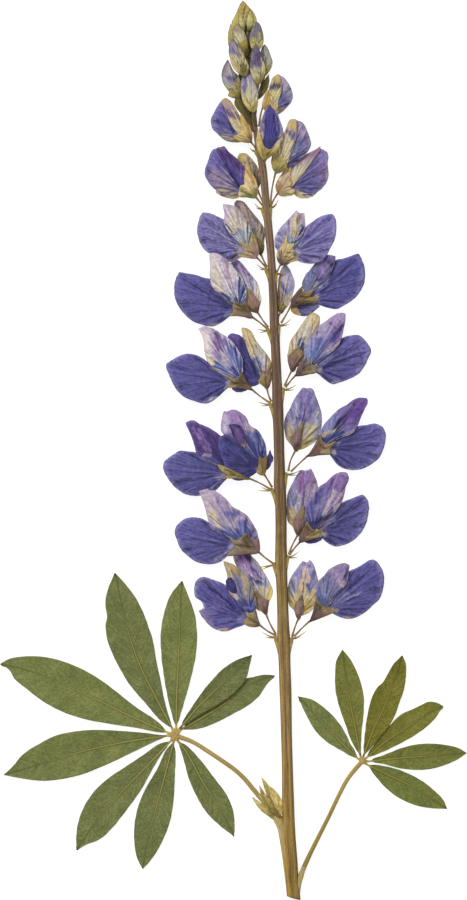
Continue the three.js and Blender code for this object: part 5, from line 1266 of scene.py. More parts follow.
flower("left_4a", [(3.8, 12.6), (5.4, 11.3), (7.6, 9.8)],
    petal("keel", 0, (VIOLET, "5a558e", "6a6398"), [
        (3.2, 12.9), (1.8, 12.2), (0.2, 12.3), (-0.4, 12.9), (0.4, 13.5), (2.2, 13.6)]),
    petal("wings", 0.1, ("807bac", "54518e", "5a5692"), [
        (0.3, 14.2), (-0.9, 14.9), (-2.8, 16.2), (-4.6, 17.5), (-6.2, 18.9), (-7.7, 19.8), (-9.5, 20.2),
        (-11.1, 19.9), (-12.6, 19.1), (-14.2, 18.1, 1), (-14.2, 17.2), (-13.5, 15.4), (-12, 12.5),
        (-10.5, 11.1), (-8.3, 10.2), (-5.8, 9.7), (-3.7, 10.8), (-2.2, 12.3), (-1, 13.2)], [
        (-6.6, 9.9, -3, 11.1, 0.22, "b9b0bc", 0.9), (-2.2, 13.9, -13.4, 17.6, 0.2, "35336a", 0.75),
        (-2.2, 13.4, -12.4, 14.2, 0.18, DEEP, 0.65), (-2.6, 12.9, -9, 11.2, 0.18, DEEP, 0.6),
        (-2, 14.6, -7.4, 18.8, 0.2, NAVY, 0.6), (-13.6, 17.9, -10.6, 18.9, 0.3, "48447e", 0.5),
        (-1.2, 14.3, -1.6, 13, 0.4, "b0aabf", 0.85), (-1.4, 15, -5, 17.4, 0.12, "a08f56", 0.8),
        (-10, 15, -6, 15.4, 1.3, "5f5b9a", 0.45), (-8.4, 10.4, -5.4, 10.2, 0.3, "4b4782", 0.6)],
        edge="827bae", claw=0.18),
    petal("banner", 0.45, ("415394", "a89fc3", "cfbecc"), [
        (1.8, 14.2), (-0.3, 14.7), (-2.8, 16.1), (-4.3, 17.2), (-5.4, 18.2), (-6, 19.7), (-6.3, 21.5),
        (-6.6, 23.7), (-7.5, 25.4, 1), (-6.5, 25.9), (-4.6, 25.5), (-2.8, 24.5), (-1.2, 23.5), (0, 22.3),
        (1.1, 20.6), (1.8, 18.8), (1.7, 17.2), (1.3, 15.6)], [
        (-6.3, 24.4, -5.4, 19.6, 0.75, "e9ded1", 0.94), (-5.4, 19, -4.2, 17.8, 0.4, "e8d296", 0.92),
        (-4.2, 24.2, -3, 20.2, 0.75, "87629d", 0.92), (-2.2, 23, -0.4, 20.4, 0.6, "6d62a0", 0.85),
        (-0.8, 20.8, 1.1, 17.6, 0.8, "6372aa", 0.85), (-3.9, 17.6, -1.8, 16.4, 0.6, "3e5094", 0.95),
        (-2.6, 20.6, -1.6, 18.2, 0.42, "cec3ca", 0.85), (-1.2, 22.8, 0.8, 19.8, 0.14, "4f4680", 0.8),
        (-4.1, 24.6, -2.2, 20.8, 0.13, PLUM, 0.8), (-7, 25.4, -5, 25.4, 0.4, "a890b1", 0.8),
        (0, 17, 0.6, 15.6, 0.5, "334585", 0.8), (-4.4, 17.2, -0.6, 15.4, 0.1, "a8943d", 0.8)],
        edge="c0b1c0", streaks=0.9, claw=0.35, folds=[((-4.6, 25), (-1.4, 17), -0.25, 0.35)]),
    calyx(0.85, ("645240", "5f4f40", "857658"), [
        (4, 12.4), (3.3, 13.7), (2.3, 14.7), (1.6, 16.6, 1), (1, 15.4), (0.2, 14.9), (-1.6, 15.6, 1),
        (-0.7, 14.3), (-1.6, 13.1, 1), (0.2, 13.1), (1.8, 13.1), (3.2, 12.6)], [
        (1.3, 15.8, 1.6, 14.6, 0.3, "4f431f", 0.85), (-1.2, 13.3, 0.4, 13.5, 0.25, "a08c5e", 0.92),
        (-1.2, 15.2, 0.2, 14.5, 0.16, "a08c48", 0.9), (0.2, 13.9, 2.4, 14, 0.15, "3b2e1a", 0.85),
        (2.4, 13.2, 3.6, 12.9, 0.3, "8a6e50", 0.8)]))
flower("left_4b", [(6.9, 12.9), (7.2, 11.6), (7.8, 10.1)],
    petal("banner", 0, ("8d8890", "d2c6b2", "c6b184"), [
        (6.8, 13.4), (5.3, 15), (4.3, 16.8), (3.6, 18.6), (2.8, 20.3), (2, 22.2), (1.8, 24), (1.5, 25.8, 1),
        (2.2, 25.7), (3.4, 25.2), (4.6, 23.1), (5.8, 21.5), (6.9, 20.2), (7.7, 18.8), (8.1, 17.2),
        (7.8, 15.4)], [
        (4.4, 19, 5.4, 17.8, 0.6, "5f70a8", 0.92), (7.4, 19.2, 7.7, 16.4, 0.4, "b5984e", 0.85),
        (2.4, 24.8, 3.6, 21, 0.5, "d0ba8c", 0.85), (5.2, 21.6, 6.4, 18.4, 0.5, "c4c0cc", 0.85),
        (4.6, 22, 5.6, 20, 0.14, "8f7c64", 0.7), (3, 23.6, 4.4, 20, 0.12, "9a8250", 0.8),
        (2.2, 25.2, 3.2, 24.6, 0.3, "b79d68", 0.8), (5.2, 17, 6.2, 16, 0.35, "3f4c80", 0.85),
        (6.2, 17.6, 6.8, 16.4, 0.4, "b09a9a", 0.8)], edge="b9a06c", streaks=1.0, claw=0.35),
    petal("wings", 0.5, ("45417a", "413d78", "4c4282"), [
        (5.2, 13.9), (3.9, 13.3), (2.6, 13.6), (1.9, 15.2), (1.8, 17.8), (1.2, 19.7), (0, 22.2),
        (-0.9, 22.9), (-1.5, 23.8, 1), (-0.8, 24.4), (0.3, 24.4), (1.7, 23.7), (2.5, 21.8), (3.1, 20),
        (4, 18.5), (4.9, 16.6), (5.5, 15.1)], [
        (-0.8, 24, 1, 23.6, 0.45, "7a5a98", 0.9), (-1.2, 23.6, -0.2, 22.6, 0.3, "35285a", 0.85),
        (2.6, 18.8, 4.2, 15.6, 0.2, "5f5ba0", 0.65), (1.2, 22.6, 2.4, 19, 0.16, "2f2b58", 0.8),
        (3.2, 14.6, 4.6, 14.6, 0.4, "655fa4", 0.7), (0.2, 22.4, 1.8, 18.6, 0.16, "252147", 0.85),
        (3.4, 18.4, 4.6, 15.8, 0.14, "2f2b58", 0.8)], edge="5a5394", roughness=0.55, claw=0.25),
    calyx(0.7, ("7a6440", "8d7a48", "8a6c5c"), [
        (6.9, 12.6), (6, 13.6), (5, 14.3, 1), (5.6, 15.4), (6.2, 16.8, 1), (6.6, 15.9), (7.3, 17.2, 1),
        (8, 15.4), (7.7, 14.2), (7.2, 12.9)], [
        (5.4, 14.5, 6.4, 15.8, 0.35, "a08c5e", 0.9), (6.9, 15.6, 7.4, 14, 0.4, "96746a", 0.85),
        (6.6, 15.4, 6.9, 13.6, 0.12, LOBE_SHADE, 0.8)]))
flower("right_4a", [(12.1, 16.6), (11.3, 15), (10.6, 13.4)],
    petal("banner", 0, ("c2a978", "d9ccb0", "d0c09c"), [
        (12.1, 16.9), (11.6, 18.2), (11.2, 19.4), (11.4, 20.9), (11.8, 22.8), (12.8, 24.3), (13.8, 25.8),
        (15.1, 27.7), (16, 28.9, 1), (17.2, 28.7), (18.1, 28.1, 1), (18, 26.5), (17.6, 24.6), (16.4, 22),
        (14.8, 19.4), (13.6, 17.6)], [
        (12.2, 22.6, 11.9, 19.8, 0.55, "cdbb92", 0.8), (14, 26, 13.4, 23.8, 0.45, "c9c0b4", 0.8),
        (15, 27.4, 15.2, 24.6, 0.4, "d3c8b4", 0.8), (13.4, 21.2, 14.5, 23.4, 0.5, "59628f", 0.92),
        (14.3, 21.2, 14.5, 22.4, 0.28, "33345e", 0.9), (16.4, 28, 16.4, 23.6, 0.14, "9a7c4c", 0.85),
        (17.2, 27.8, 17.3, 24.4, 0.4, "cbb280", 0.8), (15.4, 25.6, 16, 23.6, 0.3, "a9b0c8", 0.7),
        (12.8, 20.2, 13.6, 19.4, 0.3, "a89248", 0.8), (13, 24.8, 12.2, 21.6, 0.12, "a48c5c", 0.8)],
        edge="b29a68", streaks=1.0, claw=0.4, width=6, folds=[((17, 28), (14.2, 21), 0.28, 0.35)]),
    calyx(0.6, ("5f4a44", "80655c", "968260"), [
        (12, 16.3), (11.6, 17.6), (11.3, 19.3), (12, 20.4), (13.7, 22, 1), (14.1, 20.8), (15, 20.6, 1),
        (14, 19), (13.3, 17.8), (12.6, 16.4)], [
        (12, 19.6, 12.4, 17.6, 0.4, "8a6c66", 0.85), (13.4, 21.4, 13.8, 19.6, 0.25, "a08c5e", 0.9),
        (12.4, 20.2, 13.4, 21.6, 0.16, "4f3c2c", 0.8)]))
flower("right_4b", [(13, 15.7), (12, 14.6), (10.8, 13.1)],
    petal("wings", 0, ("7974a4", "56528b", "68619c"), [
        (16.4, 16.9), (17.4, 18), (18.6, 19), (20.3, 20.6), (22.7, 23.5), (24.3, 24), (26.2, 24.1),
        (27.4, 23.2), (28.3, 22), (28.8, 20.8), (28.3, 19.4), (27.4, 17.5), (26.2, 16), (24.3, 14.9),
        (22.5, 14.2), (20.6, 13.8), (19.4, 14.5), (18.2, 15.6), (17.2, 16.2)], [
        (18.8, 17.4, 26.4, 22.8, 0.26, "312f60", 0.85), (19, 17, 27.8, 20.6, 0.22, NAVY, 0.75),
        (19, 16.4, 26.4, 17.1, 0.18, DEEP, 0.65), (28.2, 20.2, 26, 16.6, 0.5, "8d85b8", 0.85),
        (20.6, 20.8, 23.4, 23.2, 0.4, "3f3b76", 0.75), (19, 15.4, 22, 14.6, 0.4, "726ca4", 0.5),
        (17.2, 16.9, 18, 16.9, 0.4, "c3bcb0", 0.85), (18.2, 18.2, 20.4, 19.6, 0.4, "8588b4", 0.75),
        (27, 21.4, 28.4, 20.9, 0.2, "312f60", 0.75), (20, 14.1, 22, 14.2, 0.16, "a49aa0", 0.75),
        (25.4, 22.6, 27.4, 18, 0.3, "4a4682", 0.6)], edge="8a82b4", claw=0.18,
        folds=[((19, 17), (27.6, 20.6), -0.25, 0.3)]),
    petal("banner", 0.45, ("5d6c9e", "8a86b2", "a48cb2"), [
        (15.6, 17), (14.9, 18.2), (14.8, 19.7), (14.8, 21.5), (15.7, 23.1), (16.9, 24.6), (18.2, 26.3),
        (19.4, 27.1), (20.9, 28.2), (22.2, 28.8), (23.5, 28.6, 1), (23.4, 27.4), (23.1, 25.8), (22.7, 23.9),
        (22.2, 22.4), (20.9, 20.8), (19.7, 20), (17.8, 18.4)], [
        (15.2, 19, 15.6, 22.4, 0.45, "9298be", 0.85), (16.8, 19.6, 18.2, 22.8, 0.75, "6272a8", 0.9),
        (17.6, 24.6, 19.2, 26.4, 0.75, "b2a4bc", 0.88), (20.8, 22.8, 22.4, 25.6, 0.75, "483e80", 0.95),
        (21.4, 27, 23, 28, 0.55, "a88cb2", 0.88), (19.8, 20.6, 22, 22.4, 0.24, "cbb2ac", 0.92),
        (15.6, 17.6, 18.6, 19.2, 0.4, "4a5078", 0.75), (18.4, 21.6, 20.4, 24, 0.4, "6f68a4", 0.8),
        (19.8, 26.8, 21.6, 25.4, 0.2, "6a4f88", 0.8), (16.2, 24, 17.6, 24.8, 0.25, "6f7098", 0.7),
        (15.4, 16.6, 20, 20.2, 0.1, "8f7f48", 0.85), (21.6, 28, 22.4, 26.4, 0.12, "6a4d84", 0.8)],
        edge="a493b4", streaks=0.9, claw=0.3, folds=[((17, 19), (22.4, 27.6), 0.3, 0.4)]),
    calyx(0.85, ("5a4a44", "695849", "8e8170"), [
        (12.8, 15.4), (13.2, 16.8), (13.7, 17.9), (15, 19.5, 1), (15.3, 18.2), (16.6, 19, 1), (16.4, 17.8),
        (17.8, 17.9, 1), (17.1, 17), (17.4, 16.3), (15.8, 15.9), (14.2, 15.5)], [
        (13.6, 16.2, 14.6, 18.2, 0.4, "654e58", 0.85), (14.6, 16.2, 16.8, 16.6, 0.3, "98895a", 0.9),
        (14.8, 17.2, 16, 18.2, 0.2, "3a2f2c", 0.85), (16.4, 17.3, 17.6, 17.7, 0.18, "9c8c62", 0.9),
        (14.2, 15.9, 15.4, 17, 0.14, "83704e", 0.8)]))
flower("left_5a", [(3.9, 27.8), (5.4, 26.7), (7.1, 25.3)],
    petal("wings", 0, ("6f6ba0", "5a5692", "5c5893"), [
        (0.8, 29.2), (0.6, 30.8), (-0.8, 31.9), (-2.4, 33.4), (-3.8, 34.8), (-4.8, 35.8), (-6.5, 36.2),
        (-8, 36.7), (-9.8, 37), (-11.5, 37.4, 1), (-12.3, 35.7), (-12.6, 33.5), (-12.5, 32.3),
        (-11.7, 30.2), (-10.5, 28.6), (-8.9, 27.1), (-7.1, 26.4), (-4.6, 25.9), (-2.8, 26.6), (-1.6, 27.6),
        (-0.4, 28.3)], [
        (-11.4, 36.8, -5.2, 32.4, 0.2, "35336a", 0.8), (-5.2, 32.4, -1.2, 29.8, 0.24, NAVY, 0.75),
        (-3.4, 32, -0.8, 30.2, 0.45, "2f2d58", 0.75), (-1.6, 28.3, -0.9, 28.8, 0.4, "9a9ab4", 0.8),
        (-2, 29.6, -12, 33.4, 0.16, DEEP, 0.6), (-2, 29, -10.4, 29.4, 0.16, DEEP, 0.6),
        (-9.4, 35.4, -6, 35.4, 0.6, "6661a0", 0.45), (-11.9, 34.6, -11, 31, 0.6, "67629e", 0.45),
        (-5.2, 26.1, -3, 26.5, 0.22, "b3a48c", 0.85), (-2.6, 30.8, -5.2, 33.6, 0.14, "3a3768", 0.7),
        (-7.6, 30.6, -4, 30.4, 1.1, "5f5b9a", 0.4), (-3.4, 33.2, -0.6, 30.6, 0.1, "a08f52", 0.8)],
        edge="7b74a8", claw=0.2),
    petal("banner", 0.4, ("4c5c96", "d6cbce", "d0c2ca"), [
        (1.2, 29.9), (0.1, 30.7), (-1.5, 31.5), (-3.1, 33.1), (-4.2, 33.7), (-4.9, 35.1), (-5.1, 37.2),
        (-5.1, 39.4), (-5.2, 41.2, 1), (-3.7, 41.3), (-2.5, 40.6), (-0.9, 39.4), (0.3, 37.8), (1.4, 36.6),
        (2.2, 34.8), (2.6, 33.2), (2.5, 31.7), (2, 30.4)], [
        (-4.2, 39, -3.4, 34.4, 0.75, "d9ccb6", 0.9), (-2.8, 32.8, -1, 31.6, 0.6, "3a426e", 0.95),
        (0.9, 34.8, 1.9, 31.6, 0.75, "5c689e", 0.9), (-3.4, 40.6, -1, 39, 0.5, "b09cb6", 0.8),
        (-0.4, 33.6, -0.3, 31.6, 0.4, "b3b0cc", 0.85), (-1.8, 39, -0.9, 34.6, 0.5, "bcaac2", 0.8),
        (0.9, 37.2, 2.4, 33.8, 0.12, "3f3f6c", 0.85), (0.4, 31.6, 1.4, 30.8, 0.4, "2f3d68", 0.8),
        (-4.4, 34, -2.6, 33.2, 0.25, "cdb890", 0.85), (1.6, 34.6, 2.3, 32.6, 0.2, "3f4d88", 0.75),
        (-2.8, 40, -1.6, 36, 0.12, "a48cb0", 0.8)], edge="c3b4bc", streaks=0.9, claw=0.3,
        folds=[((-2.6, 40), (0, 32), 0.2, 0.5)]),
    calyx(0.8, ("7a6058", "6a563a", "84744a"), [
        (4.1, 27.6), (3.5, 28.8), (3, 29.7), (2.5, 31.1, 1), (1.5, 30.5), (0, 31.2, 1), (-0.3, 30.1),
        (-0.2, 29.2), (-1.1, 28.1, 1), (0.4, 28.1), (2, 27.9), (3.4, 27.5)], [
        (0.2, 30.6, 2.2, 30, 0.35, "493d26", 0.9), (0.6, 28.6, 3.4, 28.1, 0.4, "8c7068", 0.9),
        (-0.8, 28.3, 0.2, 28.9, 0.3, "9f8b58", 0.92), (0.2, 29.4, 2.8, 29.2, 0.15, LOBE_SHADE, 0.8),
        (2.4, 29.4, 2.5, 30.6, 0.25, "5f5230", 0.8)]))
flower("left_5b", [(5, 28.8), (5.9, 27.4), (7.2, 25.7)],
    petal("banner", 0, ("ceb3a3", "d4cdd4", "9987ad"), [
        (4.9, 29.3), (5.5, 30.4), (5.8, 31.8), (5.5, 32.9), (5.2, 34.5), (4.3, 36), (3.1, 37.5),
        (1.8, 39.1), (0.7, 40), (-0.9, 39.2, 1), (0.3, 37.8), (1.6, 35.6), (2.2, 33), (3, 30.8)], [
        (0.3, 39.4, 2.1, 38, 0.65, "6c5885", 0.9), (4.8, 34, 5.4, 31.8, 0.55, "dcd0ad", 0.92),
        (3, 36.2, 4, 33.6, 0.5, "b5b0c5", 0.8), (0.1, 38.9, 2.5, 34.4, 0.2, "463e60", 0.9),
        (2, 38.2, 3.6, 35.8, 0.4, "9582a9", 0.8), (4.4, 31.8, 5.2, 30.6, 0.45, "b18b8b", 0.85),
        (1.8, 38.6, 3.2, 36.6, 0.12, "554678", 0.8), (3.4, 35.6, 4.4, 32.8, 0.12, "726989", 0.7)],
        edge="b5a7b8", streaks=0.9, claw=0.35),
    calyx(0.65, ("5f5230", "957668", "93805c"), [
        (5.1, 28.6), (4.2, 28.9), (2.7, 29.5), (2.2, 30.6), (2.5, 32), (2.8, 34.2, 1), (3.9, 32.9),
        (4.8, 31.7), (5.5, 30.9, 1), (5.2, 29.6)], [
        (4.4, 29.4, 2.8, 30, 0.35, "5c512a", 0.85), (4.4, 30.8, 3.6, 32, 0.5, "a57f78", 0.85),
        (2.7, 31.6, 2.9, 33.6, 0.25, "a8945c", 0.85)], edge="93806a"))
flower("right_5a", [(9.8, 29), (9.4, 28), (9.2, 26.6)],
    petal("banner", 0, ("c2ae7e", "bfb4b4", "aba2c2"), [
        (9.9, 29.2), (11.2, 30), (11.9, 31.2), (12.4, 32.9), (12.8, 34.8), (12.5, 36.3), (11.8, 37.8),
        (11.1, 39, 1), (10.2, 38.5), (9.5, 36.6), (9.2, 34), (9.1, 31.2)], [
        (10.1, 34.9, 11.1, 33.2, 0.3, "525c96", 0.92), (9.6, 34.6, 9.7, 32, 0.4, "c0a96c", 0.88),
        (9.9, 30.6, 10.2, 32.6, 0.35, "8f6a82", 0.85), (12.2, 36.2, 12.1, 33.2, 0.45, "a49ecc", 0.85),
        (10.5, 38, 10.6, 35.8, 0.45, "c6bcbc", 0.8), (11, 31, 11.6, 32.2, 0.5, "d2c6a4", 0.88),
        (11.6, 38, 11.6, 35.6, 0.35, "b0a5c8", 0.8)], edge="b2a8bc", streaks=0.9, claw=0.5, width=5),
    calyx(0.5, OLIVE_CALYX, [
        (9.7, 28.6), (9.2, 29.8), (9.2, 31.6, 1), (9.8, 30.6), (10.3, 31.4, 1), (10.4, 30.3),
        (11.2, 30.3, 1), (10.6, 29.4), (10.1, 28.7)]))
flower("right_5b", [(12.1, 30.6), (11.2, 28.8), (9.9, 26.6)],
    petal("keel", 0, ("4f4b78", "6a6592", "7c749a"), [
        (12.8, 29.9), (13.4, 30.8), (15, 31.3), (17.3, 30.8), (18.1, 30.2, 1), (17.2, 29.4), (15.9, 28.5),
        (15, 28.1), (14, 28.2), (13.2, 29)], [
        (13.4, 29.6, 16.8, 30.4, 0.2, "413e6c", 0.6), (14, 28.8, 15.6, 29, 0.3, "837ba6", 0.6)]),
    petal("wings", 0.1, ("a8a5be", "5d5997", "565290"), [
        (15.2, 31.2), (15.5, 32.9), (16.6, 34.1), (17.8, 35.8), (19.4, 37.4), (20.7, 38.8), (21.4, 39.9),
        (22.8, 40.2), (24.6, 40.8), (26.2, 41.4, 1), (26.8, 40.3), (27.4, 38.8), (27.6, 36.9), (27.4, 35.1),
        (26.5, 33.2), (25.2, 31.7), (23.4, 30.5), (21.5, 29.6), (20, 29.8), (18.5, 30.4), (17.3, 30.9)], [
        (27.2, 38.2, 26.2, 32.8, 0.5, "7f78b2", 0.8), (25.6, 32, 23, 30.4, 0.4, "8a82b4", 0.7),
        (25.8, 41, 26.3, 41.2, 0.35, "2c2a50", 0.9), (16.8, 31.4, 17.6, 32.2, 0.4, "c0b28c", 0.88),
        (18.4, 33, 25.6, 40, 0.22, "35336a", 0.8), (18.6, 32.2, 26.8, 37, 0.2, "3c396f", 0.7),
        (18.6, 31.6, 25, 32.8, 0.18, DEEP, 0.6), (21.6, 39.4, 20.4, 37, 0.3, "312e5c", 0.7),
        (17.4, 34, 19.2, 35.4, 0.5, "a3a2bc", 0.85), (19.6, 36, 24.4, 39.6, 0.16, NAVY, 0.6),
        (22.8, 35.6, 25.4, 37.6, 0.7, "4b4786", 0.5)], edge="827bb0", claw=0.2,
        folds=[((18.4, 33), (25.6, 40), -0.25, 0.3)]),
    petal("banner", 0.45, ("7b7e9e", "7a77a2", "685588"), [
        (15.2, 32.6), (14.6, 33.6), (14.3, 34.8), (14.8, 36.4), (16, 37.9), (17.2, 39.4), (18.5, 40.7),
        (20, 41), (21.4, 40.7, 1), (21.2, 39.4), (20.6, 37.6), (19.7, 35.9), (18.2, 34.9), (17.2, 33.6)], [
        (18.4, 40.6, 20.8, 40.6, 0.4, "5d4a7a", 0.88), (18.2, 39.8, 18.8, 36.4, 0.36, "9c80ae", 0.92),
        (19.6, 39.8, 20.6, 38.8, 0.4, "352b54", 0.88), (17.4, 35.3, 20.2, 37.2, 0.35, "3b3966", 0.88),
        (15.2, 35.2, 16.8, 37.6, 0.75, "777aa0", 0.85), (16, 33.4, 17.6, 34.8, 0.35, "9d9a98", 0.8),
        (16, 38, 17.6, 36.6, 0.13, "45426c", 0.8), (19, 36.2, 20.2, 38.2, 0.2, "8a70a0", 0.8)],
        edge="837aa0", streaks=0.8, folds=[((16.5, 34), (19.4, 40), -0.3, 0.35)]),
    calyx(0.3, GOLD_CALYX, [
        (12, 29.9), (12.1, 29.1), (12.9, 28.5), (14.1, 28.2, 1), (13.6, 29.2), (13.2, 30)]),
    calyx(0.85, ("5a4544", "6a5242", "93804c"), [
        (12.1, 30), (11.9, 31.2), (12.8, 32.7), (14.3, 34.5, 1), (14.6, 33.3), (15.4, 33), (16.8, 33.9, 1),
        (16.3, 32.7), (15.7, 32.1), (17, 32), (17.7, 31.2, 1), (16, 30.9), (14.2, 30.6), (12.9, 30.1)], [
        (12.6, 31, 13.8, 33.4, 0.5, "5c474e", 0.9), (15, 32.4, 16.4, 33.3, 0.22, "8f7140", 0.9),
        (13.6, 31.4, 17, 31.6, 0.2, "8f7c46", 0.85), (14, 32, 15.4, 32.2, 0.16, "3a2c24", 0.85),
        (13.2, 30.6, 15.6, 31, 0.16, "3f301f", 0.7)]))
flower("left_6a", [(4.7, 40.4), (5.7, 39.4), (6.8, 38.2)],
    petal("wings", 0, ("b6b1c0", "7f78ac", "7871a4"), [
        (2.6, 41.9), (1.4, 43), (-0.4, 45), (-1.8, 46.6), (-2.2, 48.3), (-3.7, 49.1), (-5.2, 49.7),
        (-6.5, 49.9, 1), (-7.1, 49.1), (-7.5, 47.8), (-7.8, 46.2), (-7.5, 44.6), (-6.8, 42.8), (-5.5, 41.4),
        (-3.7, 41), (-1.8, 39.9), (-0.3, 39.4), (1.2, 40.3), (2.4, 41)], [
        (0.2, 42.2, -3.8, 46.6, 0.22, "b4aac4", 0.8), (-0.2, 41.4, -4.6, 44.4, 0.16, "9990b8", 0.7),
        # The dark streak first on the line below is painted shade along the wing's lower edge, where it lies
        # over left_5a's banner
        (-4.4, 41.6, -0.2, 40.2, 0.4, "4a467c", 0.8), (-3, 48, -5.4, 48.8, 0.6, "837bae", 0.6),
        (-6.8, 44, -7, 47.4, 0.6, "625d96", 0.6), (0.2, 43.4, -6, 48.4, 0.17, DEEP, 0.7),
        (0.2, 42, -6.6, 44.6, 0.17, DEEP, 0.6), (-1.2, 39.6, 1.2, 40.6, 0.18, "b4a35c", 0.88),
        (1.6, 41.6, 0.6, 42.6, 0.4, "b7b4c4", 0.8), (-0.4, 44.6, -1.8, 46.6, 0.2, "39375c", 0.8),
        (-3.2, 44.6, -5.6, 46.8, 0.9, "7d76aa", 0.45)], edge="948cb0", claw=0.22,
        folds=[((0.6, 42.4), (-4.6, 47.6), 0.18, 0.4)]),
    petal("banner", 0.4, ("94a2bc", "d6cbb8", "c8b9c4"), [
        (3, 41.9), (1.8, 42.8), (0.6, 44), (-0.9, 45.5), (-1.8, 46.8), (-2.2, 48), (-2, 49.4),
        (-2.5, 51.6, 1), (-1.2, 51.5), (0, 51.2), (1.2, 50), (2.5, 48.5), (3.5, 46.6), (3.9, 44.9),
        (3.7, 43.1)], [
        (-1.4, 50.8, -1.8, 48.4, 0.6, "bcadc2", 0.88), (-0.4, 49.6, 0.3, 46.8, 0.7, "d0c3aa", 0.92),
        (0.3, 45.3, 0.9, 45.9, 0.35, "6f83ac", 0.8), (1, 44.8, 2.6, 45.6, 0.6, "9aa6bc", 0.85),
        (2, 43.4, 3.2, 43.8, 0.5, "9a9f9c", 0.85), (-2.1, 47.6, 0.3, 45, 0.12, "35305c", 0.95),
        (1.2, 49.4, 3, 46.8, 0.3, "a8988c", 0.75), (1.8, 49.6, 3.6, 46.4, 0.13, "5a4a62", 0.88),
        (0.4, 49.4, 1.4, 46.8, 0.12, "9a8d94", 0.8), (2.6, 46.4, 3.3, 45.6, 0.25, "6d7c9c", 0.75),
        (-1.8, 51.2, -0.6, 51, 0.3, "a08cae", 0.8)], edge="b9aab4", streaks=0.9, claw=0.3,
        folds=[((-1, 50), (2, 44.4), 0.2, 0.5)]),
    calyx(0.85, ("ab8c80", "b89c80", "b0a070"), [
        (4.8, 40.1), (5.2, 41.2), (5.1, 42.6), (4.7, 43.9), (3.9, 45.6, 1), (3.4, 44.2), (3, 42.9),
        (0.9, 43.9, 1), (1.9, 42.3), (2.4, 41.5), (1.5, 41.3), (0.6, 40.5, 1), (2.2, 40.4), (3.8, 40.1)], [
        (4.4, 43.4, 4.6, 41.4, 0.45, "9d7a72", 0.9), (3.8, 44.6, 3.8, 43, 0.25, "988648", 0.9),
        (1.2, 43.5, 2.8, 42.1, 0.18, "a38f60", 0.92), (0.9, 40.8, 2.6, 40.9, 0.2, "9f8b5c", 0.92),
        (2.6, 41.6, 4.2, 41.2, 0.13, LOBE_SHADE, 0.7), (3.2, 42.6, 4.2, 41.6, 0.3, "a48a6c", 0.7)]))
flower("left_6b", [(5.7, 41), (6.2, 39.8), (6.9, 38.4)],
    petal("banner", 0, ("887b5d", "a19592", "9c8c84"), [
        (5.4, 41.2), (6.1, 42.4), (6.4, 44), (6.5, 46.3), (5.6, 47.9), (4.3, 49.5), (3.1, 51), (1.8, 52.3),
        (0.5, 52.5, 1), (0, 51.8), (1.2, 50.2), (2.5, 48.3), (3.3, 46), (4, 43.4)], [
        (0.4, 52.1, 1, 51, 0.35, "504165", 0.9), (1.8, 51, 3.6, 49, 0.5, "9b8a7e", 0.85),
        (3.5, 47.8, 4.5, 46.2, 0.45, "918a96", 0.8), (5, 47, 5.4, 44.4, 0.25, "aa9a5f", 0.85),
        (6, 47, 6.4, 44.4, 0.3, "584e42", 0.85), (2.2, 51.6, 5, 48, 0.14, "5d505f", 0.8),
        (4.2, 46.6, 4.6, 44.4, 0.25, "756e73", 0.75), (4.8, 43.6, 5.6, 42, 0.4, "6f673e", 0.8)],
        edge="8b7c71", vein_tone="504146", streaks=0.9, claw=0.35),
    calyx(0.6, ("554a28", "6d6234", "8b7d40"), [
        (5.6, 40.7), (5.1, 41.6), (4.8, 43), (4, 45.6, 1), (5.2, 44.4), (5.8, 43.4), (6.4, 43.2, 1),
        (6.2, 41.8)], [
        (5.2, 43.8, 5.4, 42, 0.25, "847838", 0.8)]))
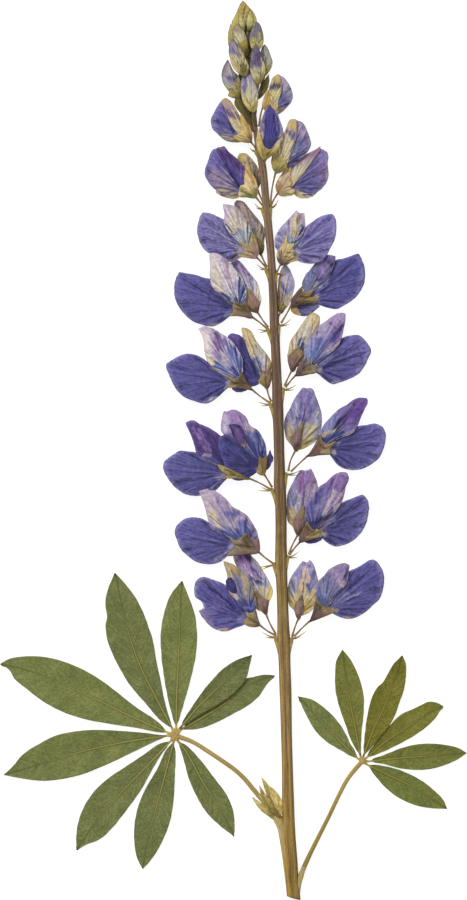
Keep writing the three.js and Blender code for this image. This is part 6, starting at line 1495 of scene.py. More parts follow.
flower("right_6", [(9.8, 38.9), (9.4, 38.1), (8.9, 37.2)],
    petal("wings", 0, ("afb1c4", "8980b4", "7c73ab"), [
        (12.2, 41), (12.6, 42.8), (14, 44.4), (15.1, 46.8), (16.3, 47.8), (17.8, 48.8), (19.4, 49.4),
        (20.6, 49.6, 1), (21.2, 48.8), (21.5, 46.9), (21.4, 45.2), (20.8, 43.4), (19.8, 41.5), (18.8, 40),
        (17.2, 39.2), (15.4, 39.1), (13.8, 39.5), (12.6, 40.3)], [
        (14, 43.5, 20.4, 48.8, 0.3, "45468a", 0.85), (17.4, 46.8, 20.4, 49, 0.45, "4a4d90", 0.75),
        (16, 45.4, 19.4, 47.8, 0.3, "8a7eb4", 0.7), (21.1, 47.6, 20.4, 43.2, 0.45, "9185ba", 0.8),
        (12.7, 42.4, 13.6, 44.2, 0.55, "919db4", 0.88), (14.2, 39.6, 17.6, 39.6, 0.25, "9690b0", 0.8),
        (13.6, 42.2, 20.6, 45.6, 0.18, "37356a", 0.7), (13.6, 41.4, 18.8, 41.6, 0.16, DEEP, 0.6),
        (14.6, 46.6, 14.2, 45, 0.3, "423d6c", 0.5), (16, 42.8, 19, 44.2, 0.7, "615c98", 0.6),
        (12.8, 41.2, 13.6, 41.2, 0.35, "b7b7b8", 0.8), (14, 40.4, 16.6, 40.4, 0.5, "6e679e", 0.6)],
        edge="958bb6", claw=0.2, folds=[((13.8, 43.4), (20.4, 48.8), -0.25, 0.3)]),
    petal("banner", 0.4, ("97a5ba", "aba3be", "b6aac2"), [
        (11.8, 41.8), (9.8, 41.3), (8.7, 42.4), (8.5, 44), (8.8, 45.1), (9.5, 46.3), (10.8, 47.8),
        (12, 49.1), (13.1, 50.3, 1), (13.6, 49.7), (14.8, 49.7, 1), (14.9, 48.2), (14.8, 46.3),
        (13.8, 44.2), (12.9, 42.8)], [
        (9.6, 45.2, 9.3, 42.8, 0.75, "7d7aa6", 0.88), (12.9, 49.2, 12.4, 45.2, 0.5, "d3c496", 0.96),
        (13.4, 48.8, 13.1, 45, 0.12, "a98f4a", 0.88), (14.3, 46.8, 13.9, 45.1, 0.32, "43385a", 0.94),
        (14.4, 49.2, 14.5, 47.6, 0.3, "b59b9d", 0.9), (11, 48, 10.4, 45.6, 0.55, "a49ab8", 0.8),
        (11.2, 44.4, 12.2, 43.8, 0.5, "9aa7be", 0.88), (12.2, 43.6, 13.8, 44.1, 0.18, "3f4662", 0.88),
        (11.7, 48.8, 11.6, 46.4, 0.12, "7d7498", 0.8), (13.2, 49.9, 12.4, 49, 0.25, "b0a6c6", 0.8),
        (12.5, 46.4, 13.3, 44.6, 0.18, "b8973e", 0.75)], edge="b2a8bc", streaks=0.9, claw=0.3,
        folds=[((13.2, 49.5), (12.6, 44.4), 0.3, 0.3)]),
    calyx(0.8, ("644e48", "cdb486", "d6c294"), [
        (9.9, 38.6), (9.1, 39.6), (9, 41.2), (9.5, 42.2), (10.3, 43.5), (11.2, 45.3, 1), (11.4, 43.3),
        (12.8, 43.3, 1), (12.2, 42.1), (13.1, 41.7, 1), (12.4, 40.9), (13.8, 39.8, 1), (12.2, 39.6),
        (11.2, 38.8)], [
        (9.5, 39.4, 9.6, 41.4, 0.42, "64504a", 0.9), (10.6, 43.4, 11.1, 44.8, 0.2, "b59c4e", 0.9),
        (10.8, 41.8, 12, 42.6, 0.3, "c0a766", 0.85), (11, 39.6, 13, 40, 0.3, "8f8040", 0.85),
        (10.4, 41.4, 12.6, 41.3, 0.12, "4f3c28", 0.8), (10.2, 40.4, 12, 40.4, 0.14, "5f4a30", 0.8)]))
flower("left_7a", [(4.6, 53), (5.3, 52.1), (6.3, 51)],
    petal("rim", 0, ("a8985c", "b9ab7e", "b5a77c"), [
        (1.6, 53.9), (0.2, 54.2), (-1.6, 54.2), (-3.6, 54.8), (-3.8, 54.1), (-2.6, 53.3), (-0.8, 52.8),
        (0.8, 52.9)], [
        (-2.9, 53.8, -1.9, 53.3, 0.3, "4a4e90", 0.9)], edge="c2b48a", vein=0.1, streaks=0.2, grain=0.6),
    petal("wing", 0.25, ("6a648e", "9a8aa8", "7069a2"), [
        (1.9, 53.9), (1, 55.2), (-0.6, 58), (-2, 61), (-3.4, 63.2, 1), (-4.2, 63.2), (-4.9, 62.3),
        (-5.4, 60.8), (-6, 59.2), (-6.2, 58), (-5.6, 56.5), (-4.6, 55.2), (-3.4, 54.3), (-1.5, 53.6),
        (0.4, 53.4)], [
        (-4.2, 61.8, -2.6, 59.2, 0.9, "645b98", 0.9), (-4.6, 57.8, -2.2, 56, 1.1, "95839c", 0.9),
        (-2.6, 61.6, 0.4, 55.8, 0.35, "4f4a82", 0.85), (0.9, 54.6, -3.6, 57.4, 0.15, "6a5e86", 0.7),
        (-1, 55, -3.6, 55.2, 0.3, "9a8a94", 0.7), (-2, 60.6, 0.8, 55.2, 0.1, "24214a", 0.85),
        (-3.6, 54.5, 0.4, 53.8, 0.2, "b8aa84", 0.8), (-5.6, 59.6, -5.4, 57.2, 0.3, "6a62a0", 0.8)],
        edge="7d75a8", streaks=0.8, claw=0.35),
    petal("banner", 0.5, ("4f4a80", "554888", "4f3a72"), [
        (1.9, 53.9), (2.2, 55.6), (2.3, 57.2), (2.4, 58.7), (1.5, 60.1), (0.3, 61.4), (-1.2, 62.6),
        (-2.2, 63.7), (-2.9, 63.5, 1), (-3.5, 63.4), (-2.3, 60.6), (-1, 57.9), (0.5, 55.4)], [
        (-3.2, 63.2, 1.2, 54.8, 0.2, "1f1c3c", 0.96), (1, 58.6, 2, 57.6, 0.5, "85669e", 0.88),
        (-2.9, 63.5, -1.9, 63.1, 0.3, "a87a6c", 0.92), (-1.8, 62.4, 1, 59.4, 0.45, "4d3868", 0.9),
        (0.8, 57.4, 1.9, 55.8, 0.5, "5f5a9a", 0.85), (-0.8, 61.6, 1.6, 58.2, 0.12, "3a2a52", 0.8),
        (-2.2, 61.8, 0.2, 57.6, 0.25, "55509a", 0.6)], edge="6f5a80", claw=0.35),
    calyx(0.85, ("989452", "e0c798", "cfaa6c"), [
        (4.7, 52.7), (5, 54), (4.9, 55.4), (4.4, 56.9), (3.5, 58.4), (2.4, 60.2, 1), (2.3, 58.4),
        (2.1, 56.8), (2.1, 55.6), (1.3, 55.5, 1), (1, 54.2), (0.9, 53.2), (2.6, 53), (3.8, 52.7)], [
        (1.4, 54.8, 3.8, 53.3, 0.6, "918d50", 0.92), (2.9, 58.6, 4.5, 55.6, 0.3, "b8893f", 0.92),
        (2.7, 57, 3.3, 55.4, 0.45, "dabf8e", 0.92), (1.6, 53.4, 4.4, 53.1, 0.2, "6a6a34", 0.8),
        (4.4, 53.6, 4.7, 54.6, 0.3, "8a6c4c", 0.8), (2.4, 59.6, 2.5, 58.4, 0.15, "a8873f", 0.85)],
        edge="b59a5c"))
flower("left_7b", [(4.9, 54.8), (5.6, 53), (6.4, 51.3)],
    petal("banner", 0, ("7a6951", "b4a492", "c0ac79"), [
        (4.9, 54.6), (5.6, 56), (5.6, 57.6), (4.9, 59.6), (3.8, 61.2), (2.6, 62.3), (1.1, 62.4, 1),
        (0.7, 61.2), (1.4, 60), (2.4, 58), (3.6, 55.8)], [
        (1.1, 61.9, 1.6, 60.6, 0.42, "b9a155", 0.92), (3, 61.2, 4.6, 58.8, 0.6, "9a8c81", 0.88),
        (2.2, 61.6, 2.6, 60, 0.2, "cabc88", 0.85), (4.7, 58.6, 5.2, 56.2, 0.5, "5f5040", 0.9),
        (2, 60.6, 3.2, 58, 0.18, "745f37", 0.8), (3.4, 61.4, 4.8, 59.2, 0.12, "62514e", 0.75)],
        edge="a8966c", vein_tone="624f3b", streaks=0.8, claw=0.4))
flower("right_7", [(9.2, 53.9), (8.5, 52.8), (7.7, 51.2)],
    petal("rim", 0, ("b8ab7c", "c6ba92", "beb192"), [
        (12.4, 54), (13.6, 53), (15, 52.9), (16.4, 53.2), (17.4, 54.1), (15.6, 54.6), (13.6, 54.6)], [
        (15, 53.6, 16.3, 53.6, 0.25, "4a4a90", 0.9)], edge="cabf9c", vein=0.1, streaks=0.2, grain=0.6),
    petal("wing", 0.25, ("706ba3", "686195", "7f74a5"), [
        (11.8, 54.8), (13.4, 56.9), (15.1, 58.9), (16.8, 61.2), (18.2, 63.4, 1), (19.2, 63), (19.8, 62.1),
        (19.7, 60.2), (19.9, 57.7), (19.4, 56.2), (18.2, 54.7), (16.9, 53.9), (15, 53.8), (13.2, 54.1)], [
        (12.2, 55.1, 18.1, 62.9, 0.2, "252249", 0.94), (19.7, 60.4, 19.6, 57, 0.25, "bca1ab", 0.88),
        (18.2, 60, 18.4, 56.4, 0.5, "8b6c97", 0.8), (13.6, 55, 18.6, 56.4, 0.16, DEEP, 0.7),
        (13.4, 55.4, 19, 59, 0.16, DEEP, 0.7), (18.7, 62.4, 19.4, 60.8, 0.35, "76669d", 0.75),
        (13.2, 54.6, 15.4, 54.6, 0.4, "7373ab", 0.8), (16.4, 59.6, 17.4, 61.4, 0.5, "615995", 0.6),
        (13, 54.2, 14.4, 54.1, 0.2, "c0b589", 0.8)], edge="a690ab", claw=0.3),
    petal("banner", 0.5, ("cbbb90", "c9bba4", "8d7090"), [
        (11.8, 54.8), (11.5, 56.6), (11.6, 58.9), (13.2, 60.6), (15.1, 62.1), (16.9, 63), (18.2, 63.9, 1),
        (18.2, 63.3), (16.8, 61.2), (15.1, 58.7), (13.4, 56.8)], [
        (12.6, 57.4, 14.6, 59.6, 0.7, "d0c3a8", 0.94), (12, 59.2, 16.4, 62.6, 0.4, "8d7290", 0.92),
        (16.8, 62.6, 18.1, 63.7, 0.3, "a47c80", 0.92), (11.8, 59.6, 15.6, 62.4, 0.12, "3c3348", 0.85),
        (15, 60.2, 16.8, 62.2, 0.25, "a08da0", 0.75), (12, 56.4, 13, 57.4, 0.3, "d3c28e", 0.85)],
        edge="a48c98", claw=0.4, vein=0.15, grain=0.45),
    calyx(0.8, ("ae8e6c", "dec4a0", "cdb688"), [
        (9.1, 53.8), (8.7, 55.3), (9.2, 56.7), (10.1, 58.1), (10.8, 59.4), (11.8, 60.9, 1), (12, 59),
        (12, 57), (12.3, 56.1, 1), (11.8, 55.1), (12.9, 54.7, 1), (12.6, 53.7), (11.2, 53.3),
        (9.8, 53.3)], [
        (9.2, 54.2, 9.5, 56.2, 0.42, "a5825c", 0.85), (10.6, 58.2, 11, 55.8, 0.55, "c9a98a", 0.85),
        (10.2, 53.8, 12.4, 54.1, 0.35, "a39a5c", 0.92), (11.4, 59.8, 11.4, 58.6, 0.25, "a88c48", 0.9),
        (10.2, 54.9, 11.9, 55.2, 0.16, "8a6a38", 0.8), (11.8, 55.6, 11.9, 57.2, 0.15, "a8894a", 0.8)],
        edge="a88a5c"))
flower("left_8", [(3.6, 64.5), (4.1, 63.9), (4.7, 63.1)],
    petal("wing", 0, ("c0b28c", "5b568f", "6c64a0"), [
        (2.8, 64.9), (1.8, 65.8), (0.5, 66.4), (-0.6, 68), (-1.5, 69.8), (-2.1, 71.6), (-2.5, 73.5, 1),
        (-3.4, 72.3), (-4.2, 70.8), (-4.9, 69.2), (-4.5, 67.4), (-3.4, 66.3), (-2.2, 65.2), (-0.6, 64.6),
        (1.2, 64.6)], [
        (-2.3, 72.8, -0.2, 66.8, 0.24, "2f2c58", 0.85), (-4.5, 69.4, -3.8, 67.2, 0.45, "8a7cb0", 0.8),
        (-2, 65.8, 0.6, 65.5, 0.5, "c6b892", 0.92), (-3.4, 71.4, -2.2, 68.4, 0.6, "514c8a", 0.75),
        (-2.4, 67.2, -0.8, 66.2, 0.5, "8482a4", 0.8), (-3.6, 69.2, -2, 66.8, 0.14, "3f3b74", 0.75),
        (-1.6, 64.9, 1, 64.9, 0.2, "b09c5c", 0.85)], edge="8a80ae", claw=0.35),
    petal("banner", 0.4, ("c4ac70", "dccca4", "bc9c84"), [
        (3.1, 64.7), (3.6, 65.6), (3.5, 67.1), (2.6, 68.6), (1.2, 70.2), (0.2, 71.7), (-0.6, 73.1),
        (-1.8, 73.9, 1), (-2.5, 73.5), (-1.9, 71.4), (-1.3, 69.8), (-0.4, 68), (0.6, 66.6), (1.8, 65.4)], [
        (-1.4, 71, 0.2, 69.6, 0.6, "5f5384", 0.94), (-1.6, 72.2, -0.6, 71.8, 0.4, "a088a0", 0.85),
        (-0.6, 69, 1.4, 67, 0.6, "d3c59c", 0.92), (-2, 73.5, -0.9, 72.9, 0.4, "b2906c", 0.9),
        (0.4, 70.8, 1.6, 69, 0.2, "8d6c50", 0.8), (1.6, 68.6, 2.8, 66.4, 0.5, "c2a05c", 0.85),
        (0.2, 68.6, 1.4, 66.8, 0.1, "a8945c", 0.8)], edge="a88e68", streaks=0.8, claw=0.35, vein=0.2,
        grain=0.5),
    calyx(0.8, ("97784c", "d0b478", "c49c54"), [
        (3.7, 64.3), (3.8, 66.2), (3.3, 67.7), (2.5, 69), (1.4, 70.7, 1), (1.4, 68.8), (1.5, 67.2),
        (1.1, 66.3), (-0.2, 65.7, 1), (0.6, 64.9), (2, 64.5)], [
        (2.8, 68.2, 3.4, 66, 0.3, "b58c42", 0.9), (1.8, 69.4, 2, 67.4, 0.25, "c9ad6c", 0.9),
        (0.2, 65.5, 2.2, 65.1, 0.25, "bba664", 0.9), (1.2, 66, 3.2, 65.4, 0.12, "7a5c34", 0.8),
        (3.2, 64.8, 3.5, 65.6, 0.25, "846848", 0.8)], edge="b59a5c"))
flower("right_8", [(8.7, 58.1), (8.1, 55.4), (7.6, 51.4)],
    petal("wing", 0, ("5c5a8b", "847aa1", "9887a5"), [
        (10.4, 59.2), (11.7, 60.8), (12.3, 62.9), (12.9, 65.1), (13.1, 67.2), (13.1, 69.3, 1), (14.3, 68.8),
        (15.2, 67.4), (15.8, 65.8), (16.2, 64.3), (15.4, 62.5), (13.5, 60.7), (12, 59.5)], [
        # The dark streak first on the line below is painted shadow along the edge where this wing meets
        # right_7
        (12.2, 60.8, 14.2, 62.6, 0.55, "44436e", 0.88), (13.4, 63, 14.4, 64.4, 0.6, "676999", 0.85),
        (12.4, 61.6, 13.4, 63.4, 0.22, "9aa2b8", 0.8), (13.4, 68.4, 13.3, 66, 0.18, "675785", 0.75),
        (14, 68, 14.8, 65.8, 0.6, "9f8ca9", 0.85), (13.6, 66, 14.2, 64.2, 0.3, "6365a1", 0.8),
        (15.4, 64.6, 15.8, 64.2, 0.35, "6d69a1", 0.7), (11.4, 60.2, 12.4, 60.6, 0.2, "3f3a5a", 0.6)],
        edge="9a91ac", claw=0.4, streaks=0.7),
    petal("banner", 0.4, ("b8a868", "dccfa4", "c8b080"), [
        (9, 58.4), (8.1, 59.8), (7.9, 61.4), (8.3, 62.8), (9.8, 65.1), (10.5, 66.5), (11.1, 68),
        (11.8, 69.3), (13.1, 69.4, 1), (13.2, 67), (12.9, 65.1), (12.3, 62.9), (11.5, 60.8),
        (10.6, 58.9)], [
        (11.5, 67, 12.5, 65.6, 0.6, "665e90", 0.94), (11, 64.8, 11.8, 62, 0.5, "d6caa4", 0.92),
        (9, 62, 9.4, 60, 0.6, "ab9a5c", 0.8), (12.6, 64.8, 11.5, 60.8, 0.12, "4a4060", 0.88),
        (11.7, 68.8, 12.6, 68, 0.45, "c4a87a", 0.88), (9.6, 64, 10.4, 61.4, 0.16, "9a8450", 0.7),
        (12.4, 67.4, 12.9, 65.8, 0.22, "76699a", 0.85), (10.6, 66, 11.2, 64.8, 0.3, "a8987c", 0.8)],
        edge="b09a68", vein_tone="6a5a3c", streaks=0.8, claw=0.4, vein=0.15, grain=0.45),
    calyx(0.75, ("94844a", "ab9c58", "c0b074"), [
        (8.8, 57.9), (8.1, 59.1), (7.8, 60.6), (8.3, 62.3, 1), (8.8, 60.9), (9.6, 60.3), (10.9, 60.7, 1),
        (11.1, 59.4), (10.2, 58.4)], [
        (8.6, 58.6, 10.2, 59.2, 0.35, "8f7e48", 0.85), (8.3, 61.4, 8.6, 60, 0.2, "b5a468", 0.85)]))
flower("centre_8", [(6.6, 60.7), (6.4, 60.2), (6.2, 59)],
    petal("back", 0, ("cdbd8c", "8d7f9c", "80749c"), [
        (6.8, 62.2), (5.5, 63.4), (5, 65.5), (5.3, 67.2), (5.8, 69.4), (6.7, 71.4), (7.4, 72.1, 1),
        (8.7, 71.1), (9.6, 69.2), (10.3, 67.1), (10.4, 65.2), (9.5, 63.4), (8, 62.4)], [
        (5.6, 68.6, 5.7, 66.6, 0.45, "8f7f90", 0.88), (5.7, 66, 6, 63.8, 0.5, "d3c5a0", 0.94),
        (6.4, 70.6, 6.2, 68.8, 0.3, "6d5a80", 0.85), (9.8, 68.8, 10, 65.6, 0.4, "8e86b8", 0.9),
        (9.3, 64.2, 9.5, 65.4, 0.35, "cfc09a", 0.85)], edge="9e92a6"),
    petal("front", 0.5, ("45417a", "48448a", "46407c"), [
        (7.3, 62.5), (6.4, 63), (6.4, 66.8), (6.6, 70), (6.9, 71.3), (7.5, 72.4, 1), (8.4, 71), (9.1, 69),
        (9.3, 66.4), (9, 64.4), (8.2, 62.8)], [
        (6.6, 71, 6.5, 63.6, 0.1, "24214a", 0.88), (8.6, 70.2, 9.2, 66.4, 0.1, "7a70b4", 0.85),
        (7.3, 70.6, 7.4, 65, 0.4, "504b94", 0.6), (8.2, 70.6, 8.8, 66, 0.1, "2a2754", 0.8),
        (6.9, 71.6, 8.2, 70.8, 0.35, "51408a", 0.7), (6.9, 64.4, 8.4, 64, 0.4, "403c70", 0.7)],
        edge="5a5498", claw=0.3, vein=0.3, grain=0.6),
    calyx(0.95, ("a08c48", "c6ad6c", "d0bd84"), [
        (6.5, 60.4), (5.6, 61.3), (5, 62.6), (4.7, 64.2), (5, 67.2, 1), (5.8, 65), (6.3, 63.5), (7, 62.9),
        (8, 62.9), (8.8, 64), (9.7, 65.2, 1), (9.6, 63.7), (8.7, 62.3), (7.4, 61.2)], [
        (5.3, 65.6, 5.7, 63, 0.3, "cdb070", 0.85), (6.2, 62.6, 8, 62.2, 0.4, "9c8f4c", 0.88),
        (6.3, 61, 7, 61.8, 0.35, "8f7d44", 0.85), (8.9, 63.4, 9.4, 64.6, 0.2, "d3c494", 0.85),
        (5.9, 61.6, 5.6, 63.4, 0.12, "7f6a3a", 0.75)], edge="c2ab6c"))
flower("right_9", [(6.5, 73.2), (5.75, 71), (5.2, 67.9)],
    petal("wing", 0, ("c2b07a", "6d6a9a", "a498a6"), [
        (7.9, 71), (8.6, 73), (9.6, 75.2), (9.8, 77.2), (9.3, 79, 1), (10.5, 78.2), (11.5, 76.9),
        (12.2, 75.4), (12.3, 73.8), (11.2, 72.1), (9.8, 70.8), (8.9, 70.4)], [
        (10, 74.2, 11, 72.8, 0.8, "6a679a", 0.92), (9.2, 71, 10.8, 71.9, 0.35, "c3b174", 0.92),
        (10.2, 77.8, 11, 75.8, 0.6, "a89caa", 0.88), (11.6, 76.2, 11.9, 74.2, 0.3, "a49aac", 0.7),
        (11.2, 72.6, 10.4, 72, 0.2, "4f4c84", 0.8), (9.9, 76.8, 10.1, 74.6, 0.16, "5c587c", 0.75)],
        edge="9c92ac", claw=0.3),
    petal("banner", 0.4, ("c4ac68", "dccfa0", "cbb47c"), [
        (7.3, 71), (6.6, 72.8), (7, 74.8), (7.5, 76.3), (8.2, 78.2), (9.3, 79.1, 1), (9.9, 77.4),
        (10, 75.6), (9.4, 73.6), (8.9, 71.4)], [
        (8.2, 76.1, 9.8, 76.8, 0.9, "3f3a62", 0.96), (8.4, 74.6, 8.8, 72.4, 0.55, "d3c793", 0.88),
        (7, 73.6, 7.6, 72, 0.4, "b3994e", 0.8), (8.4, 78.2, 9.4, 77.2, 0.5, "c2a76e", 0.85),
        (7.9, 74.4, 8.2, 72.6, 0.12, "9c8748", 0.75)], edge="b8a470", vein_tone="6a5a3c", claw=0.4,
        vein=0.15, grain=0.45),
    calyx(0.75, ("a5884c", "cdb070", "c2a660"), [
        (6.6, 71), (5.9, 72.2), (6.2, 73.6), (7, 75.8, 1), (7.5, 74.2), (8, 72.6), (8.8, 71.9),
        (9.5, 70.9, 1), (8.8, 70.4), (7.6, 70.7)], [
        (6.4, 72.4, 6.9, 74.4, 0.35, "c09c50", 0.9), (7.6, 71.6, 8.8, 71.2, 0.3, "b5a468", 0.85)]),
    foot=1)

# Buds: node, lift from the node's layer, stalk from its top to its foot, pieces as a flower's
bud("bud_1", 0, [(3.9, 71.6), (4.1, 70), (4.6, 68)],
    petal("petal", 0.3, ("c2b583", "b9ae9e", "8f84a2"), [
        (3.8, 71.2), (2.9, 71.8), (2.2, 72.8), (1.7, 74), (1.4, 75.4), (1.45, 76.8), (1.8, 78.4),
        (2.5, 80.1, 1), (3.4, 79.2), (4.1, 77.9), (4.8, 76.2), (5.1, 74.6), (4.9, 72.6), (4.6, 71.5)], [
        (2, 78.2, 2.3, 75, 0.34, "66618e", 0.94), (2.9, 78.4, 2.9, 76.8, 0.3, "9a91bc", 0.85),
        (3.6, 78.4, 4, 76.2, 0.45, "b3a9ba", 0.85), (3.8, 76, 4.2, 74, 0.5, "cdc6b4", 0.88),
        (2.5, 79.7, 2.8, 78.9, 0.35, "7a6688", 0.85), (2.7, 77.6, 2.9, 74.8, 0.1, "d3cbb0", 0.85),
        (3, 75.4, 3.2, 73, 0.3, "cfc38e", 0.8), (3.4, 78, 3.8, 74.8, 0.08, "7f7890", 0.75)], dome=0.7),
    calyx(0.7, ("a8985c", "cdbf8c", "d4c99e"), [
        (3.9, 70.7), (3.1, 71.2), (2.4, 72.2), (1.7, 73.4), (1.5, 75.1, 1), (2.3, 73.8), (2.8, 75.3, 1),
        (3.2, 73.6), (3.9, 73.3), (4.9, 74.4, 1), (5, 72.6), (4.6, 71.1)], [
        (2.4, 73.2, 3.4, 71.8, 0.3, "cbb86c", 0.85), (4.2, 71.4, 4.6, 72.8, 0.35, "a8954c", 0.85),
        (2.7, 73.8, 3.4, 72, 0.1, "6f6230", 0.8), (3.6, 73.2, 4, 71.6, 0.1, "6f6230", 0.8)]))
bud("bud_2", 0, [(0.9, 74.4), (1.9, 71.8), (3.3, 68.8), (4.1, 66.8)],
    petal("petal", 0.2, ("b3a878", "9c959c", "847b94"), [
        (0.8, 74.6), (-0.8, 75.2), (-1.7, 76.2), (-2.3, 77.2), (-2.6, 78.6), (-2.45, 80), (-1.9, 81.2),
        (-1.3, 82.2, 1), (-0.8, 81), (-0.2, 79.8), (0.6, 79), (1.3, 78), (1.5, 76)], [
        (-2.2, 80, -2.3, 78.6, 0.3, "7d749c", 0.85), (-1.4, 81, -0.9, 79.2, 0.4, "bfae9c", 0.9),
        (-1.2, 78.3, 0.4, 77.9, 0.4, "5f5a82", 0.92), (-2, 77.8, -1.2, 77, 0.35, "b3aeb0", 0.85),
        (-1.4, 76.6, -0.4, 76, 0.4, "c3b684", 0.85), (-1.9, 81.2, -1.5, 81.8, 0.2, "6f6080", 0.8),
        (0.2, 78.8, 0.9, 78.2, 0.2, "2f2c3c", 0.8)], dome=0.5),
    calyx(0.6, ("6f6334", "9f9158", "b5a668"), [
        (1.3, 73.9), (-0.2, 74), (-1.4, 74.4, 1), (-1, 75.2), (-1.8, 76.4, 1), (-0.5, 75.9), (0.1, 76.4),
        (0.35, 77.6), (0.9, 78.7, 1), (1.5, 77.2), (1.7, 75.4)], [
        (-1, 74.7, 0.4, 74.6, 0.3, "a3934c", 0.88), (-0.8, 75.7, 0.4, 75.6, 0.12, "5c5028", 0.85),
        (0.8, 78.2, 1, 76, 0.25, "84783e", 0.8), (0.3, 77.2, 0.5, 75.8, 0.1, "4a4020", 0.85)]),
    petal("bract", 0.5, ("4f4a22", "605a2a", "6f6a36"), [
        (4.4, 66.9), (3.2, 68.4), (1.9, 70.2), (0.8, 71.6), (0.1, 72.6), (0.3, 74.2, 1), (1.4, 73.6),
        (2.4, 72.4), (3.3, 71.2), (4, 69.6), (4.7, 68)], [
        (0.6, 73.4, 3, 69.8, 0.35, "57501f", 0.7), (0.9, 73.6, 3.9, 69.2, 0.1, "332c14", 0.8),
        (3.7, 70.6, 4.2, 68.8, 0.25, "3d341a", 0.8)], vein_tone="332c14", dome=0.4))
bud("bud_3", 0.6, [(2, 79), (2.4, 77.8), (2.9, 76.3)],
    petal("petal", 0.3, ("b5a968", "b9ad8c", "857894"), [
        (1.9, 78.7), (0.4, 79.7), (-0.4, 80.9), (-0.85, 82.2), (-1.1, 83.8), (-0.9, 85.2), (-0.35, 86.3, 1),
        (0.5, 85.2), (1.4, 84.2), (2, 82.6), (2.7, 81.2), (2.9, 80)], [
        (-0.6, 85.6, 0.2, 84.4, 0.5, "9c8c9c", 0.9), (-0.7, 83.5, 0.9, 82.8, 0.62, "6a6090", 0.92),
        (0.3, 82.2, 0.9, 81.2, 0.4, "c6bb8c", 0.88), (-0.5, 86, -0.1, 85.6, 0.25, "54445c", 0.85),
        (0.8, 84.4, 1.5, 82.8, 0.3, "b0a490", 0.85), (-0.8, 82.6, -0.5, 81.4, 0.25, "c9c2a0", 0.85),
        (0.6, 85, 1.6, 82.6, 0.09, "5a5430", 0.8)], dome=0.6),
    calyx(0.65, ("8d8046", "c8bb8c", "cfc49a"), [
        (2.2, 78.1), (1, 78.9), (0, 79.8), (-0.6, 81), (-0.95, 82.9, 1), (-0.2, 81.7), (0.2, 82.6, 1),
        (0.8, 81.5), (1.3, 81.4), (1.9, 83.6, 1), (2.5, 81.8), (3.1, 80.3), (2.9, 79)], [
        (1.4, 81, 2.3, 79.4, 0.5, "6a5f2a", 0.88), (0, 80.8, 1, 79.6, 0.35, "b9ac64", 0.85),
        (1.9, 83, 2.1, 81.6, 0.22, "9a8a44", 0.85), (1, 81.3, 1.6, 79.6, 0.1, "4a4220", 0.85)]))
bud("bud_4", 0.6, [(5.1, 77), (4.9, 76), (4.4, 74.8)],
    petal("petal", 0.3, ("bdb389", "6f667e", "695c80"), [
        (5, 76.9), (4.2, 77.9), (3.6, 79), (3.3, 80.4), (3.5, 82), (3.9, 83.6), (4.55, 85.3, 1),
        (5.2, 84.1), (5.7, 82.8), (6.2, 81.3), (6.6, 80), (6.3, 78.6), (5.7, 77.4)], [
        (4.4, 84.4, 4.8, 83, 0.45, "6c5c7a", 0.85), (4, 82.1, 4.2, 81, 0.35, "585070", 0.85),
        (5.1, 82.8, 5.2, 81.8, 0.38, "524868", 0.85), (4.6, 83, 4.8, 81.6, 0.16, "463e62", 0.85),
        (4.4, 79.4, 5.2, 79.2, 0.6, "c0b78c", 0.9), (5.8, 82, 6.1, 80.6, 0.18, "b9ac7c", 0.85),
        (3.6, 82, 3.9, 83.2, 0.2, "9a8c80", 0.8)], dome=0.65),
    calyx(0.75, ("928750", "c6bb90", "cdc2a0"), [
        (5.1, 76.3), (4.2, 77.5), (3.6, 78.8), (3.25, 80.2, 1), (3.9, 79.4), (4.7, 79.3), (5.6, 79.8),
        (6.05, 81.6, 1), (6.6, 80.2), (6.4, 78.6), (5.7, 77)], [
        (4.6, 78.6, 4.2, 79.4, 0.4, "bdb68c", 0.85), (5.2, 77, 5.8, 78.4, 0.45, "8f8444", 0.88),
        (5.9, 81.6, 6.2, 79.8, 0.22, "c2b67c", 0.85), (5.4, 80, 5.5, 78, 0.09, "5c5228", 0.8)]))
bud("bud_5", 0, [(6.3, 78.8), (6, 77.2), (5.2, 74.4)],
    petal("petal", 0.2, ("b0a262", "aea892", "97928c"), [
        (6.2, 78.6), (5.8, 80.4), (5.6, 82.4), (5.7, 84), (6, 84.8), (6.5, 85.3, 1), (7.1, 84.5),
        (7.5, 83.4), (7.9, 82.4), (8.1, 81.4), (7.7, 80.2), (7.1, 79.2)], [
        (5.95, 84, 6.1, 83, 0.26, "565268", 0.85), (7, 83.4, 7.3, 82, 0.4, "a9a99c", 0.88),
        (6.9, 84.2, 6.6, 84.8, 0.3, "a89a8c", 0.8), (7.4, 81.4, 7.7, 81, 0.3, "c0b88c", 0.8),
        (6.4, 83.2, 6.9, 81.4, 0.1, "5c5a54", 0.8), (6.3, 82, 6.4, 80.8, 0.25, "6f6f80", 0.85)], dome=0.5),
    calyx(0.55, ("8a7c3c", "ad9e50", "bcae6a"), [
        (6.1, 78.2), (5.9, 79.8), (6.3, 81.4, 1), (6.8, 80.3), (7.7, 80.9, 1), (7.2, 79.3)]),
    petal("bract", 0.5, ("6b6430", "857c3e", "8f8648"), [
        (5, 73.6), (5.3, 75.2), (5.9, 76.6), (6.5, 77.8), (7.3, 79, 1), (7.4, 77.5), (7.2, 76.3),
        (6.6, 75.2), (5.8, 74.2)], [
        (5.6, 75, 6.9, 77.8, 0.1, "3a3218", 0.8)], vein_tone="332c14", dome=0.35))
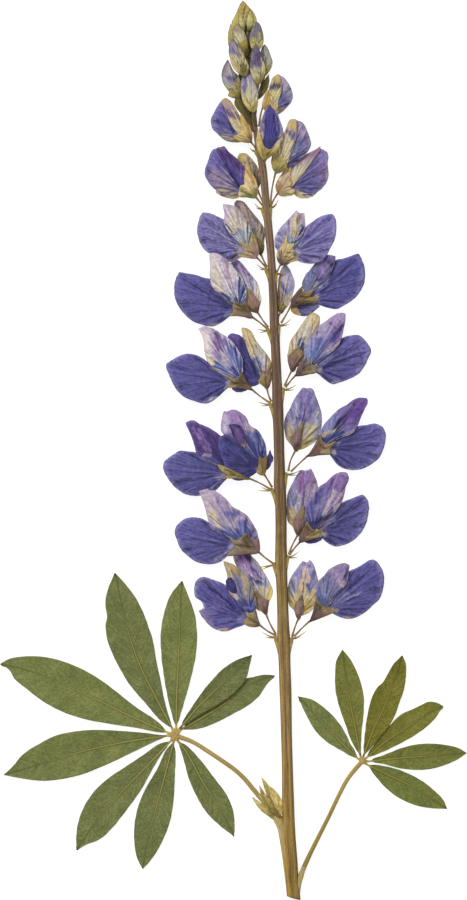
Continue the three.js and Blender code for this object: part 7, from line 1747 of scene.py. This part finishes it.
bud("bud_6", -0.5, [(2.1, 84.8), (2.3, 84), (2.8, 82.6)],
    petal("petal", 0.3, ("b5a768", "cbc298", "a08c7c"), [
        (2.2, 84.6), (1.2, 84.7), (0.4, 85.5), (-0.1, 86.6), (-0.3, 87.8), (0, 88.9), (0.6, 89.5, 1),
        (1.3, 88.8), (2, 88), (2.4, 87), (2.8, 85.8), (2.9, 84.8)], [
        (0.4, 89.1, 0.9, 87.9, 0.45, "9a8676", 0.92), (0.5, 86.8, 1.5, 85.6, 0.5, "d3cba2", 0.9),
        (1.6, 88.2, 2.5, 86.2, 0.22, "a39a70", 0.85), (-0.2, 87.4, 0.9, 85.2, 0.12, "6a6034", 0.8)],
        dome=0.6),
    calyx(0.65, ("5a5028", "85783a", "a8924c"), [
        (2.8, 82.6), (1.7, 83.9), (1.2, 84.9), (1.5, 86.7, 1), (2.1, 85.8), (2.6, 86.2, 1), (2.8, 84.9),
        (3, 83.4)], [
        (1.4, 86.3, 1.9, 85, 0.3, "b5994c", 0.9), (2.3, 84, 2.7, 83.2, 0.25, "4a4020", 0.8)]))
bud("bud_7", -1.2, [(4.2, 84.6), (3.9, 83.6), (3.4, 82.4)],
    petal("petal", 0.3, ("b5a55c", "8a857e", "766f80"), [
        (4.3, 84.3), (3.6, 84.6), (3.3, 85.6), (3.3, 86.8), (3.6, 88.2), (4.2, 89.4), (4.8, 90.1, 1),
        (5.5, 89.3), (5.9, 88.2), (6.15, 86.8), (6.1, 85.4), (5.5, 84.4)], [
        (4.9, 89.2, 4.4, 87.2, 0.55, "6c687a", 0.94), (5.4, 87.6, 5.6, 86, 0.35, "b3a870", 0.88),
        (4.2, 86, 4.8, 85.4, 0.5, "bdb064", 0.9), (4.2, 89.3, 3.7, 88.2, 0.15, "ab9c80", 0.85),
        (5.1, 89.4, 5.7, 87.6, 0.12, "8f7a70", 0.85), (5.7, 88, 5.9, 87, 0.14, "6c6a48", 0.8)], dome=0.6),
    calyx(0.65, ("8f8444", "c0b268", "cabd7c"), [
        (4.6, 83.8), (3.7, 84.3), (3.35, 85.8, 1), (4.1, 85.3), (4.9, 85.9, 1), (5.2, 85.2), (6.1, 86.2, 1),
        (6, 85), (5.4, 84.2)]))
bud("tip_buds", -1.4, [(2.5, 86), (2.6, 84.6), (2.75, 83)],
    # The axis: a dark sheet behind the tip's buds, the stalk they sit on, darkened as painted shade in the
    # gaps between them
    petal("axis", -0.1, ("4a4224", "4f4824", "554d26"), [
        (4.3, 68), (2.9, 69.4), (1.6, 71.6), (0.9, 73.8), (0.7, 76), (0.9, 78), (1, 80), (1.3, 82),
        (1.4, 84.4), (1.2, 87), (1.2, 89.6), (2.4, 90.6), (4, 89.6), (4.7, 87), (4.9, 84.6), (5.7, 82.6),
        (5.5, 79.6), (5.3, 76.6), (4.9, 74), (4.8, 71)], [
        (2.7, 87.6, 3.2, 80, 0.3, "2a2612", 0.85)], vein_tone="2a2612", dome=0.1),
    petal("scale", 0.1, ("7a6e3c", "ada25c", "b8ab64"), [
        (0.2, 84.4), (-1, 84.8), (-1.25, 86.4), (-1.15, 88), (-0.75, 89.6, 1), (0.1, 88.6), (0.6, 85.6)],
        vein_tone="4a4220"),
    petal("scale", 0.3, ("92874c", "c2b66e", "c4ae62"), [
        (0.9, 87.2), (0, 88), (-0.55, 89), (-0.4, 90.1), (0.15, 91.1), (0.75, 92.4, 1), (1.1, 91),
        (1.4, 89.6), (1.5, 88)], [
        (0.2, 90.4, 0.5, 89.2, 0.3, "bfb35c", 0.85)], vein_tone="4a4220"),
    petal("scale", 0.35, ("92874c", "beb26c", "c4ab64"), [
        (3.6, 88), (4.4, 88.9), (4.75, 90.2), (4.3, 91.6), (3.6, 92.6), (3, 93.1, 1), (3, 91.4),
        (3.2, 89.4)], vein_tone="4a4220"),
    petal("scale", 0.5, ("7d7240", "b8a762", "bf9f58"), [
        (2.1, 89.8), (1.2, 90.8), (0.7, 92), (1.1, 93.3), (1.85, 94.5, 1), (2.7, 93.6), (3.3, 92.7),
        (3.1, 91.2)], [
        (1.4, 93.2, 1.9, 94, 0.4, "b08d3c", 0.85), (1.3, 92.2, 2.6, 92.6, 0.5, "b5a052", 0.8),
        (2.1, 93, 2.1, 90.4, 0.12, "4a4a20", 0.85)], vein_tone="4a4220"),
    petal("scale", 0.75, ("8a8048", "cfc48a", "b3aa62"), [
        (2.2, 88), (1.4, 89), (1.05, 90.4), (1.1, 92.2, 1), (1.7, 91.2), (2.1, 90.2), (2.3, 89)], [
        (1.5, 90.8, 1.8, 89.2, 0.25, "c9be84", 0.88)], vein_tone="4a4220"),
    petal("scale", 0.8, ("8a8048", "cfc48a", "b3aa62"), [
        (3, 88), (2.7, 89.2), (2.8, 90.8), (3.5, 92.4, 1), (3.9, 91.2), (4, 90), (3.7, 88.8)], [
        (3.2, 90.8, 3.3, 89.4, 0.3, "c9be84", 0.88)], vein_tone="4a4220"),
    petal("scale", 0.7, ("7a733e", "bab268", "c0b76e"), [
        (2.5, 89.2), (2.1, 90.4), (2, 92.2, 1), (2.4, 91.4), (2.7, 90.4)], vein_tone="4a4220"))


# ---------------------------------------------------------------- floor, light and camera

def floor_and_light():
    """White floor that glows a little, so that shadows on it stay faint, a pale sky and a soft sun."""
    middle = (cad_low + cad_high) / 2
    bpy.ops.mesh.primitive_plane_add(size=4, location=(middle.x, middle.y, 0))
    floor = bpy.context.object
    floor.name = "floor"
    material, _, shader = blank_material("floor", 0.9, 0.0)
    shader.inputs["Base Color"].default_value = (FLOOR_GREY, FLOOR_GREY, FLOOR_GREY, 1)
    shader.inputs["Emission Color"].default_value = (1, 1, 1, 1)
    shader.inputs["Emission Strength"].default_value = FLOOR_GLOW
    floor.data.materials.append(material)
    scene = bpy.context.scene
    world = bpy.data.worlds.new("sky")
    world.use_nodes = True
    background = world.node_tree.nodes["Background"]
    background.inputs["Color"].default_value = (1, 1, 1, 1)
    background.inputs["Strength"].default_value = SKY
    scene.world = world
    sun = bpy.data.lights.new("sun", "SUN")
    sun.energy = SUN
    sun.angle = math.radians(SUN_SOFTNESS)
    lamp = bpy.data.objects.new("sun", sun)
    lamp.rotation_euler = [math.radians(turn) for turn in SUN_TURN]
    scene.collection.objects.link(lamp)
    scene.view_settings.view_transform = "Standard"
    scene.view_settings.look = "None"


def camera():
    """Camera looking straight down on the middle of the part."""
    data = bpy.data.cameras.new("camera")
    data.lens = LENS
    data.sensor_width = SENSOR
    data.sensor_fit = "AUTO"
    made = bpy.data.objects.new("camera", data)
    distance = VIEW_LENGTH * LENS / SENSOR + VIEW_PLANE
    middle = (cad_low + cad_high) / 2
    made.location = (middle.x, middle.y - 0.1 * MM, distance * MM)
    bpy.context.scene.collection.objects.link(made)
    bpy.context.scene.camera = made


floor_and_light()
camera()
